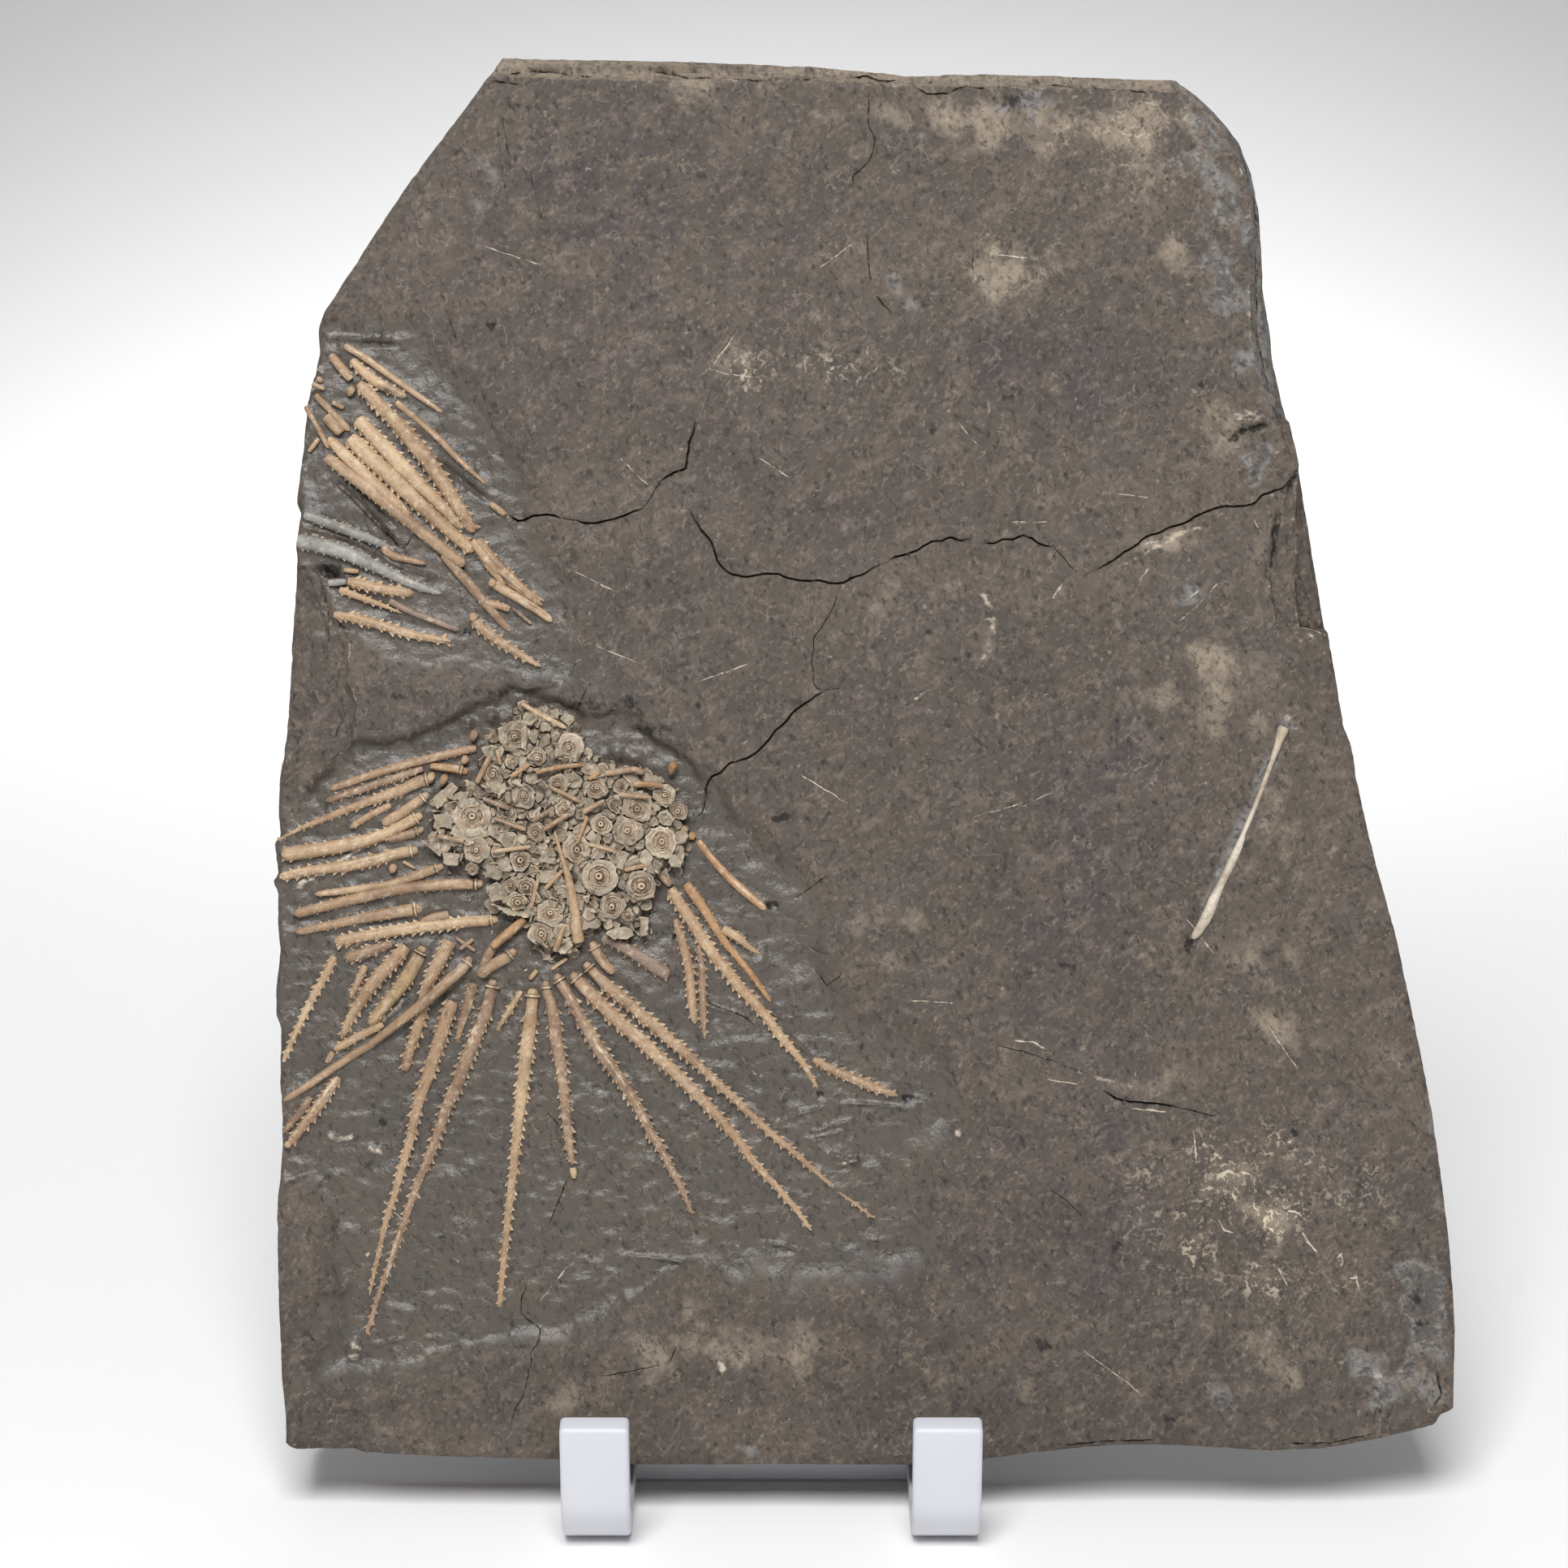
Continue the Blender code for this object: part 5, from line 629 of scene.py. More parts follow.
class FOSSIL_PG_spines(bpy.types.PropertyGroup):
    """Sizes of the spines."""

    thorn: FloatProperty(name="Thorn", description="Length of a thorn, in mm", default=0.95, min=0.1)
    spacing: FloatProperty(
        name="Thorn spacing", description="Distance between whorls of thorns near the base, in mm",
        default=1.35, min=0.5,
    )
    sides: IntProperty(name="Sides", description="Sides of a spine's mesh", default=18, min=8)
    step: FloatProperty(
        name="Step", description="Distance between a spine's rings, in mm", default=0.5, min=0.2,
    )


class FOSSIL_PG_test(bpy.types.PropertyGroup):
    """Sizes of the crushed test."""

    plate: FloatProperty(name="Plate", description="Thickness of a plate, in mm", default=0.8, min=0.2)
    shards: IntProperty(name="Shards", description="Broken shards among the plates", default=420, min=0)
    scatter: IntProperty(
        name="Scatter", description="Shards scattered on the stone round the test", default=130, min=0,
    )


class FOSSIL_PG_stage(bpy.types.PropertyGroup):
    """Light and background."""

    key: FloatProperty(
        name="Key light", description="Power of the large soft light, in watts",
        default=20.0, min=0, unit="POWER",
    )
    back: FloatProperty(
        name="Background light", description="Power of the light on the backdrop, in watts",
        default=2.6, min=0, unit="POWER",
    )
    fill: FloatProperty(name="Fill", description="Strength of the even light all round", default=0.19, min=0)
    paper: FloatVectorProperty(
        name="Paper", description="Colour of the floor and the backdrop",
        default=(0.94, 0.94, 0.945), size=3, subtype="COLOR",
    )


# ---------------------------------------------------------------- numbers and meshes
def linear(code):
    """An sRGB hex code as linear RGBA."""
    channels = [int(code[i : i + 2], 16) / 255 for i in (0, 2, 4)]
    return (*(c / 12.92 if c <= 0.04045 else ((c + 0.055) / 1.055) ** 2.4 for c in channels), 1)


def face_mm(path):
    """Grid places as an array of millimetres across and up the face."""
    places = np.array([point[:2] for point in path], float)
    return np.column_stack([(places[:, 0] - GRID_MIDDLE) * GRID_MM, (GRID_FOOT - places[:, 1]) * GRID_MM])


def to_world(points):
    """Millimetres on the face (across, up, out of it) as metres in the row frame."""
    return np.asarray(points, float) * MM @ np.array(FACE.to_3x3()).T + np.array(FACE.translation)


def rough(points, size, octaves=3, seed=0.0):
    """Smooth noise, about -1 to 1, over points in mm; size is its largest grain in mm."""
    points = np.asarray(points, float)
    if points.shape[1] == 2:
        points = np.column_stack([points, np.zeros(len(points))])
    return np.array([noise.fractal(Vector(p), 1.0, 2.0, octaves) for p in points / size + seed])


def smooth(value, low, high):
    """0 below low, 1 above high, and a smooth ramp between."""
    t = np.clip((value - low) / (high - low), 0, 1)
    return t * t * (3 - 2 * t)


def path_distance(points, path):
    """Distance of each point from a polyline, and the share of its length where it is nearest."""
    best = np.full(len(points), 1e9)
    share = np.zeros(len(points))
    lengths = np.r_[0, np.cumsum(np.hypot(*np.diff(path, axis=0).T))]
    for i, (a, b) in enumerate(zip(path, path[1:])):
        ab = b - a
        t = np.clip(((points - a) @ ab) / (ab @ ab), 0, 1)
        gap = np.hypot(*(points - a - t[:, None] * ab).T)
        nearer = gap < best
        best[nearer] = gap[nearer]
        share[nearer] = (lengths[i] + t[nearer] * (lengths[i + 1] - lengths[i])) / lengths[-1]
    return best, share


def inside(points, outline):
    """Whether each point is inside a closed outline."""
    x, y = points.T
    found = np.zeros(len(points), bool)
    for (x0, y0), (x1, y1) in zip(outline, np.roll(outline, -1, axis=0)):
        if y0 != y1:
            found ^= ((y0 > y) != (y1 > y)) & (x < (x1 - x0) * (y - y0) / (y1 - y0) + x0)
    return found


def depth_in(points, outline):
    """Distance from a closed outline, positive inside it."""
    gap, _ = path_distance(points, np.vstack([outline, outline[:1]]))
    return np.where(inside(points, outline), gap, -gap)


def resampled(path, step, closed=False):
    """A polyline with points about every step."""
    path = np.vstack([path, path[:1]]) if closed else np.asarray(path, float)
    lengths = np.r_[0, np.cumsum(np.hypot(*np.diff(path, axis=0).T))]
    at = np.linspace(0, lengths[-1], max(3, int(round(lengths[-1] / step))), endpoint=not closed)
    return np.column_stack([np.interp(at, lengths, path[:, i]) for i in (0, 1)])


def beside(line, offset):
    """A polyline moved sideways."""
    along = np.gradient(line, axis=0)
    return line + offset * np.column_stack([-along[:, 1], along[:, 0]]) / np.hypot(*along.T)[:, None]


def near_line(points, line, margin):
    """Which points are in a polyline's box."""
    return ((points > line.min(axis=0) - margin) & (points < line.max(axis=0) + margin)).all(axis=1)


ROW_RISE = 0.866  # height of a row of even triangles, in steps
JITTER = 0.16


def hex_grid(low, high, step, seed):
    """A jittered triangular grid of points between two corners."""
    rng = np.random.default_rng(seed)
    xs = np.arange(low[0], high[0], step)
    ys = np.arange(low[1], high[1], step * ROW_RISE)
    rows = [np.column_stack([xs + (j % 2) * step / 2, np.full(len(xs), y)]) for j, y in enumerate(ys)]
    grid = np.vstack(rows)
    return grid + rng.uniform(-JITTER, JITTER, grid.shape) * step


def triangulated(loop, others):
    """Points and triangles inside a closed loop; the loop's own points come first."""
    count = len(loop)
    edges = [(i, (i + 1) % count) for i in range(count)]
    inside_only, nearest = 1, 1e-5
    points = [Vector(p) for p in np.vstack([loop, others])]
    made = delaunay_2d_cdt(points, edges, [], inside_only, nearest)
    return np.array([tuple(p) for p in made[0]]), [tuple(face) for face in made[2]]


def new_piece(name, points, faces, finish, nodes=(), smooth_angle=40, marks=None):
    """A mesh object from points in metres, riding on the body and standing for its CAD nodes."""
    mesh = bpy.data.meshes.new(name)
    mesh.from_pydata([tuple(p) for p in points], [], faces)
    mesh.validate()
    mesh.shade_smooth()
    mesh.set_sharp_from_angle(angle=math.radians(smooth_angle))
    for mark, values in (marks or {}).items():
        mesh.attributes.new(mark, "FLOAT", "POINT").data.foreach_set("value", np.asarray(values, np.float32))
    mesh.materials.append(finish)
    made = bpy.data.objects.new(name, mesh)
    bpy.context.scene.collection.objects.link(made)
    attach(made, BODY)
    if nodes:
        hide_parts(*nodes)
    return made


class Builder:
    """Gathers several closed shells, with a tone for each point, into one mesh."""

    def __init__(self):
        self.points, self.faces, self.tones, self.count = [], [], [], 0

    def add(self, points, faces, tone=0.0):
        points = np.asarray(points, float)
        self.points.append(points)
        self.faces += [tuple(i + self.count for i in face) for face in faces]
        self.tones.append(np.broadcast_to(np.asarray(tone, float), (len(points),)))
        self.count += len(points)

    def piece(self, name, finish, slot, nodes=(), smooth_angle=40):
        tone = np.concatenate(self.tones)
        marks = {"light": np.clip(tone, 0, 1), "dark": np.clip(-tone, 0, 1)}
        points = to_world(np.vstack(self.points))
        return new_piece(name, points, self.faces, finish, nodes, smooth_angle, marks)


def tube_faces(rings, sides):
    """Faces of a capped tube whose points come ring by ring."""
    faces = []
    for i in range(rings - 1):
        for j in range(sides):
            k = (j + 1) % sides
            faces.append((i * sides + j, i * sides + k, (i + 1) * sides + k, (i + 1) * sides + j))
    faces.append(tuple(range(sides - 1, -1, -1)))
    faces.append(tuple((rings - 1) * sides + j for j in range(sides)))
    return faces


# ---------------------------------------------------------------- materials
def add(tree, kind, inputs, out=0, **settings):
    """Adds a node with its settings and links, and gives one of its outputs."""
    made = tree.nodes.new(kind)
    for name, value in settings.items():
        setattr(made, name, value)
    for name, value in inputs.items():
        if isinstance(value, bpy.types.NodeSocket):
            tree.links.new(value, made.inputs[name])
        else:
            made.inputs[name].default_value = value
    return made.outputs[out]


LAYER_TURN = 1.3  # radians from one layer's noise to the next, so that no two line up
LAYER_STRETCH = (1, 1, 1.7)
VEIN_SHIFT = (0.37, 0.19)


def new_material(name, base, layers, veins, bumps, **values):
    """A material painted in layers of natural grain; values are the shader's own, by name.

    A layer holds its grain in mm, detail, the noise where it starts and is full, its most, the mark that it
    keeps to and its colour. A vein runs where a noise crosses its middle: grain in mm, width, most, mark and
    colour. A bump holds its grain in mm, its height in mm and the mark that it keeps to.
    """
    made = bpy.data.materials.new(name)
    made.use_nodes = True
    tree = made.node_tree
    shader = tree.nodes["Principled BSDF"]
    for key, value in values.items():
        shader.inputs[key.replace("_", " ")].default_value = value
    place = add(tree, "ShaderNodeTexCoord", {}, "Object")
    names = {row[-2] for row in (*layers, *veins)} | {row[-1] for row in bumps}
    marks = {}
    for mark in sorted(names - {""}):
        marks[mark] = add(tree, "ShaderNodeAttribute", {}, "Fac", attribute_name=mark)

    colour = linear(base)
    for number, (grain_mm, detail, start, full, most, mark, code) in enumerate(layers):
        turn = {"Vector": place, "Rotation": (0, number * LAYER_TURN, 0), "Scale": LAYER_STRETCH}
        moved = add(tree, "ShaderNodeMapping", turn, vector_type="TEXTURE")
        grain = {"Vector": moved, "Scale": 1 / (grain_mm * MM), "Detail": detail, "Roughness": 0.6}
        share = add(tree, "ShaderNodeTexNoise", grain)
        if mark:
            share = add(tree, "ShaderNodeMath", {0: marks[mark], 1: 0.5, 2: share}, operation="MULTIPLY_ADD")
            start, full = start + 0.5, full + 0.5
        ramp = {"Value": share, "From Min": start, "From Max": full, "To Max": most}
        share = add(tree, "ShaderNodeMapRange", ramp)
        colour = add(tree, "ShaderNodeMix", {0: share, 6: colour, 7: linear(code)}, 2, data_type="RGBA")

    for number, (grain_mm, width, most, mark, code) in enumerate(veins, 50):
        shift = (number * VEIN_SHIFT[0], number * VEIN_SHIFT[1], 0)
        moved = add(tree, "ShaderNodeMapping", {"Vector": place, "Location": shift})
        grain = {"Vector": moved, "Scale": 1 / (grain_mm * MM), "Detail": 4.0, "Roughness": 0.5}
        winding = add(tree, "ShaderNodeTexNoise", grain)
        finer = {"Vector": moved, "Scale": 3 / (grain_mm * MM), "Detail": 2.0}
        breaks = add(tree, "ShaderNodeTexNoise", finer)
        share = add(tree, "ShaderNodeMath", {0: winding, 1: 0.5, 2: width}, operation="COMPARE")
        ramp = {"Value": breaks, "From Min": 0.5, "From Max": 0.58, "To Max": most}
        broken = add(tree, "ShaderNodeMapRange", ramp)
        share = add(tree, "ShaderNodeMath", {0: share, 1: broken}, operation="MULTIPLY")
        if mark:
            share = add(tree, "ShaderNodeMath", {0: share, 1: marks[mark]}, operation="MULTIPLY")
        colour = add(tree, "ShaderNodeMix", {0: share, 6: colour, 7: linear(code)}, 2, data_type="RGBA")
    tree.links.new(colour, shader.inputs["Base Color"])

    height = 0.0
    for grain_mm, height_mm, mark in bumps:
        grain = {"Vector": place, "Scale": 1 / (grain_mm * MM), "Detail": 3.0, "Roughness": 0.6}
        pattern = add(tree, "ShaderNodeTexNoise", grain)
        most = height_mm
        if mark:
            most = add(tree, "ShaderNodeMath", {0: marks[mark], 1: height_mm}, operation="MULTIPLY")
        height = add(tree, "ShaderNodeMath", {0: pattern, 1: most, 2: height}, operation="MULTIPLY_ADD")
    normal = add(tree, "ShaderNodeBump", {"Height": height, "Distance": MM, "Strength": 1.0})
    tree.links.new(normal, shader.inputs["Normal"])
    return made, tree, shader


def split_shale(settings):
    """Shale, split by hand and cleared with air tools round the fossils.

    Split faces are dull and clouded brown and purple-grey, sandy where they are stained; cleared stone has a
    soft sheen. Clouds of 5 to 50 mm follow the beds. The stone's own silt is finer than 0.1 mm: it is drawn at
    0.8 to 3.2 mm, as coarse as it needs to show.
    """
    layers = (
        (50, 3, 0.44, 0.62, 0.60, "", settings.dark),
        (30, 4, 0.48, 0.64, 0.45, "", "675C51"),
        (14, 6, 0.05, 0.60, 0.85, "purple", settings.purple),
        (10, 6, 0.48, 0.64, 0.45, "", "4B4544"),
        (9, 5, 0.05, 0.45, 0.60, "cleared", settings.cleared),
        (6, 6, 0.50, 0.64, 0.50, "", "63584C"),
        # The pale layers also paint the highlight along the rims' crests.
        (12, 9, 0.22, 0.72, 0.55, "pale", settings.pale),
        (3.4, 8, 0.28, 0.52, 0.50, "pale", "8B7E6D"),
        (1.1, 6, 0.36, 0.60, 0.42, "pale", "9C8F7E"),
        (5, 8, 0.24, 0.46, 0.85, "blue", settings.blue),
        (1.3, 6, 0.40, 0.60, 0.60, "blue", "908D89"),
        (0.9, 6, 0.44, 0.56, 0.85, "blue", "4C4844"),
        (3.2, 5, 0.48, 0.66, 0.50, "open", "453C38"),
        (2.4, 5, 0.52, 0.68, 0.50, "open", "776A60"),
        (0.9, 3, 0.50, 0.70, 0.50, "", "403735"),
        (0.8, 3, 0.54, 0.72, 0.45, "open", "8D7E71"),
        (2.0, 2, 0.66, 0.72, 0.55, "open", "2F2A28"),
        (1.6, 2, 0.70, 0.75, 0.40, "open", "A29384"),
        # Light and dark layers: painted shade in cracks and pits, painted highlight on crests, pale scratches,
        # calcite.
        (1.2, 3, 0.18, 0.45, 1.00, "light", "C2B5A3"),
        (1.0, 2, 0.05, 0.30, 0.95, "dark", "1D1A18"),
    )
    veins = (
        (11, 0.005, 0.30, "", "8F8275"),
        (7, 0.009, 0.60, "", "332D2B"),
        (6, 0.020, 0.7, "veined", "C9BDA6"),
        (2.6, 0.03, 0.5, "veined", "B9AC97"),
    )
    bumps = ((0.9, 0.13, ""), (2.6, 0.30, ""), (6.5, 0.4, "open"), (1.4, 0.35, "blue"))
    shale = new_material("split shale", settings.stone, layers, veins, bumps, Specular_IOR_Level=0.45)
    made, tree, shader = shale
    cleared = add(tree, "ShaderNodeAttribute", {}, "Fac", attribute_name="cleared")
    gloss = add(tree, "ShaderNodeMapRange", {"Value": cleared, "To Min": 0.78, "To Max": 0.40})
    tree.links.new(gloss, shader.inputs["Roughness"])
    return made


# Each finish of calcite: its middle, pale and dark colours.
SPINE_FINISHES = {
    "tan": ("9F8368", "B69B7E", "765D48"),
    "light": ("AC9072", "C9B08F", "846A50"),
    "dark": ("8E755F", "A78C75", "644F3F"),
    "orange": ("A8835F", "BF9A74", "79583D"),
    "ochre": ("A28867", "BCA27D", "766247"),
    "purple": ("8A7668", "A28E82", "5F4E45"),
    "grey": ("8F8C87", "B1AFA9", "5C5854"),
    "pale": ("B0A28E", "D6CDBE", "82735F"),
}


def fossil_calcite(name):
    """Calcite spine, exposed with needles: sandy to brown, a faint sheen, pale dust, painted shade and
    highlights.

    Its stains run over 4 to 12 mm. Its cleavage grain and the dust on it are finer than 0.2 mm: they are drawn
    at 0.7 to 2 mm, as coarse as they need to show.
    """
    middle, pale, dark = SPINE_FINISHES[name]
    # Dark and light layers: painted shade on undersides, grooves and pits, painted highlight on tips and
    # rings.
    layers = (
        (12, 3, 0.44, 0.62, 0.70, "", pale), (8, 4, 0.50, 0.66, 0.60, "", dark),
        (1.8, 4, 0.52, 0.68, 0.50, "", dark), (1.2, 3, 0.54, 0.70, 0.50, "", "D3C4AC"),
        (0.7, 2, 0.56, 0.72, 0.45, "", dark), (4.5, 4, 0.62, 0.70, 0.30, "", "A8A097"),
        (2.2, 3, 0.20, 0.55, 0.95, "dark", "4A3E35"), (1.0, 3, 0.20, 0.60, 0.90, "light", "E3D2B6"),
    )  # fmt: skip
    bumps = ((0.8, 0.16, ""), (2.0, 0.14, ""))
    finish = {"Roughness": 0.5, "Specular_IOR_Level": 0.4}
    return new_material(f"{name} calcite spine", middle, layers, (), bumps, **finish)[0]


def weathered_plate():
    """Calcite plate, weathered in the rock: sandy grey-brown and matt, rims worn pale, painted highlight and
    shade.

    Its pores are about 0.02 mm: the grain is drawn at 0.9 to 3 mm, as coarse as it needs to show.
    """
    # Dark and light layers: painted shade below and between plates, painted highlight on their rims.
    layers = (
        (6, 4, 0.44, 0.60, 0.70, "", "A5967F"), (3, 4, 0.48, 0.64, 0.65, "", "6E6256"),
        (1.2, 3, 0.54, 0.70, 0.50, "", "5B5046"), (0.9, 3, 0.52, 0.68, 0.55, "", "CDC1AF"),
        (2.4, 4, 0.56, 0.66, 0.50, "", "8C7054"), (1.6, 3, 0.10, 0.42, 0.95, "dark", "332B25"),
        (1.2, 3, 0.18, 0.68, 0.85, "light", "D8C9B1"),
    )  # fmt: skip
    bumps = ((0.7, 0.08, ""), (1.8, 0.10, ""))
    finish = {"Roughness": 0.6, "Specular_IOR_Level": 0.35}
    return new_material("weathered calcite plate", "9A8D7B", layers, (), bumps, **finish)[0]


def frosted_acrylic():
    """Acrylic sheet, heat-bent and bead-blasted: milky, faintly blue, with a soft sheen.

    Blasting leaves pits of about 0.05 mm: its frost is drawn at 0.6 mm and very low, as coarse as it needs to
    show.
    """
    layers = ((30, 1, 0.3, 0.7, 0.35, "", "E2E7F6"),)
    bumps = ((0.6, 0.006, ""),)
    finish = {"IOR": 1.49, "Transmission_Weight": 0.32, "Roughness": 0.42, "Specular_IOR_Level": 0.5}
    return new_material("frosted acrylic sheet", "F2F3F8", layers, (), bumps, **finish)[0]


def studio_paper(settings):
    """Matt paper on a roll, hung in a sweep: even, pale and without a sheen."""
    made = bpy.data.materials.new("matt studio paper")
    made.use_nodes = True
    shader = made.node_tree.nodes["Principled BSDF"]
    shader.inputs["Base Color"].default_value = (*settings.paper, 1)
    shader.inputs["Roughness"].default_value = 0.9
    shader.inputs["Specular IOR Level"].default_value = 0.1
    return made


# ---------------------------------------------------------------- the slab
def rim_drop(points, base, marks):
    """Lowers the points beyond a broken rim, marks how weathered they are and paints a highlight on its crest.
    """
    for inner, outer, drop, fall, pale, blue in RIMS:
        near, far = face_mm(inner), face_mm(outer)
        beyond = inside(points, np.vstack([near, far[::-1]]))
        gap, _ = path_distance(points, near)
        span = np.hypot(*(far - near).mean(axis=0))
        slope = drop * smooth(gap, 0.0, 0.5) + (fall - drop) * np.clip(gap / span, 0, 1)
        beds = 0.5 * rough(points, 3.5, 4, 7.0) + 0.35 * np.sin(gap * 3.2 + 2 * rough(points, 9, 2, 8.0))
        base = np.where(beyond, np.minimum(base, -slope + beds * smooth(gap, 0.2, 1.5)), base)
        # Painted highlight: a pale band along the face's side of each rim's crest.
        crest = (1 - smooth(gap, 0.0, 0.7)) * ~beyond
        marks["pale"] = np.maximum(marks["pale"], np.where(beyond, pale, 0.8 * crest))
        marks["blue"] = np.maximum(marks["blue"], beyond * blue)
        marks["tone"] = marks["tone"] + 0.35 * crest
    return base


def stone_lines():
    """Each line's width, height, tone and brokenness, and its path in mm, which wanders a little."""
    for number, (width, height, tone, broken, paths) in enumerate(STONE_LINES.values()):
        for path in paths:
            line = resampled(face_mm(path), 0.6)
            across, up = rough(line, 1.7, 3, 3.0 + number), rough(line, 1.7, 3, 9.0 + number)
            yield width, height, tone, broken, line + 0.16 * np.column_stack([across, up])


def spine_beds(points, height):
    """Stone left banked against the spines' flanks, with a shallow trough outside it."""
    bank = np.zeros(len(points))
    for depth, rows in SPINES.values():
        for _, _, _, path in rows:
            line = face_mm(path)
            near = near_line(points, line, 4)
            if not near.any():
                continue
            gap, share = path_distance(points[near], line)
            widths = np.array([p[2] for p in path]) * GRID_MM
            clear = np.maximum(gap - np.interp(share, np.linspace(0, 1, len(widths)), widths) * 0.42, 0)
            bank[near] = np.maximum(bank[near], 0.22 * np.exp(-(clear**2) / 0.3))
    return height + bank


def hollow_share(points, outline, warp, widths):
    """How far each point is down in a hollow: 0 on the face, 1 on its floor."""
    return smooth(depth_in(points + warp, face_mm(outline)), -widths, 0.3)


def reach_squared(points, column, row, wide, high):
    """Squared distance of each point from a place on the face, in shares of an ellipse's radii."""
    offset = (points - face_mm(((column, row),))) / (np.array((wide, high)) * GRID_MM)
    return (offset**2).sum(axis=1)


def face_relief(points):
    """Height of the stone over the nominal face in mm, with the marks that its colours follow."""
    marks = {name: np.zeros(len(points)) for name in ("cleared", "pale", "blue", "purple", "veined", "tone")}
    warp = np.column_stack([rough(points, 7, 4, 13.0), rough(points, 7, 4, 17.0)])
    height = 0.22 * rough(points, 45, 2, 1.0) + 0.12 * rough(points, 8, 4, 2.0)

    # Thin laminae broken off in patches leave small steps.
    leaf = rough(points, 24, 5, 5.0)
    height -= 0.22 * smooth(leaf, 0.10, 0.14) + 0.16 * smooth(leaf, 0.38, 0.41)

    # The cleared hollows: steep above the test, easy on the other sides.
    across, up = points.T
    right, low, left = smooth(across, -34, -14), smooth(-up, -110, -60), smooth(-across, 90, 105)
    widths = 2.4 + 7.5 * right + 5.0 * low + 3.0 * left
    uneven = 0.9 + 0.6 * rough(points, 16, 3, 21.0)
    main = hollow_share(points, MAIN_HOLLOW, warp * 1.8, widths * uneven)
    cluster = hollow_share(points, CLUSTER_HOLLOW, warp * 1.8, np.full(len(points), 6.0))
    worked = 0.50 * rough(points, 9, 3, 6.0) + 0.30 * rough(points * (1, 1.6), 3.6, 3, 4.0) + 0.12
    height = height * (1 - main) - (MAIN_DEPTH_MM - worked) * main
    height = height * (1 - cluster) - (CLUSTER_DEPTH_MM - 0.8 * worked) * cluster
    ragged = 0.25 * warp
    cleared = smooth(main + ragged[:, 0], 0.3, 0.9) + smooth(cluster + ragged[:, 1], 0.5, 1.0)
    marks["cleared"] = np.clip(cleared, 0, 1)

    groove, _ = path_distance(points + 0.3 * warp, face_mm(LONE_GROOVE))
    channel = 1 - smooth(groove, 0.7, 1.7)
    height -= LONE_DEPTH_MM * channel
    marks["blue"] += 0.5 * channel + 0.4 * (1 - smooth(groove, 1.2, 4.0))
    height = spine_beds(points, height)
    height = rim_drop(points, height, marks)

    # Lines and lumps add their tones: painted shade in cracks, gaps and pits, painted highlight on ridges.
    for width, rise, tone, broken, line in stone_lines():
        near = near_line(points, line, 2.5)
        gap, share = path_distance(points[near], line)
        fade = 0.25 + 0.75 * smooth(share, 0, 0.15) * smooth(-share, -1, -0.85)
        breaks = 1 - broken * smooth(rough(points[near], 2.2, 3, 23.0), -0.05, 0.35)
        strength = np.clip(1 - gap / (width / 2), 0, 1) ** 0.7 * fade * breaks
        height[near] += rise * strength
        marks["tone"][near] += tone * strength * (1 - np.abs(np.clip(marks["tone"][near], -1, 1)))
    for column, row, wide, high, rise, tone in STONE_LUMPS:
        ragged = 0.35 * min(wide, high) * GRID_MM * warp
        strength = np.clip(1 - reach_squared(points + ragged, column, row, wide, high), 0, 1) ** 1.3
        height += rise * strength
        marks["tone"] += tone * smooth(strength, 0, 0.5) * (1 - np.abs(np.clip(marks["tone"], -1, 1)))

    patchy = np.clip(0.75 + 1.3 * rough(points, 9, 4, 31.0), 0.1, 1.4)
    for name, stains in STAINS.items():
        for column, row, wide, high, amount in stains:
            strength = np.exp(-reach_squared(points + 4.0 * warp, column, row, wide, high))
            marks[name] = np.maximum(marks[name], 1.5 * amount * strength * patchy)
    tone = marks.pop("tone")
    marks.update(open=1 - marks["cleared"], light=np.clip(tone, 0, 1), dark=np.clip(-tone, 0, 1))
    return height, marks


def face_points(settings, loop):
    """Where the face's mesh has points: rows along every line, and a grid that is finer in the hollows."""
    low, high = loop.min(axis=0), loop.max(axis=0)
    hollows = [face_mm(MAIN_HOLLOW), face_mm(CLUSTER_HOLLOW)]
    spread = []
    for step, seed, keep in ((settings.fine, 1, 1), (settings.coarse, 2, -1)):
        grid = hex_grid(low, high, step, seed)
        depth = np.maximum(depth_in(grid, hollows[0]), depth_in(grid, hollows[1]))
        spread.append(grid[(depth + 2.6) * keep > 0])
    lines = []
    for width, _, _, _, line in stone_lines():
        lines += [line, beside(line, width / 2), beside(line, -width / 2)]
        if width > 1:
            lines += [beside(line, width / 4), beside(line, -width / 4)]
    for inner, *_ in RIMS:
        line = resampled(face_mm(inner), 0.8)
        lines += [beside(line, offset) for offset in (-0.3, 0.0, 0.3, 0.7)]
    lines = np.vstack(lines)
    spread = np.vstack(spread)
    cells = {tuple(c) for c in np.floor(lines / 0.5).astype(int)}
    free = np.array([tuple(c) not in cells for c in np.floor(spread / 0.5).astype(int)])
    others = np.vstack([lines, spread[free]])
    return others[depth_in(others, loop) > 0.35]


# Where bedding planes show on the sides, as shares of the thickness from the front.
BED_SHARES = (0.06, 0.14, 0.24, 0.34, 0.45, 0.56, 0.67, 0.78, 0.88, 0.96, 1.0)
STANDING_MM = (-56, 22)  # the stretch of the lower edge that stands on the easel stays straight


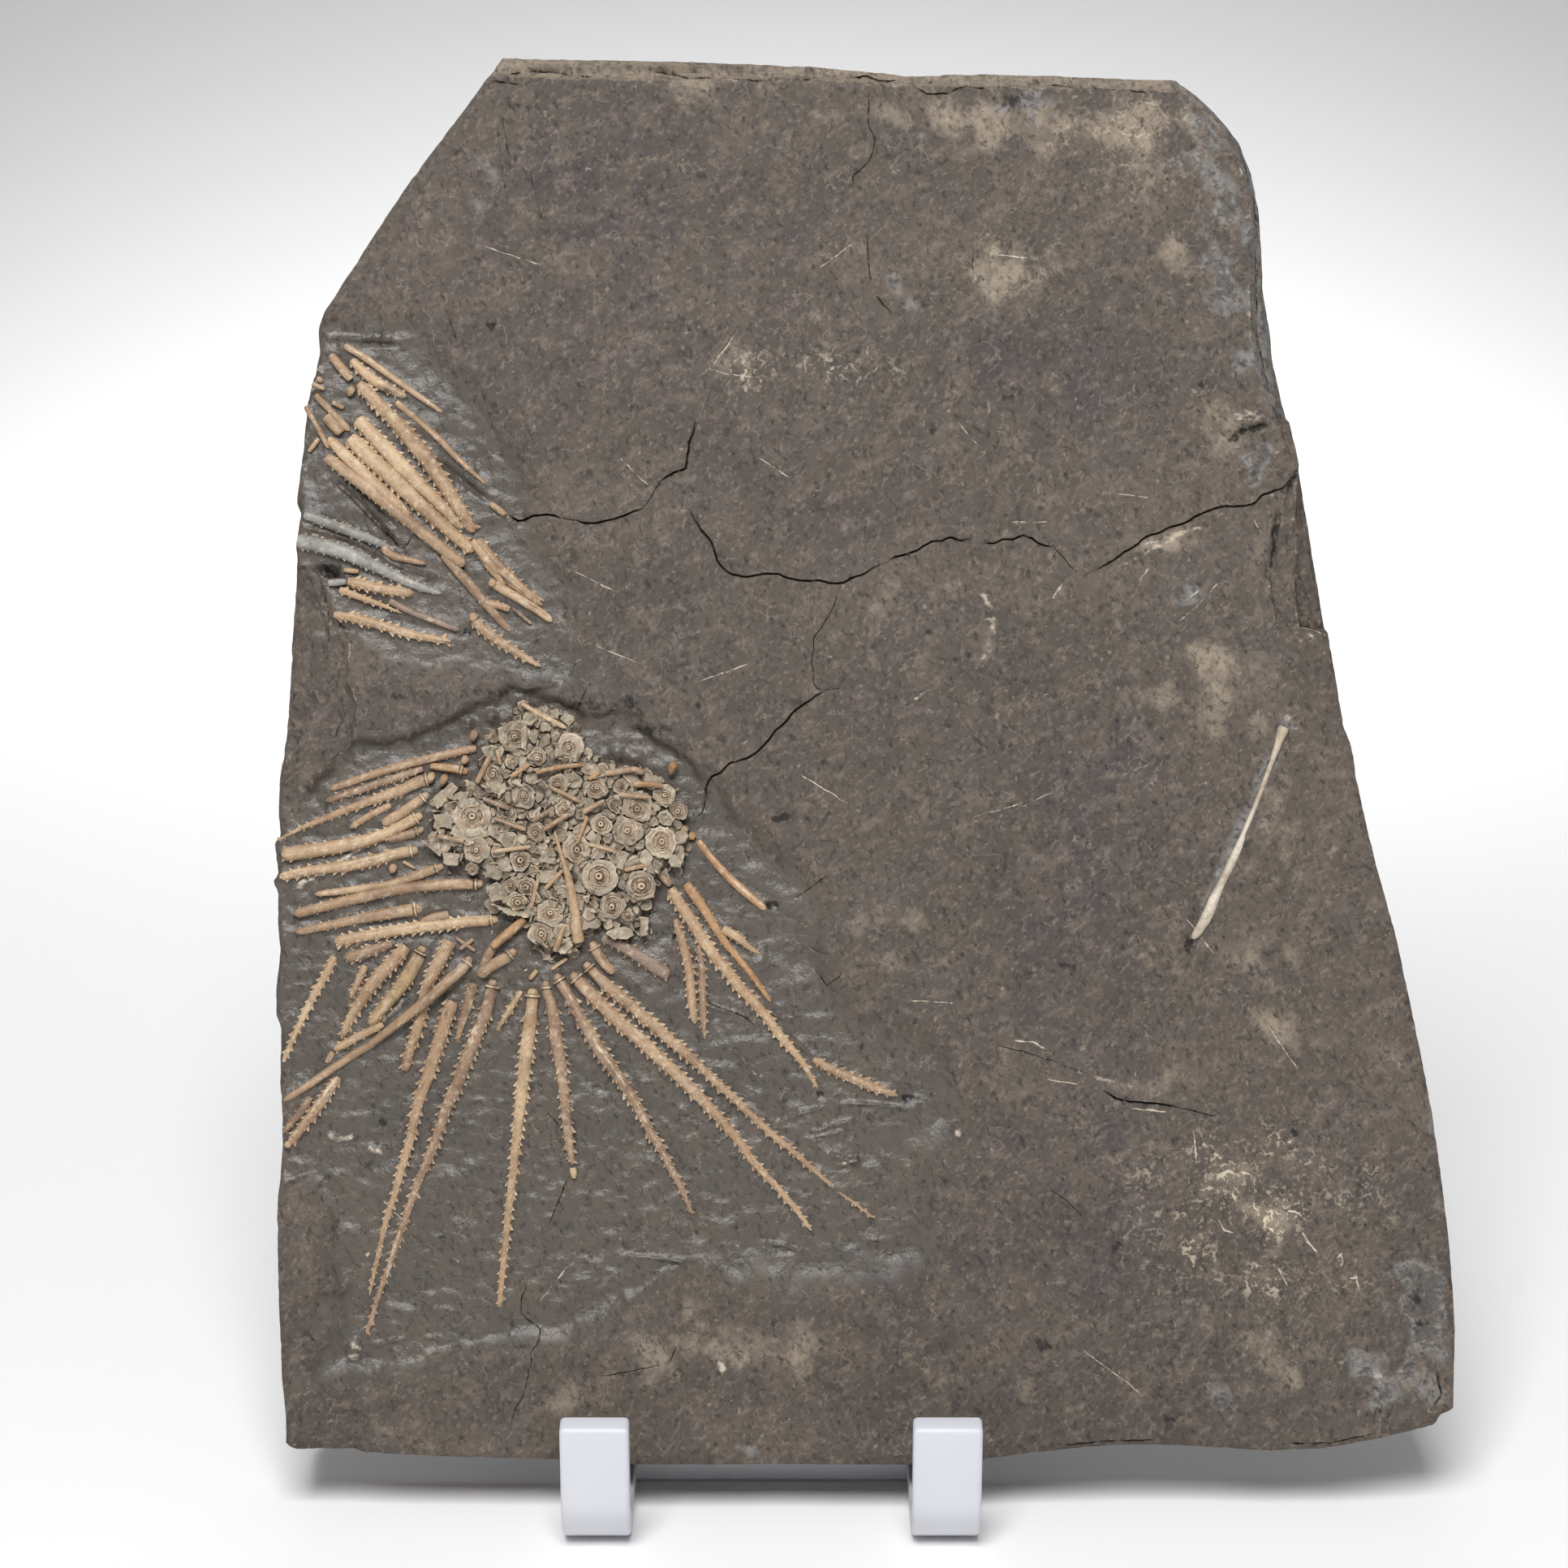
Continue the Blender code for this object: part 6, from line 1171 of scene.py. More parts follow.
def slab_mesh(settings):
    """The whole slab: relief face, laminated sides and a rough back."""
    outline = face_mm(SLAB_OUTLINE)
    loop = resampled(outline, 0.9, closed=True)
    wander = np.column_stack([rough(loop, 3, 3, 21.0), rough(loop, 3, 3, 31.0)])
    centre = outline.mean(axis=0)
    inward = (centre - loop) / np.hypot(*(centre - loop).T)[:, None]
    standing = (loop[:, 1] < 0.5) & (loop[:, 0] > STANDING_MM[0]) & (loop[:, 0] < STANDING_MM[1])
    loop = loop + np.where(standing[:, None], 0, 0.18 * np.abs(wander[:, :1]) * inward + 0.08 * wander)
    flat, faces = triangulated(loop, face_points(settings, loop))
    relief, marks = face_relief(flat)
    rim = len(loop)
    relief[:rim] -= 0.5
    points = [np.column_stack([flat, relief])]

    # Sides: bedding planes show as ledges that run all round.
    starts = [0]
    for share in BED_SHARES:
        level = relief[:rim] + (-THICKNESS_MM - relief[:rim]) * share
        bed = rough(np.column_stack([loop * 0.12, level]), 3.2, 3, 41.0)
        chips = rough(np.column_stack([loop, level]), 6, 4, 51.0)
        cut = np.clip(0.55 + 0.45 * bed + 0.35 * chips + (0.5 if share == 1.0 else 0), 0, 2.0)
        cut = np.where(standing, 0.05, cut) * min(1, share * 6)
        starts.append(sum(len(ring) for ring in points))
        points.append(np.column_stack([loop + inward * cut[:, None], level]))
    for a, b in zip(starts, starts[1:]):
        faces += [(a + (i + 1) % rim, a + i, b + i, b + (i + 1) % rim) for i in range(rim)]

    back_loop = points[-1][:, :2]
    grid = hex_grid(outline.min(axis=0), outline.max(axis=0), 4.0, 3)
    back, back_faces = triangulated(back_loop, grid[depth_in(grid, back_loop) > 2.0])
    start = sum(len(ring) for ring in points)
    depth = -THICKNESS_MM + 0.5 * np.abs(rough(back, 30, 4, 61.0))
    points.append(np.column_stack([back[rim:], depth[rim:]]))
    for face in back_faces:
        faces.append(tuple(starts[-1] + i if i < rim else start + i - rim for i in reversed(face)))
    points = np.vstack(points)
    rest = len(points) - len(flat)
    bare = {"open": 1.0, "blue": 0.25, "pale": 0.2}
    for name, values in marks.items():
        marks[name] = np.concatenate([values, np.full(rest, bare.get(name, 0.0))])
    return points, faces, marks


# ---------------------------------------------------------------- spines
COLLAR_RINGS = (0.3, 0.8, 1.05, 1.12, 1.4, 1.48, 1.7, 2.1)  # distances from the base in mm that need a ring
SMOOTHING = np.array((1, 2, 3, 2, 1)) / 9


def path_frames(path, depth, step, rise, extra=()):
    """Centres, directions, widths and distances along a spine that lies half sunk at a depth."""
    lifts = [point[3] if len(point) > 3 else 0.0 for point in path]
    raw = np.column_stack([face_mm(path), [point[2] * GRID_MM for point in path], lifts])
    lengths = np.r_[0, np.cumsum(np.hypot(*np.diff(raw[:, :2], axis=0).T))]
    count = max(4, int(lengths[-1] / step) + 1)
    even = np.linspace(0, lengths[-1], count)
    values = [np.interp(even, lengths, raw[:, i]) for i in range(4)]
    if count > 9:
        for i in (0, 1, 3):
            before = 2 * values[i][0] - values[i][2:0:-1]
            after = 2 * values[i][-1] - values[i][-2:-4:-1]
            values[i] = np.convolve(np.r_[before, values[i], after], SMOOTHING, "valid")
    at = np.unique([*even, *extra])
    x, y, width, lift = (np.interp(at, even, value) for value in values)
    centres = np.column_stack([x, y, -depth + CLEARANCE_MM + rise * width + lift])
    along = np.gradient(centres, axis=0)
    along /= np.linalg.norm(along, axis=1)[:, None]
    return centres, along, width, at


def collar_profile(at, width, collar):
    """Shaft radius at each distance, with the cone, milled ring and neck that a spine's base has."""
    radius = width / 2
    if not collar:
        return radius * np.interp(at, (0, 0.25, 0.6), (0.82, 0.96, 1.0))
    places = (0, 0.3, 0.8, 1.05, 1.12, 1.40, 1.48, 2.4)
    shape = np.interp(at, places, (0.40, 0.58, 0.68, 0.72, 1.0, 1.0, 0.80, 0.0))
    base = np.maximum(collar * GRID_MM / 2 * shape, radius * smooth(at, 1.0, 1.7))
    return np.where(at < 2.6, base, radius)


THORN_FOOT = np.array([(math.cos(a), math.sin(a)) for a in np.arange(6) * math.tau / 6])
THORN_FACES = [(5, 4, 3, 2, 1, 0), *((j, (j + 1) % 6, 6) for j in range(6))]
# A whorl's thorns: angle round the shaft, place along the gap to the next whorl, share of a full thorn.
WHORL = (
    (0.12, 0.0, 1.0), (math.pi - 0.12, 0.45, 1.0), (0.8, 0.3, 0.62), (1.5, 0.8, 0.55), (2.35, 0.65, 0.62),
)  # fmt: skip
THORNS_LEFT = 0.94  # the share of thorns that no needle has broken off
SHORT_SPINE_MM = 12
BROKEN_PIECE_MM = 8


def add_thorn(builder, base, out, along, size):
    """A thorn: a stout barb on a long foot that leans to the spine's tip."""
    across = np.cross(along, out)
    foot = base + size * (THORN_FOOT[:, :1] * along * 0.80 + THORN_FOOT[:, 1:] * across * 0.42)
    # Painted shade at the thorn's foot and a painted highlight on its point.
    builder.add([*foot, base + size * (out * 0.80 + along * 0.62)], THORN_FACES, [-0.2] * 6 + [0.9])


def tip_taper(at):
    """How far a spine thins at each distance, next to its tip."""
    shares = (0.35, 0.8, 1.0) if at[-1] > BROKEN_PIECE_MM else (0.72, 0.95, 1.0)
    return np.interp(at[-1] - at, (0, 0.3, 0.9), shares)


def first_whorl(length, collar):
    """Where a spine's thorns begin: past its collar, and sooner on a short one."""
    if not collar:
        return 0.7
    return 3.0 if length < SHORT_SPINE_MM else 5.6


def add_spine(builder, path, depth, collar, thorns, settings, seed, rise=0.12):
    """A spine with its collar, barbed thorns in whorls, uneven tone, and painted shade and highlight."""
    extra = COLLAR_RINGS if collar else ()
    centres, along, width, at = path_frames(path, depth, settings.step, rise, extra)
    rng = np.random.default_rng(seed)
    side = np.cross(along, (0, 0, 1))
    side /= np.linalg.norm(side, axis=1)[:, None]
    up = np.cross(side, along)
    radius = collar_profile(at, width * 1.06, collar) * tip_taper(at)
    sides = settings.sides
    angles = np.arange(sides) * math.tau / sides
    streaks = 0.26 * rng.standard_normal(sides)
    drift = 0.35 * rough(np.column_stack([at, np.full(len(at), seed * 3.7)]), 7, 3)
    # Painted shade: the side of the shaft that faces down into the stone is darkened.
    underside_shade = smooth(-np.sin(angles), -0.35, 0.4)
    rings, tones = [], []
    for i in range(len(at)):
        wobble = 1 + 0.04 * np.sin(3 * angles + i * 0.21 + seed) + 0.03 * rng.standard_normal(sides)
        milled = collar and 1.1 < at[i] < 1.45
        if milled:
            wobble = 1 + 0.03 * (np.arange(sides) % 2)
        spokes = np.outer(np.cos(angles), side[i]) + np.outer(np.sin(angles), up[i])
        rings.append(centres[i] + spokes * (radius[i] * wobble)[:, None])
        grooved = collar and (1.45 < at[i] < 1.8 or 0.8 < at[i] < 1.1)
        # Painted highlight on the raised milled ring and painted shade in the grooves either side of it.
        tones.append(streaks + drift[i] - underside_shade + (0.6 if milled else 0) - (0.8 if grooved else 0))
    builder.add(np.vstack(rings), tube_faces(len(at), sides), np.concatenate(tones))
    where = first_whorl(at[-1], collar)
    while thorns and where < at[-1] - 0.5:
        gap = settings.spacing * (1 + 0.45 * where / at[-1])
        for angle, shift, share in WHORL:
            spot = where + gap * (shift + 0.25 * (rng.random() - 0.5))
            i = int(np.argmin(np.abs(at - spot)))
            if spot > at[-1] - 0.4 or rng.random() > THORNS_LEFT:
                continue
            lean = angle + 0.2 * (rng.random() - 0.5)
            out = side[i] * math.cos(lean) + up[i] * math.sin(lean)
            size = settings.thorn * thorns * share * (0.75 + 0.45 * rng.random())
            size *= min(1.0, 0.45 + width[i] / 3.4)
            add_thorn(builder, centres[i] + out * radius[i] * 0.84, out, along[i], size)
        where += gap * (0.92 + 0.16 * rng.random())


# ---------------------------------------------------------------- the crushed test
def turned(points, centre, tilt_across, tilt_down):
    """Points turned about a centre by two tilts in degrees."""
    across, down = math.radians(tilt_across), math.radians(tilt_down)
    turn = np.array(Matrix.Rotation(across, 3, "Y") @ Matrix.Rotation(down, 3, "X"))
    return (points - centre) @ turn.T + centre


def add_plate(builder, outline, level, tilts, thickness, pale, rng):
    """A broken plate: ragged outline, worn bevel, slightly dished top.

    Each ring of its profile is a share of the outline, a height over the level in mm and a tone.
    """
    # Painted shade on the underside and lower bevel; the pale top edge is a fresh break and a painted
    # highlight.
    profile = (
        (1.0, -thickness, -0.9), (1.04, -0.3 * thickness, -0.35), (1.0, -0.05, 0.6),
        (0.93, 0.03, 0.35), (0.8, -0.05, 0.0), (0.45, -0.07, -0.1),
    )  # fmt: skip
    loop = resampled(np.asarray(outline, float), 0.5, closed=True)
    centre = loop.mean(axis=0)
    loop = loop + min(0.1, 0.06 * np.ptp(loop, axis=0).min()) * rng.standard_normal(loop.shape)
    count = len(loop)
    rings, tones = [], []
    for share, rise, tone in profile:
        heights = level + rise + 0.03 * rng.standard_normal(count)
        rings.append(np.column_stack([centre + (loop - centre) * share, heights]))
        tones.append(np.full(count, tone + pale))
    points = turned(np.vstack(rings), np.array((*centre, level)), *tilts)
    builder.add(points, tube_faces(len(rings), count), np.concatenate(tones))


def add_tubercle(builder, centre, boss, areole, tilts, rng):
    """A tubercle: ring of the sunken areole, terraced boss, and a knob with a pit.

    Each ring of its profile is a radius, a height in mm and a tone: painted highlight on ridges, shade in
    hollows.
    """
    sides = 24
    angles = np.arange(sides) * math.tau / sides
    profile = (
        (areole * 1.04, -0.35, -0.6), (areole, 0.14, 0.7), (areole * 0.93, 0.20, 0.9),
        (areole * 0.86, 0.02, -0.5), (boss * 1.34, -0.16, -1.0), (boss * 1.12, -0.12, -1.0),
        (boss * 1.05, 0.26, 0.5), (boss * 0.90, 0.36, 0.7), (boss * 0.78, 0.22, -1.0),
        (boss * 0.66, 0.28, -1.0), (boss * 0.58, 0.78, 0.3), (boss * 0.46, 1.02, 0.9),
        (boss * 0.28, 1.06, 0.7), (boss * 0.20, 0.92, -0.8), (boss * 0.14, 0.7, -1.0),
    )  # fmt: skip
    rings, tones = [], []
    squash = 1 + 0.2 * (rng.random() - 0.5)
    worn = 0.7 + 0.5 * rng.random()
    for radius, level, tone in profile:
        wobble = radius * (1 + 0.015 * rng.standard_normal(sides))
        heights = level * worn * boss / 0.9 + 0.012 * rng.standard_normal(sides)
        ring = [np.cos(angles) * wobble * squash, np.sin(angles) * wobble / squash, heights]
        rings.append(np.column_stack(ring) + centre)
        tones.append(tone + 0.25 * rng.standard_normal(sides))
    points = turned(np.vstack(rings), np.asarray(centre), *tilts)
    builder.add(points, tube_faces(len(rings), sides), np.concatenate(tones))


def crowded(seeds, reaches, gap):
    """The outline that each plate keeps when its neighbours crowd it."""
    circle = np.array([(math.cos(a), math.sin(a)) for a in np.arange(9) * math.tau / 9])
    outlines = []
    for i, (seed, reach) in enumerate(zip(seeds, reaches)):
        outline = seed + circle * reach * 1.12
        for other, their in zip(np.delete(seeds, i, axis=0), np.delete(reaches, i)):
            apart = np.hypot(*(other - seed))
            if apart > 1.15 * (reach + their):
                continue
            facing = (other - seed) / apart
            limit = apart / 2 + (reach**2 - their**2) / (2 * apart) - gap / 2
            kept = []
            for a, b in zip(outline, np.roll(outline, -1, axis=0)):
                over_a, over_b = (a - seed) @ facing - limit, (b - seed) @ facing - limit
                if over_a <= 0:
                    kept.append(a)
                if (over_a < 0) != (over_b < 0):
                    kept.append(a + (b - a) * over_a / (over_a - over_b))
            outline = np.array(kept).reshape(-1, 2)
            if len(outline) < 3:
                break
        outlines.append(outline)
    return outlines


def shard(place, rng, longest):
    """The outline of a broken shard: often a sliver, sometimes a chip."""
    length = longest * (0.35 + 0.65 * rng.random())
    width = length * rng.choice((0.12, 0.18, 0.25, 0.5))
    corners = rng.integers(4, 7)
    shares = rng.uniform(0, math.tau / corners * 0.7, corners)
    angles = np.sort(shares + np.arange(corners) * math.tau / corners)
    shape = np.column_stack([np.cos(angles) * length / 2, np.sin(angles) * max(width, 0.26) / 2])
    spin = rng.random() * math.pi
    return shape @ np.array(((math.cos(spin), math.sin(spin)), (-math.sin(spin), math.cos(spin)))) + place


def mound(depth):
    """Height of the test's crust at a distance inside its outline."""
    return -MAIN_DEPTH_MM - 0.3 + (MAIN_DEPTH_MM + TEST_CREST_MM - 0.15) * smooth(depth, -0.3, 2.0)


def test_bed(spacing):
    """The crust that the plates lie in: a rough mound with sloping flanks, in painted shade where it lies low.
    """
    outline = face_mm(TEST_OUTLINE)
    loop = resampled(outline, spacing, closed=True)
    grid = hex_grid(loop.min(axis=0), loop.max(axis=0), spacing, 5)
    flat, faces = triangulated(loop, grid[depth_in(grid, loop) > spacing * 0.6])
    depth = depth_in(flat, outline)
    lumps = 0.35 * rough(flat, 3.0, 4, 71.0) + 0.25 * rough(flat, 1.0, 2, 81.0)
    height = mound(depth) + smooth(depth, 0, 1.5) * lumps
    rim = len(loop)
    foot = np.column_stack([loop, np.full(rim, -MAIN_DEPTH_MM - 1.0)])
    points = np.vstack([np.column_stack([flat, height]), foot])
    start = len(flat)
    faces += [((i + 1) % rim, i, start + i, start + (i + 1) % rim) for i in range(rim)]
    faces.append(tuple(start + i for i in reversed(range(rim))))
    # Painted shade: the crust darkens the lower it lies between the plates, and most at its foot.
    return points, faces, np.concatenate([-0.75 + 0.6 * smooth(height, -0.3, 0.8), np.full(rim, -0.9)])


def outward(outline):
    """An outline that runs anticlockwise."""
    x, y = (outline - outline.mean(axis=0)).T
    return outline if (x * np.roll(y, -1) - y * np.roll(x, -1)).sum() > 0 else outline[::-1]


# ---------------------------------------------------------------- the easel
def bend(centre, radius, start, end, steps=16):
    """Points of an arc in the easel's side view."""
    x, y = centre
    return [(x + radius * math.cos(a), y + radius * math.sin(a)) for a in np.linspace(start, end, steps + 1)]


def easel_profile():
    """The middle of the sheet in side view, in mm: lip, shelf, back rest, apex and rear leg."""
    half = SHEET_MM / 2
    radius = HOOK_OUTER_RADIUS_MM - half
    lip = bend((HOOK_CENTRE_MM, HOOK_OUTER_RADIUS_MM), radius, math.pi + HOOK_LEAN, 1.5 * math.pi)
    top = (lip[0][0] - HOOK_LENGTH_MM * math.sin(HOOK_LEAN), lip[0][1] + HOOK_LENGTH_MM * math.cos(HOOK_LEAN))
    edge = (THICKNESS_MM * math.cos(LEAN), SHEET_MM + CLEARANCE_MM)
    away = (math.cos(LEAN), -math.sin(LEAN))
    up = (math.sin(LEAN), math.cos(LEAN))
    on_rest = (edge[0] + away[0] * (CLEARANCE_MM + half), edge[1] + away[1] * (CLEARANCE_MM + half))
    centre_height = half + CORNER_RADIUS_MM
    along = (centre_height - on_rest[1] + away[1] * CORNER_RADIUS_MM) / up[1]
    corner = (on_rest[0] + up[0] * along - away[0] * CORNER_RADIUS_MM, centre_height)
    turn = bend(corner, CORNER_RADIUS_MM, -0.5 * math.pi, -LEAN)
    rest_end = (turn[-1][0] + up[0] * REST_LENGTH_MM, turn[-1][1] + up[1] * REST_LENGTH_MM)
    apex = (rest_end[0] + away[0] * APEX_RADIUS_MM, rest_end[1] + away[1] * APEX_RADIUS_MM)
    over = bend(apex, APEX_RADIUS_MM, math.pi - LEAN, LEG_ANGLE)
    drop = over[-1][1] - half * math.sin(LEG_ANGLE)
    return [top, *lip, *turn, *over, (over[-1][0] + drop * math.tan(LEG_ANGLE), over[-1][1] - drop)]


# ---------------------------------------------------------------- operators
class FOSSIL_OT_slab(bpy.types.Operator):
    """Build the slab: face relief, cracks, cleared hollows and laminated sides"""

    bl_idname = "fossil.slab"
    bl_label = "Slab"

    def execute(self, context):
        settings = context.scene.fossil_slab
        low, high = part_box("slab")
        if abs(low.x + high.x) > MM or abs(high.x - low.x - SLAB_WIDTH_MM * MM) > 2 * MM:
            raise RuntimeError("the slab in the frame isn't where the layout grid puts it")
        points, faces, marks = slab_mesh(settings)
        new_piece("stone_slab", to_world(points), faces, split_shale(settings), ["slab"], 50, marks)
        return {"FINISHED"}


class FOSSIL_OT_spines(bpy.types.Operator):
    """Build every spine with its collar and thorns, each in place of its plain solid"""

    bl_idname = "fossil.spines"
    bl_label = "Spines"

    def execute(self, context):
        settings = context.scene.fossil_spines
        finishes = {name: fossil_calcite(name) for name in SPINE_FINISHES}
        for group, (depth, rows) in SPINES.items():
            for number, (finish, collar, thorns, path) in enumerate(rows, 1):
                name = f"{group}_{number:02d}" if len(rows) > 1 else group
                builder = Builder()
                add_spine(builder, path, depth, collar, thorns, settings, number * 17 + len(group))
                builder.piece(f"thorny_{name}", finishes[finish], "spine", [name])
        for finish in SPINE_FINISHES:
            builder = Builder()
            for number, (kind, thorns, depth, path) in enumerate(FRAGMENTS):
                if kind == finish:
                    add_spine(builder, path, depth, 0, thorns, settings, 300 + number)
            for number, (kind, depth, column, row, width) in enumerate(HEADS):
                if kind == finish:
                    ends = ((column - 3, row - 1, width * 0.8), (column + 4, row + 2, width * 0.75))
                    stub = (ends[0], (column, row, width), ends[1])
                    add_spine(builder, stub, depth, 0, 0, settings, 400 + number)
            if builder.count:
                builder.piece(f"{finish}_spine_fragments", finishes[finish], "spine")
        return {"FINISHED"}


SEED_TRIES = 4000
SMALL_REACH_MM = (0.7, 1.7)  # of a plate without a ring, from its middle
CROWDING = 0.72  # how near two seeds may lie, as a share of their reaches
PLATE_GAP_MM = 0.22
MOST_SHARD_TILT, LOOSE_SHARD_TILT = 38, 10  # in degrees
LOOSE_TOP_MM, LOOSE_RIGHT_MM = 112, -38  # the loose shards lie below and to the left of these


def plate_seeds(outline, rng):
    """Where plates lie and how far each reaches: ringed ones, then small ones in the room that is left."""
    low, high = outline.min(axis=0), outline.max(axis=0)
    seeds = list(face_mm(RINGED_PLATES))
    reaches = [row[2] * GRID_MM for row in RINGED_PLATES]
    for _ in range(SEED_TRIES):
        place, reach = rng.uniform(low, high), rng.uniform(*SMALL_REACH_MM)
        if depth_in(place[None], outline)[0] <= 0.2:
            continue
        others = zip(seeds, reaches)
        if all(np.hypot(*(place - seed)) > CROWDING * (reach + their) for seed, their in others):
            seeds.append(place)
            reaches.append(reach)
    return seeds, reaches


def lay_plates(builder, bosses, outline, settings, rng):
    """Lays the crowded plates on the mound, and each tubercle on its plate."""
    seeds, reaches = plate_seeds(outline, rng)
    for number, shape in enumerate(crowded(np.array(seeds), np.array(reaches), PLATE_GAP_MM)):
        if len(shape) < 3 or np.ptp(shape, axis=0).min() < 0.5:
            continue
        if number < len(RINGED_PLATES):
            _, _, radius, boss, across, down, rise = RINGED_PLATES[number]
            level, tilts = TEST_CREST_MM + rise, (across, down)
            boss *= 0.8 * GRID_MM
            areole = min(radius * 0.72 * GRID_MM, boss * 1.9)
            add_tubercle(bosses, (*seeds[number], level), boss, areole, tilts, rng)
        else:
            depth = depth_in(seeds[number][None], outline)[0]
            level = float(mound(depth)) + 1.2 * rng.random()
            tilts = rng.uniform(-32, 32, 2)
        add_plate(builder, outward(shape), level, tilts, settings.plate, rng.uniform(-0.5, 0.6), rng)
    for shape, across, down, rise, pale in BLANK_PLATES:
        level, tone = TEST_CREST_MM + rise + 0.15, pale * 0.5 - 0.1
        add_plate(builder, outward(face_mm(shape)), level, (across, down), settings.plate, tone, rng)


def strew_shards(builder, outline, settings, rng):
    """Strews shards steeply among the plates, and flatter on the stone round the test."""
    low, high = outline.min(axis=0), outline.max(axis=0)
    counts = [settings.shards, settings.scatter]
    while any(counts):
        place = rng.uniform(low - 6, high + 6)
        depth = float(depth_in(place[None], outline)[0])
        loose = int(depth < -0.4)
        if not counts[loose] or depth < -5:
            continue
        elsewhere = place[1] > LOOSE_TOP_MM or place[0] > LOOSE_RIGHT_MM
        if loose and (elsewhere or rng.random() > math.exp(depth / 3)):
            continue
        counts[loose] -= 1
        level = -MAIN_DEPTH_MM + 0.35
        if not loose:
            level = float(mound(np.array(depth))) + 0.75 + 0.5 * rng.random()
        steep = LOOSE_SHARD_TILT if loose else MOST_SHARD_TILT
        shape = outward(shard(place, rng, 1.5 if loose else 3.0))
        tilts = rng.uniform(-steep, steep, 2)
        add_plate(builder, shape, level, tilts, 0.45, rng.uniform(-0.2, 1.0), rng)


class FOSSIL_OT_test(bpy.types.Operator):
    """Build the crushed test: bed, plates, ringed tubercles, rods and shards"""

    bl_idname = "fossil.test"
    bl_label = "Crushed test"

    def execute(self, context):
        settings = context.scene.fossil_test
        rng = np.random.default_rng(9)
        outline = face_mm(TEST_OUTLINE)
        builder, bosses = Builder(), Builder()
        builder.add(*test_bed(0.5))
        lay_plates(builder, bosses, outline, settings, rng)
        strew_shards(builder, outline, settings, rng)
        builder.piece("crushed_test_crust", weathered_plate(), "test", ["crushed_test"], 35)
        bosses.piece("test_tubercles", fossil_calcite("dark"), "test")
        spines = context.scene.fossil_spines
        for finish in SPINE_FINISHES:
            builder = Builder()
            for number, (kind, level, path) in enumerate(TEST_RODS):
                if kind == finish:
                    depth = -(TEST_CREST_MM + level - CLEARANCE_MM)
                    add_spine(builder, path, depth, 0, 0, spines, 700 + number, 0)
            if builder.count:
                calcite = bpy.data.materials[f"{finish} calcite spine"]
                builder.piece(f"{finish}_test_rods", calcite, "test")
        return {"FINISHED"}


def bent_sheet(context, middle):
    """The whole sheet as a thin strip along its side view, with no gap between the hooks yet."""
    profile = easel_profile()
    points = []
    for side in (-0.5, 0.5):
        across = (middle + side * EASEL_WIDTH_MM) * MM
        points += [(across, back * MM + FRONT_EDGE_Y, up * MM) for back, up in profile]
    count = len(profile)
    mesh = bpy.data.meshes.new("sheet")
    mesh.from_pydata(points, [], [(i, i + 1, count + i + 1, count + i) for i in range(count - 1)])
    sheet = bpy.data.objects.new("sheet", mesh)
    context.scene.collection.objects.link(sheet)
    return sheet


def hook_gap(context, middle):
    """The block that is cut away between the hooks: from well in front of them into the shelf."""
    front, low, high = -40, -10, 70
    bpy.ops.mesh.primitive_cube_add(size=1)
    gap = context.object
    width = EASEL_WIDTH_MM - 2 * HOOK_WIDTH_MM
    gap.dimensions = (width * MM, (SHELF_CUT_MM - front) * MM, (high - low) * MM)
    gap.location = (middle * MM, (SHELF_CUT_MM + front) / 2 * MM + FRONT_EDGE_Y, (low + high) / 2 * MM)
    return gap


class FOSSIL_OT_easel(bpy.types.Operator):
    """Build the bent acrylic easel with rounded, polished edges"""

    bl_idname = "fossil.easel"
    bl_label = "Easel"

    def execute(self, context):
        middle = (EASEL_COLUMN - GRID_MIDDLE) * GRID_MM
        sheet = bent_sheet(context, middle)
        gap = hook_gap(context, middle)
        thick = sheet.modifiers.new("thickness", "SOLIDIFY")
        thick.thickness = SHEET_MM * MM
        thick.offset = 0
        thick.use_even_offset = True
        cut = sheet.modifiers.new("gap between the hooks", "BOOLEAN")
        cut.object = gap
        cut.solver = "EXACT"
        edge = sheet.modifiers.new("polished edge", "BEVEL")
        edge.width = 0.9 * MM
        edge.segments = 4
        edge.limit_method = "ANGLE"
        edge.angle_limit = math.radians(50)
        context.view_layer.update()
        made = bpy.data.meshes.new_from_object(sheet.evaluated_get(context.evaluated_depsgraph_get()))
        bpy.data.objects.remove(sheet)
        bpy.data.objects.remove(gap)
        made.materials.clear()
        made.materials.append(frosted_acrylic())
        made.shade_smooth()
        made.set_sharp_from_angle(angle=math.radians(35))
        easel = bpy.data.objects.new("acrylic_easel", made)
        context.scene.collection.objects.link(easel)
        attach(easel, BODY)
        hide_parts("display_stand")
        return {"FINISHED"}


SWEEP_FRONT, SWEEP_BEND, SWEEP_RADIUS, SWEEP_TOP, SWEEP_HALF = -1.6, 0.9, 1.2, 3.5, 3.5
KEY_PLACE, KEY_AIM, KEY_SIZE, KEY_SPREAD = (-0.10, -0.84, 1.12), (0, 0, 0.12), 0.6, 180
BACK_PLACE, BACK_AIM, BACK_SIZE, BACK_SPREAD = (0.0, 1.05, 0.95), (0, 0.90, 0.0), 0.8, 76


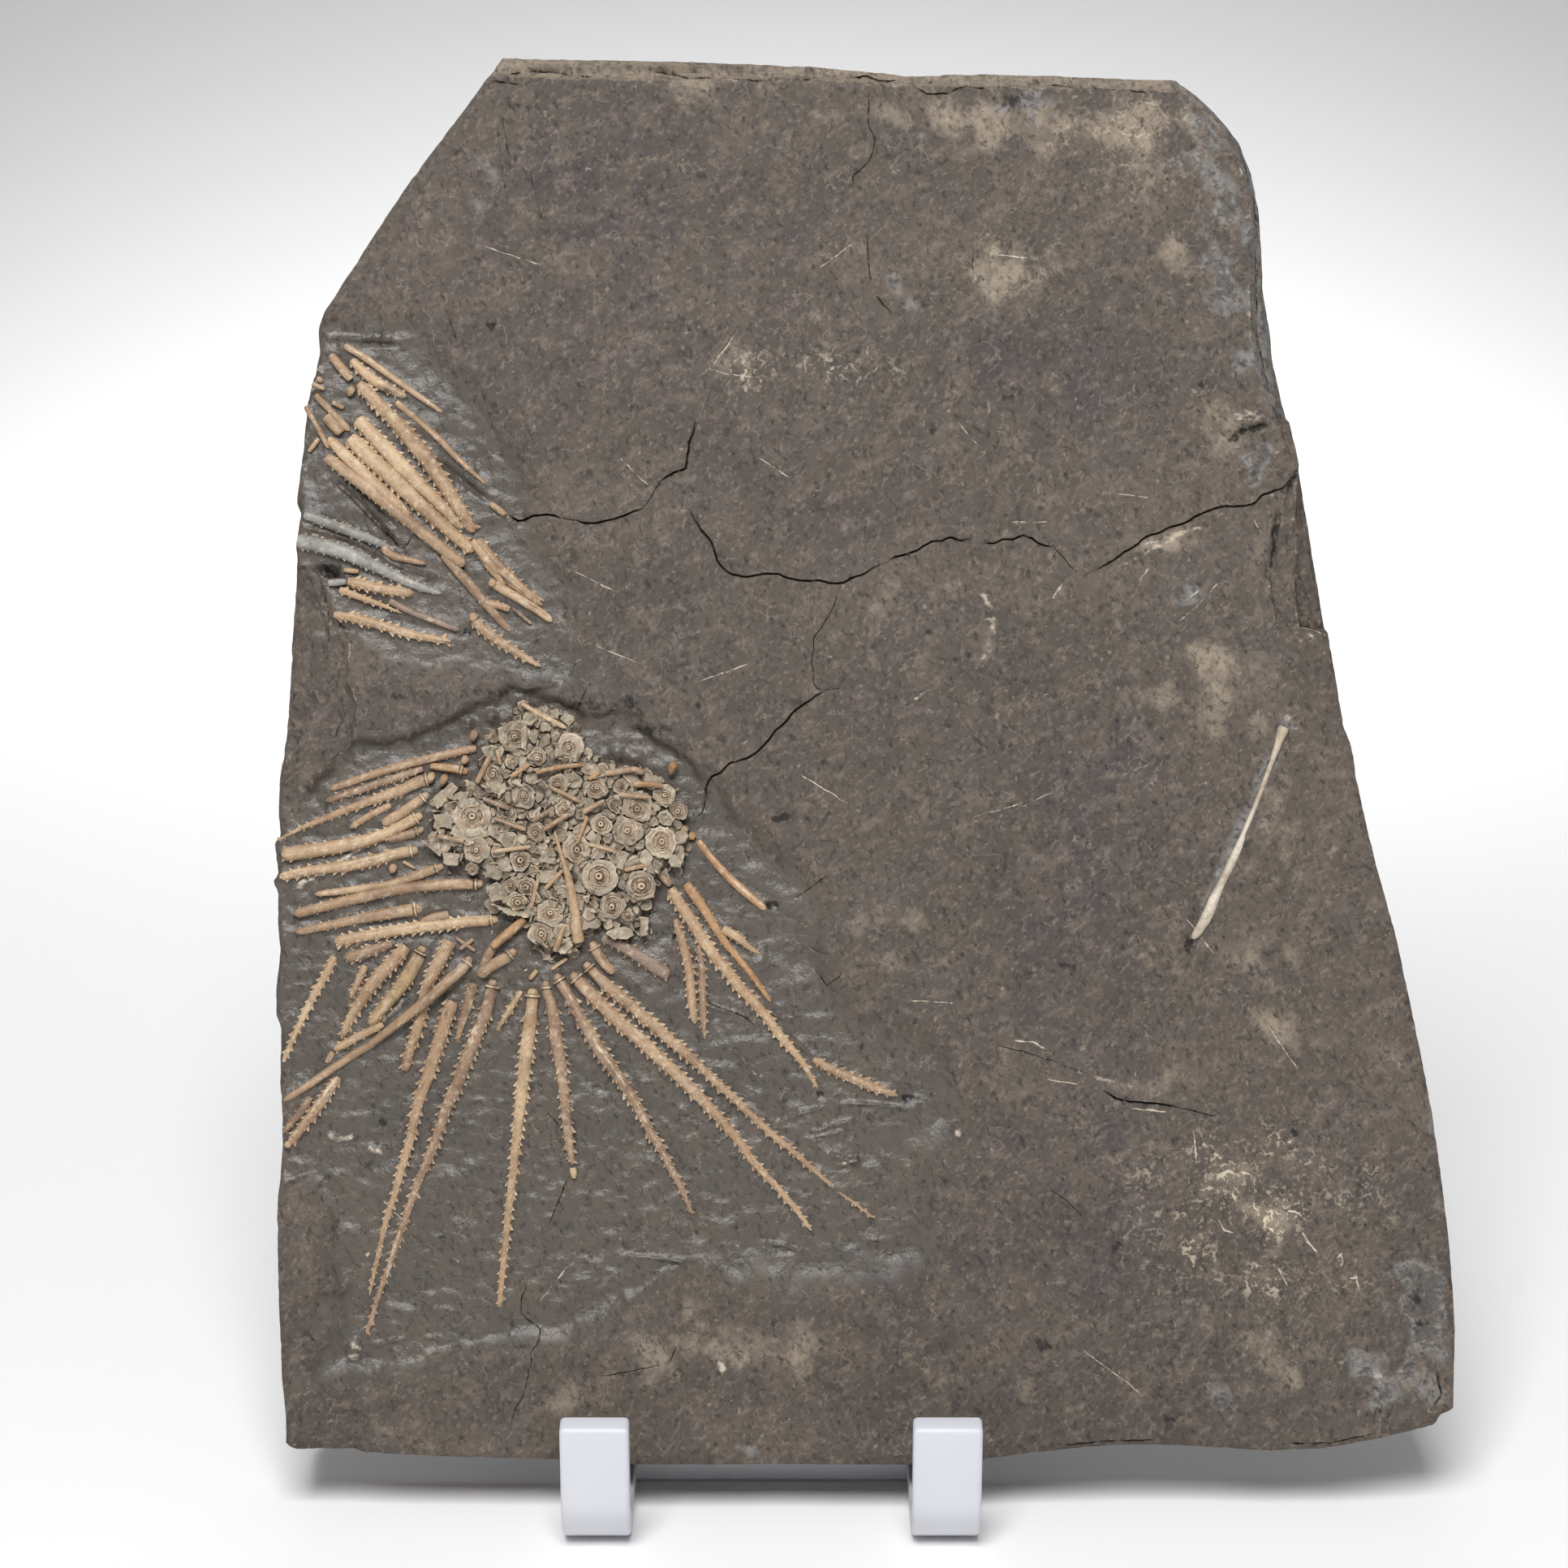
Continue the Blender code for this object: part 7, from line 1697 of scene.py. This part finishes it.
def paper_sweep(context, settings):
    """The paper: flat floor, a quarter turn behind the object, then straight up."""
    profile = [(SWEEP_FRONT, 0), (SWEEP_BEND, 0)]
    for a in np.linspace(0, math.pi / 2, 25)[1:]:
        profile.append((SWEEP_BEND + SWEEP_RADIUS * math.sin(a), SWEEP_RADIUS - SWEEP_RADIUS * math.cos(a)))
    profile.append((SWEEP_BEND + SWEEP_RADIUS, SWEEP_TOP))
    points = [(x, y, z) for x in (-SWEEP_HALF, SWEEP_HALF) for y, z in profile]
    count = len(profile)
    mesh = bpy.data.meshes.new("paper_sweep")
    mesh.from_pydata(points, [], [(i + 1, i, count + i, count + i + 1) for i in range(count - 1)])
    mesh.shade_smooth()
    mesh.materials.append(studio_paper(settings))
    sweep = bpy.data.objects.new("paper_sweep", mesh)
    context.scene.collection.objects.link(sweep)


def soft_light(context, name, place, aim, size, power, spread):
    """A square area light at a place, turned to its aim."""
    lamp = bpy.data.lights.new(name, "AREA")
    lamp.shape = "SQUARE"
    lamp.size = size
    lamp.energy = power
    lamp.spread = math.radians(spread)
    light = bpy.data.objects.new(name, lamp)
    light.location = place
    light.rotation_mode = "QUATERNION"
    light.rotation_quaternion = (Vector(aim) - Vector(place)).to_track_quat("-Z", "Y")
    context.scene.collection.objects.link(light)


def face_camera(context):
    """A camera square to the slab's face, so that the grid's steps are even all over the frame."""
    lens = bpy.data.cameras.new("camera")
    lens.sensor_width = SENSOR_MM
    lens.lens = SENSOR_MM * VIEW_DISTANCE / (VIEW_SPAN_MM * MM)
    lens.clip_start = 0.01
    camera = bpy.data.objects.new("camera", lens)
    across, up = face_mm((VIEW_MIDDLE,))[0]
    camera.matrix_world = FACE @ Matrix.Translation((across * MM, up * MM, VIEW_DISTANCE))
    context.scene.collection.objects.link(camera)
    context.scene.camera = camera


class FOSSIL_OT_stage(bpy.types.Operator):
    """Set the pale floor, the soft lights and the camera"""

    bl_idname = "fossil.stage"
    bl_label = "Stage"

    def execute(self, context):
        settings = context.scene.fossil_stage
        paper_sweep(context, settings)
        soft_light(context, "key", KEY_PLACE, KEY_AIM, KEY_SIZE, settings.key, KEY_SPREAD)
        soft_light(context, "backdrop", BACK_PLACE, BACK_AIM, BACK_SIZE, settings.back, BACK_SPREAD)
        world = bpy.data.worlds.new("studio")
        world.use_nodes = True
        background = world.node_tree.nodes["Background"]
        background.inputs["Color"].default_value = (1, 1, 1, 1)
        background.inputs["Strength"].default_value = settings.fill
        context.scene.world = world
        face_camera(context)
        context.scene.view_settings.view_transform = "Standard"
        return {"FINISHED"}


STEPS = ("slab", "spines", "test", "easel", "stage")


class FOSSIL_PT_panel(bpy.types.Panel):
    """Buttons and settings of the fossil"""

    bl_idname = "FOSSIL_PT_panel"
    bl_label = "Fossil sea urchin"
    bl_space_type = "VIEW_3D"
    bl_region_type = "UI"
    bl_category = "Fossil"

    def draw(self, context):
        for step in STEPS:
            box = self.layout.box()
            box.operator(f"fossil.{step}")
            group = getattr(context.scene, f"fossil_{step}", None)
            for name in getattr(type(group), "__annotations__", {}):
                box.prop(group, name)


GROUPS = {
    "fossil_slab": FOSSIL_PG_slab,
    "fossil_spines": FOSSIL_PG_spines,
    "fossil_test": FOSSIL_PG_test,
    "fossil_stage": FOSSIL_PG_stage,
}
OPERATORS = (FOSSIL_OT_slab, FOSSIL_OT_spines, FOSSIL_OT_test, FOSSIL_OT_easel, FOSSIL_OT_stage)
CLASSES = (*GROUPS.values(), *OPERATORS, FOSSIL_PT_panel)


def register():
    for cls in CLASSES:
        bpy.utils.register_class(cls)
    for name, group in GROUPS.items():
        setattr(bpy.types.Scene, name, PointerProperty(type=group))


def unregister():
    for name in GROUPS:
        delattr(bpy.types.Scene, name)
    for cls in reversed(CLASSES):
        bpy.utils.unregister_class(cls)


def main():
    register()
    for step in STEPS:
        getattr(bpy.ops.fossil, step)()
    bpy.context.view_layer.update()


if __name__ == "__main__":
    main()
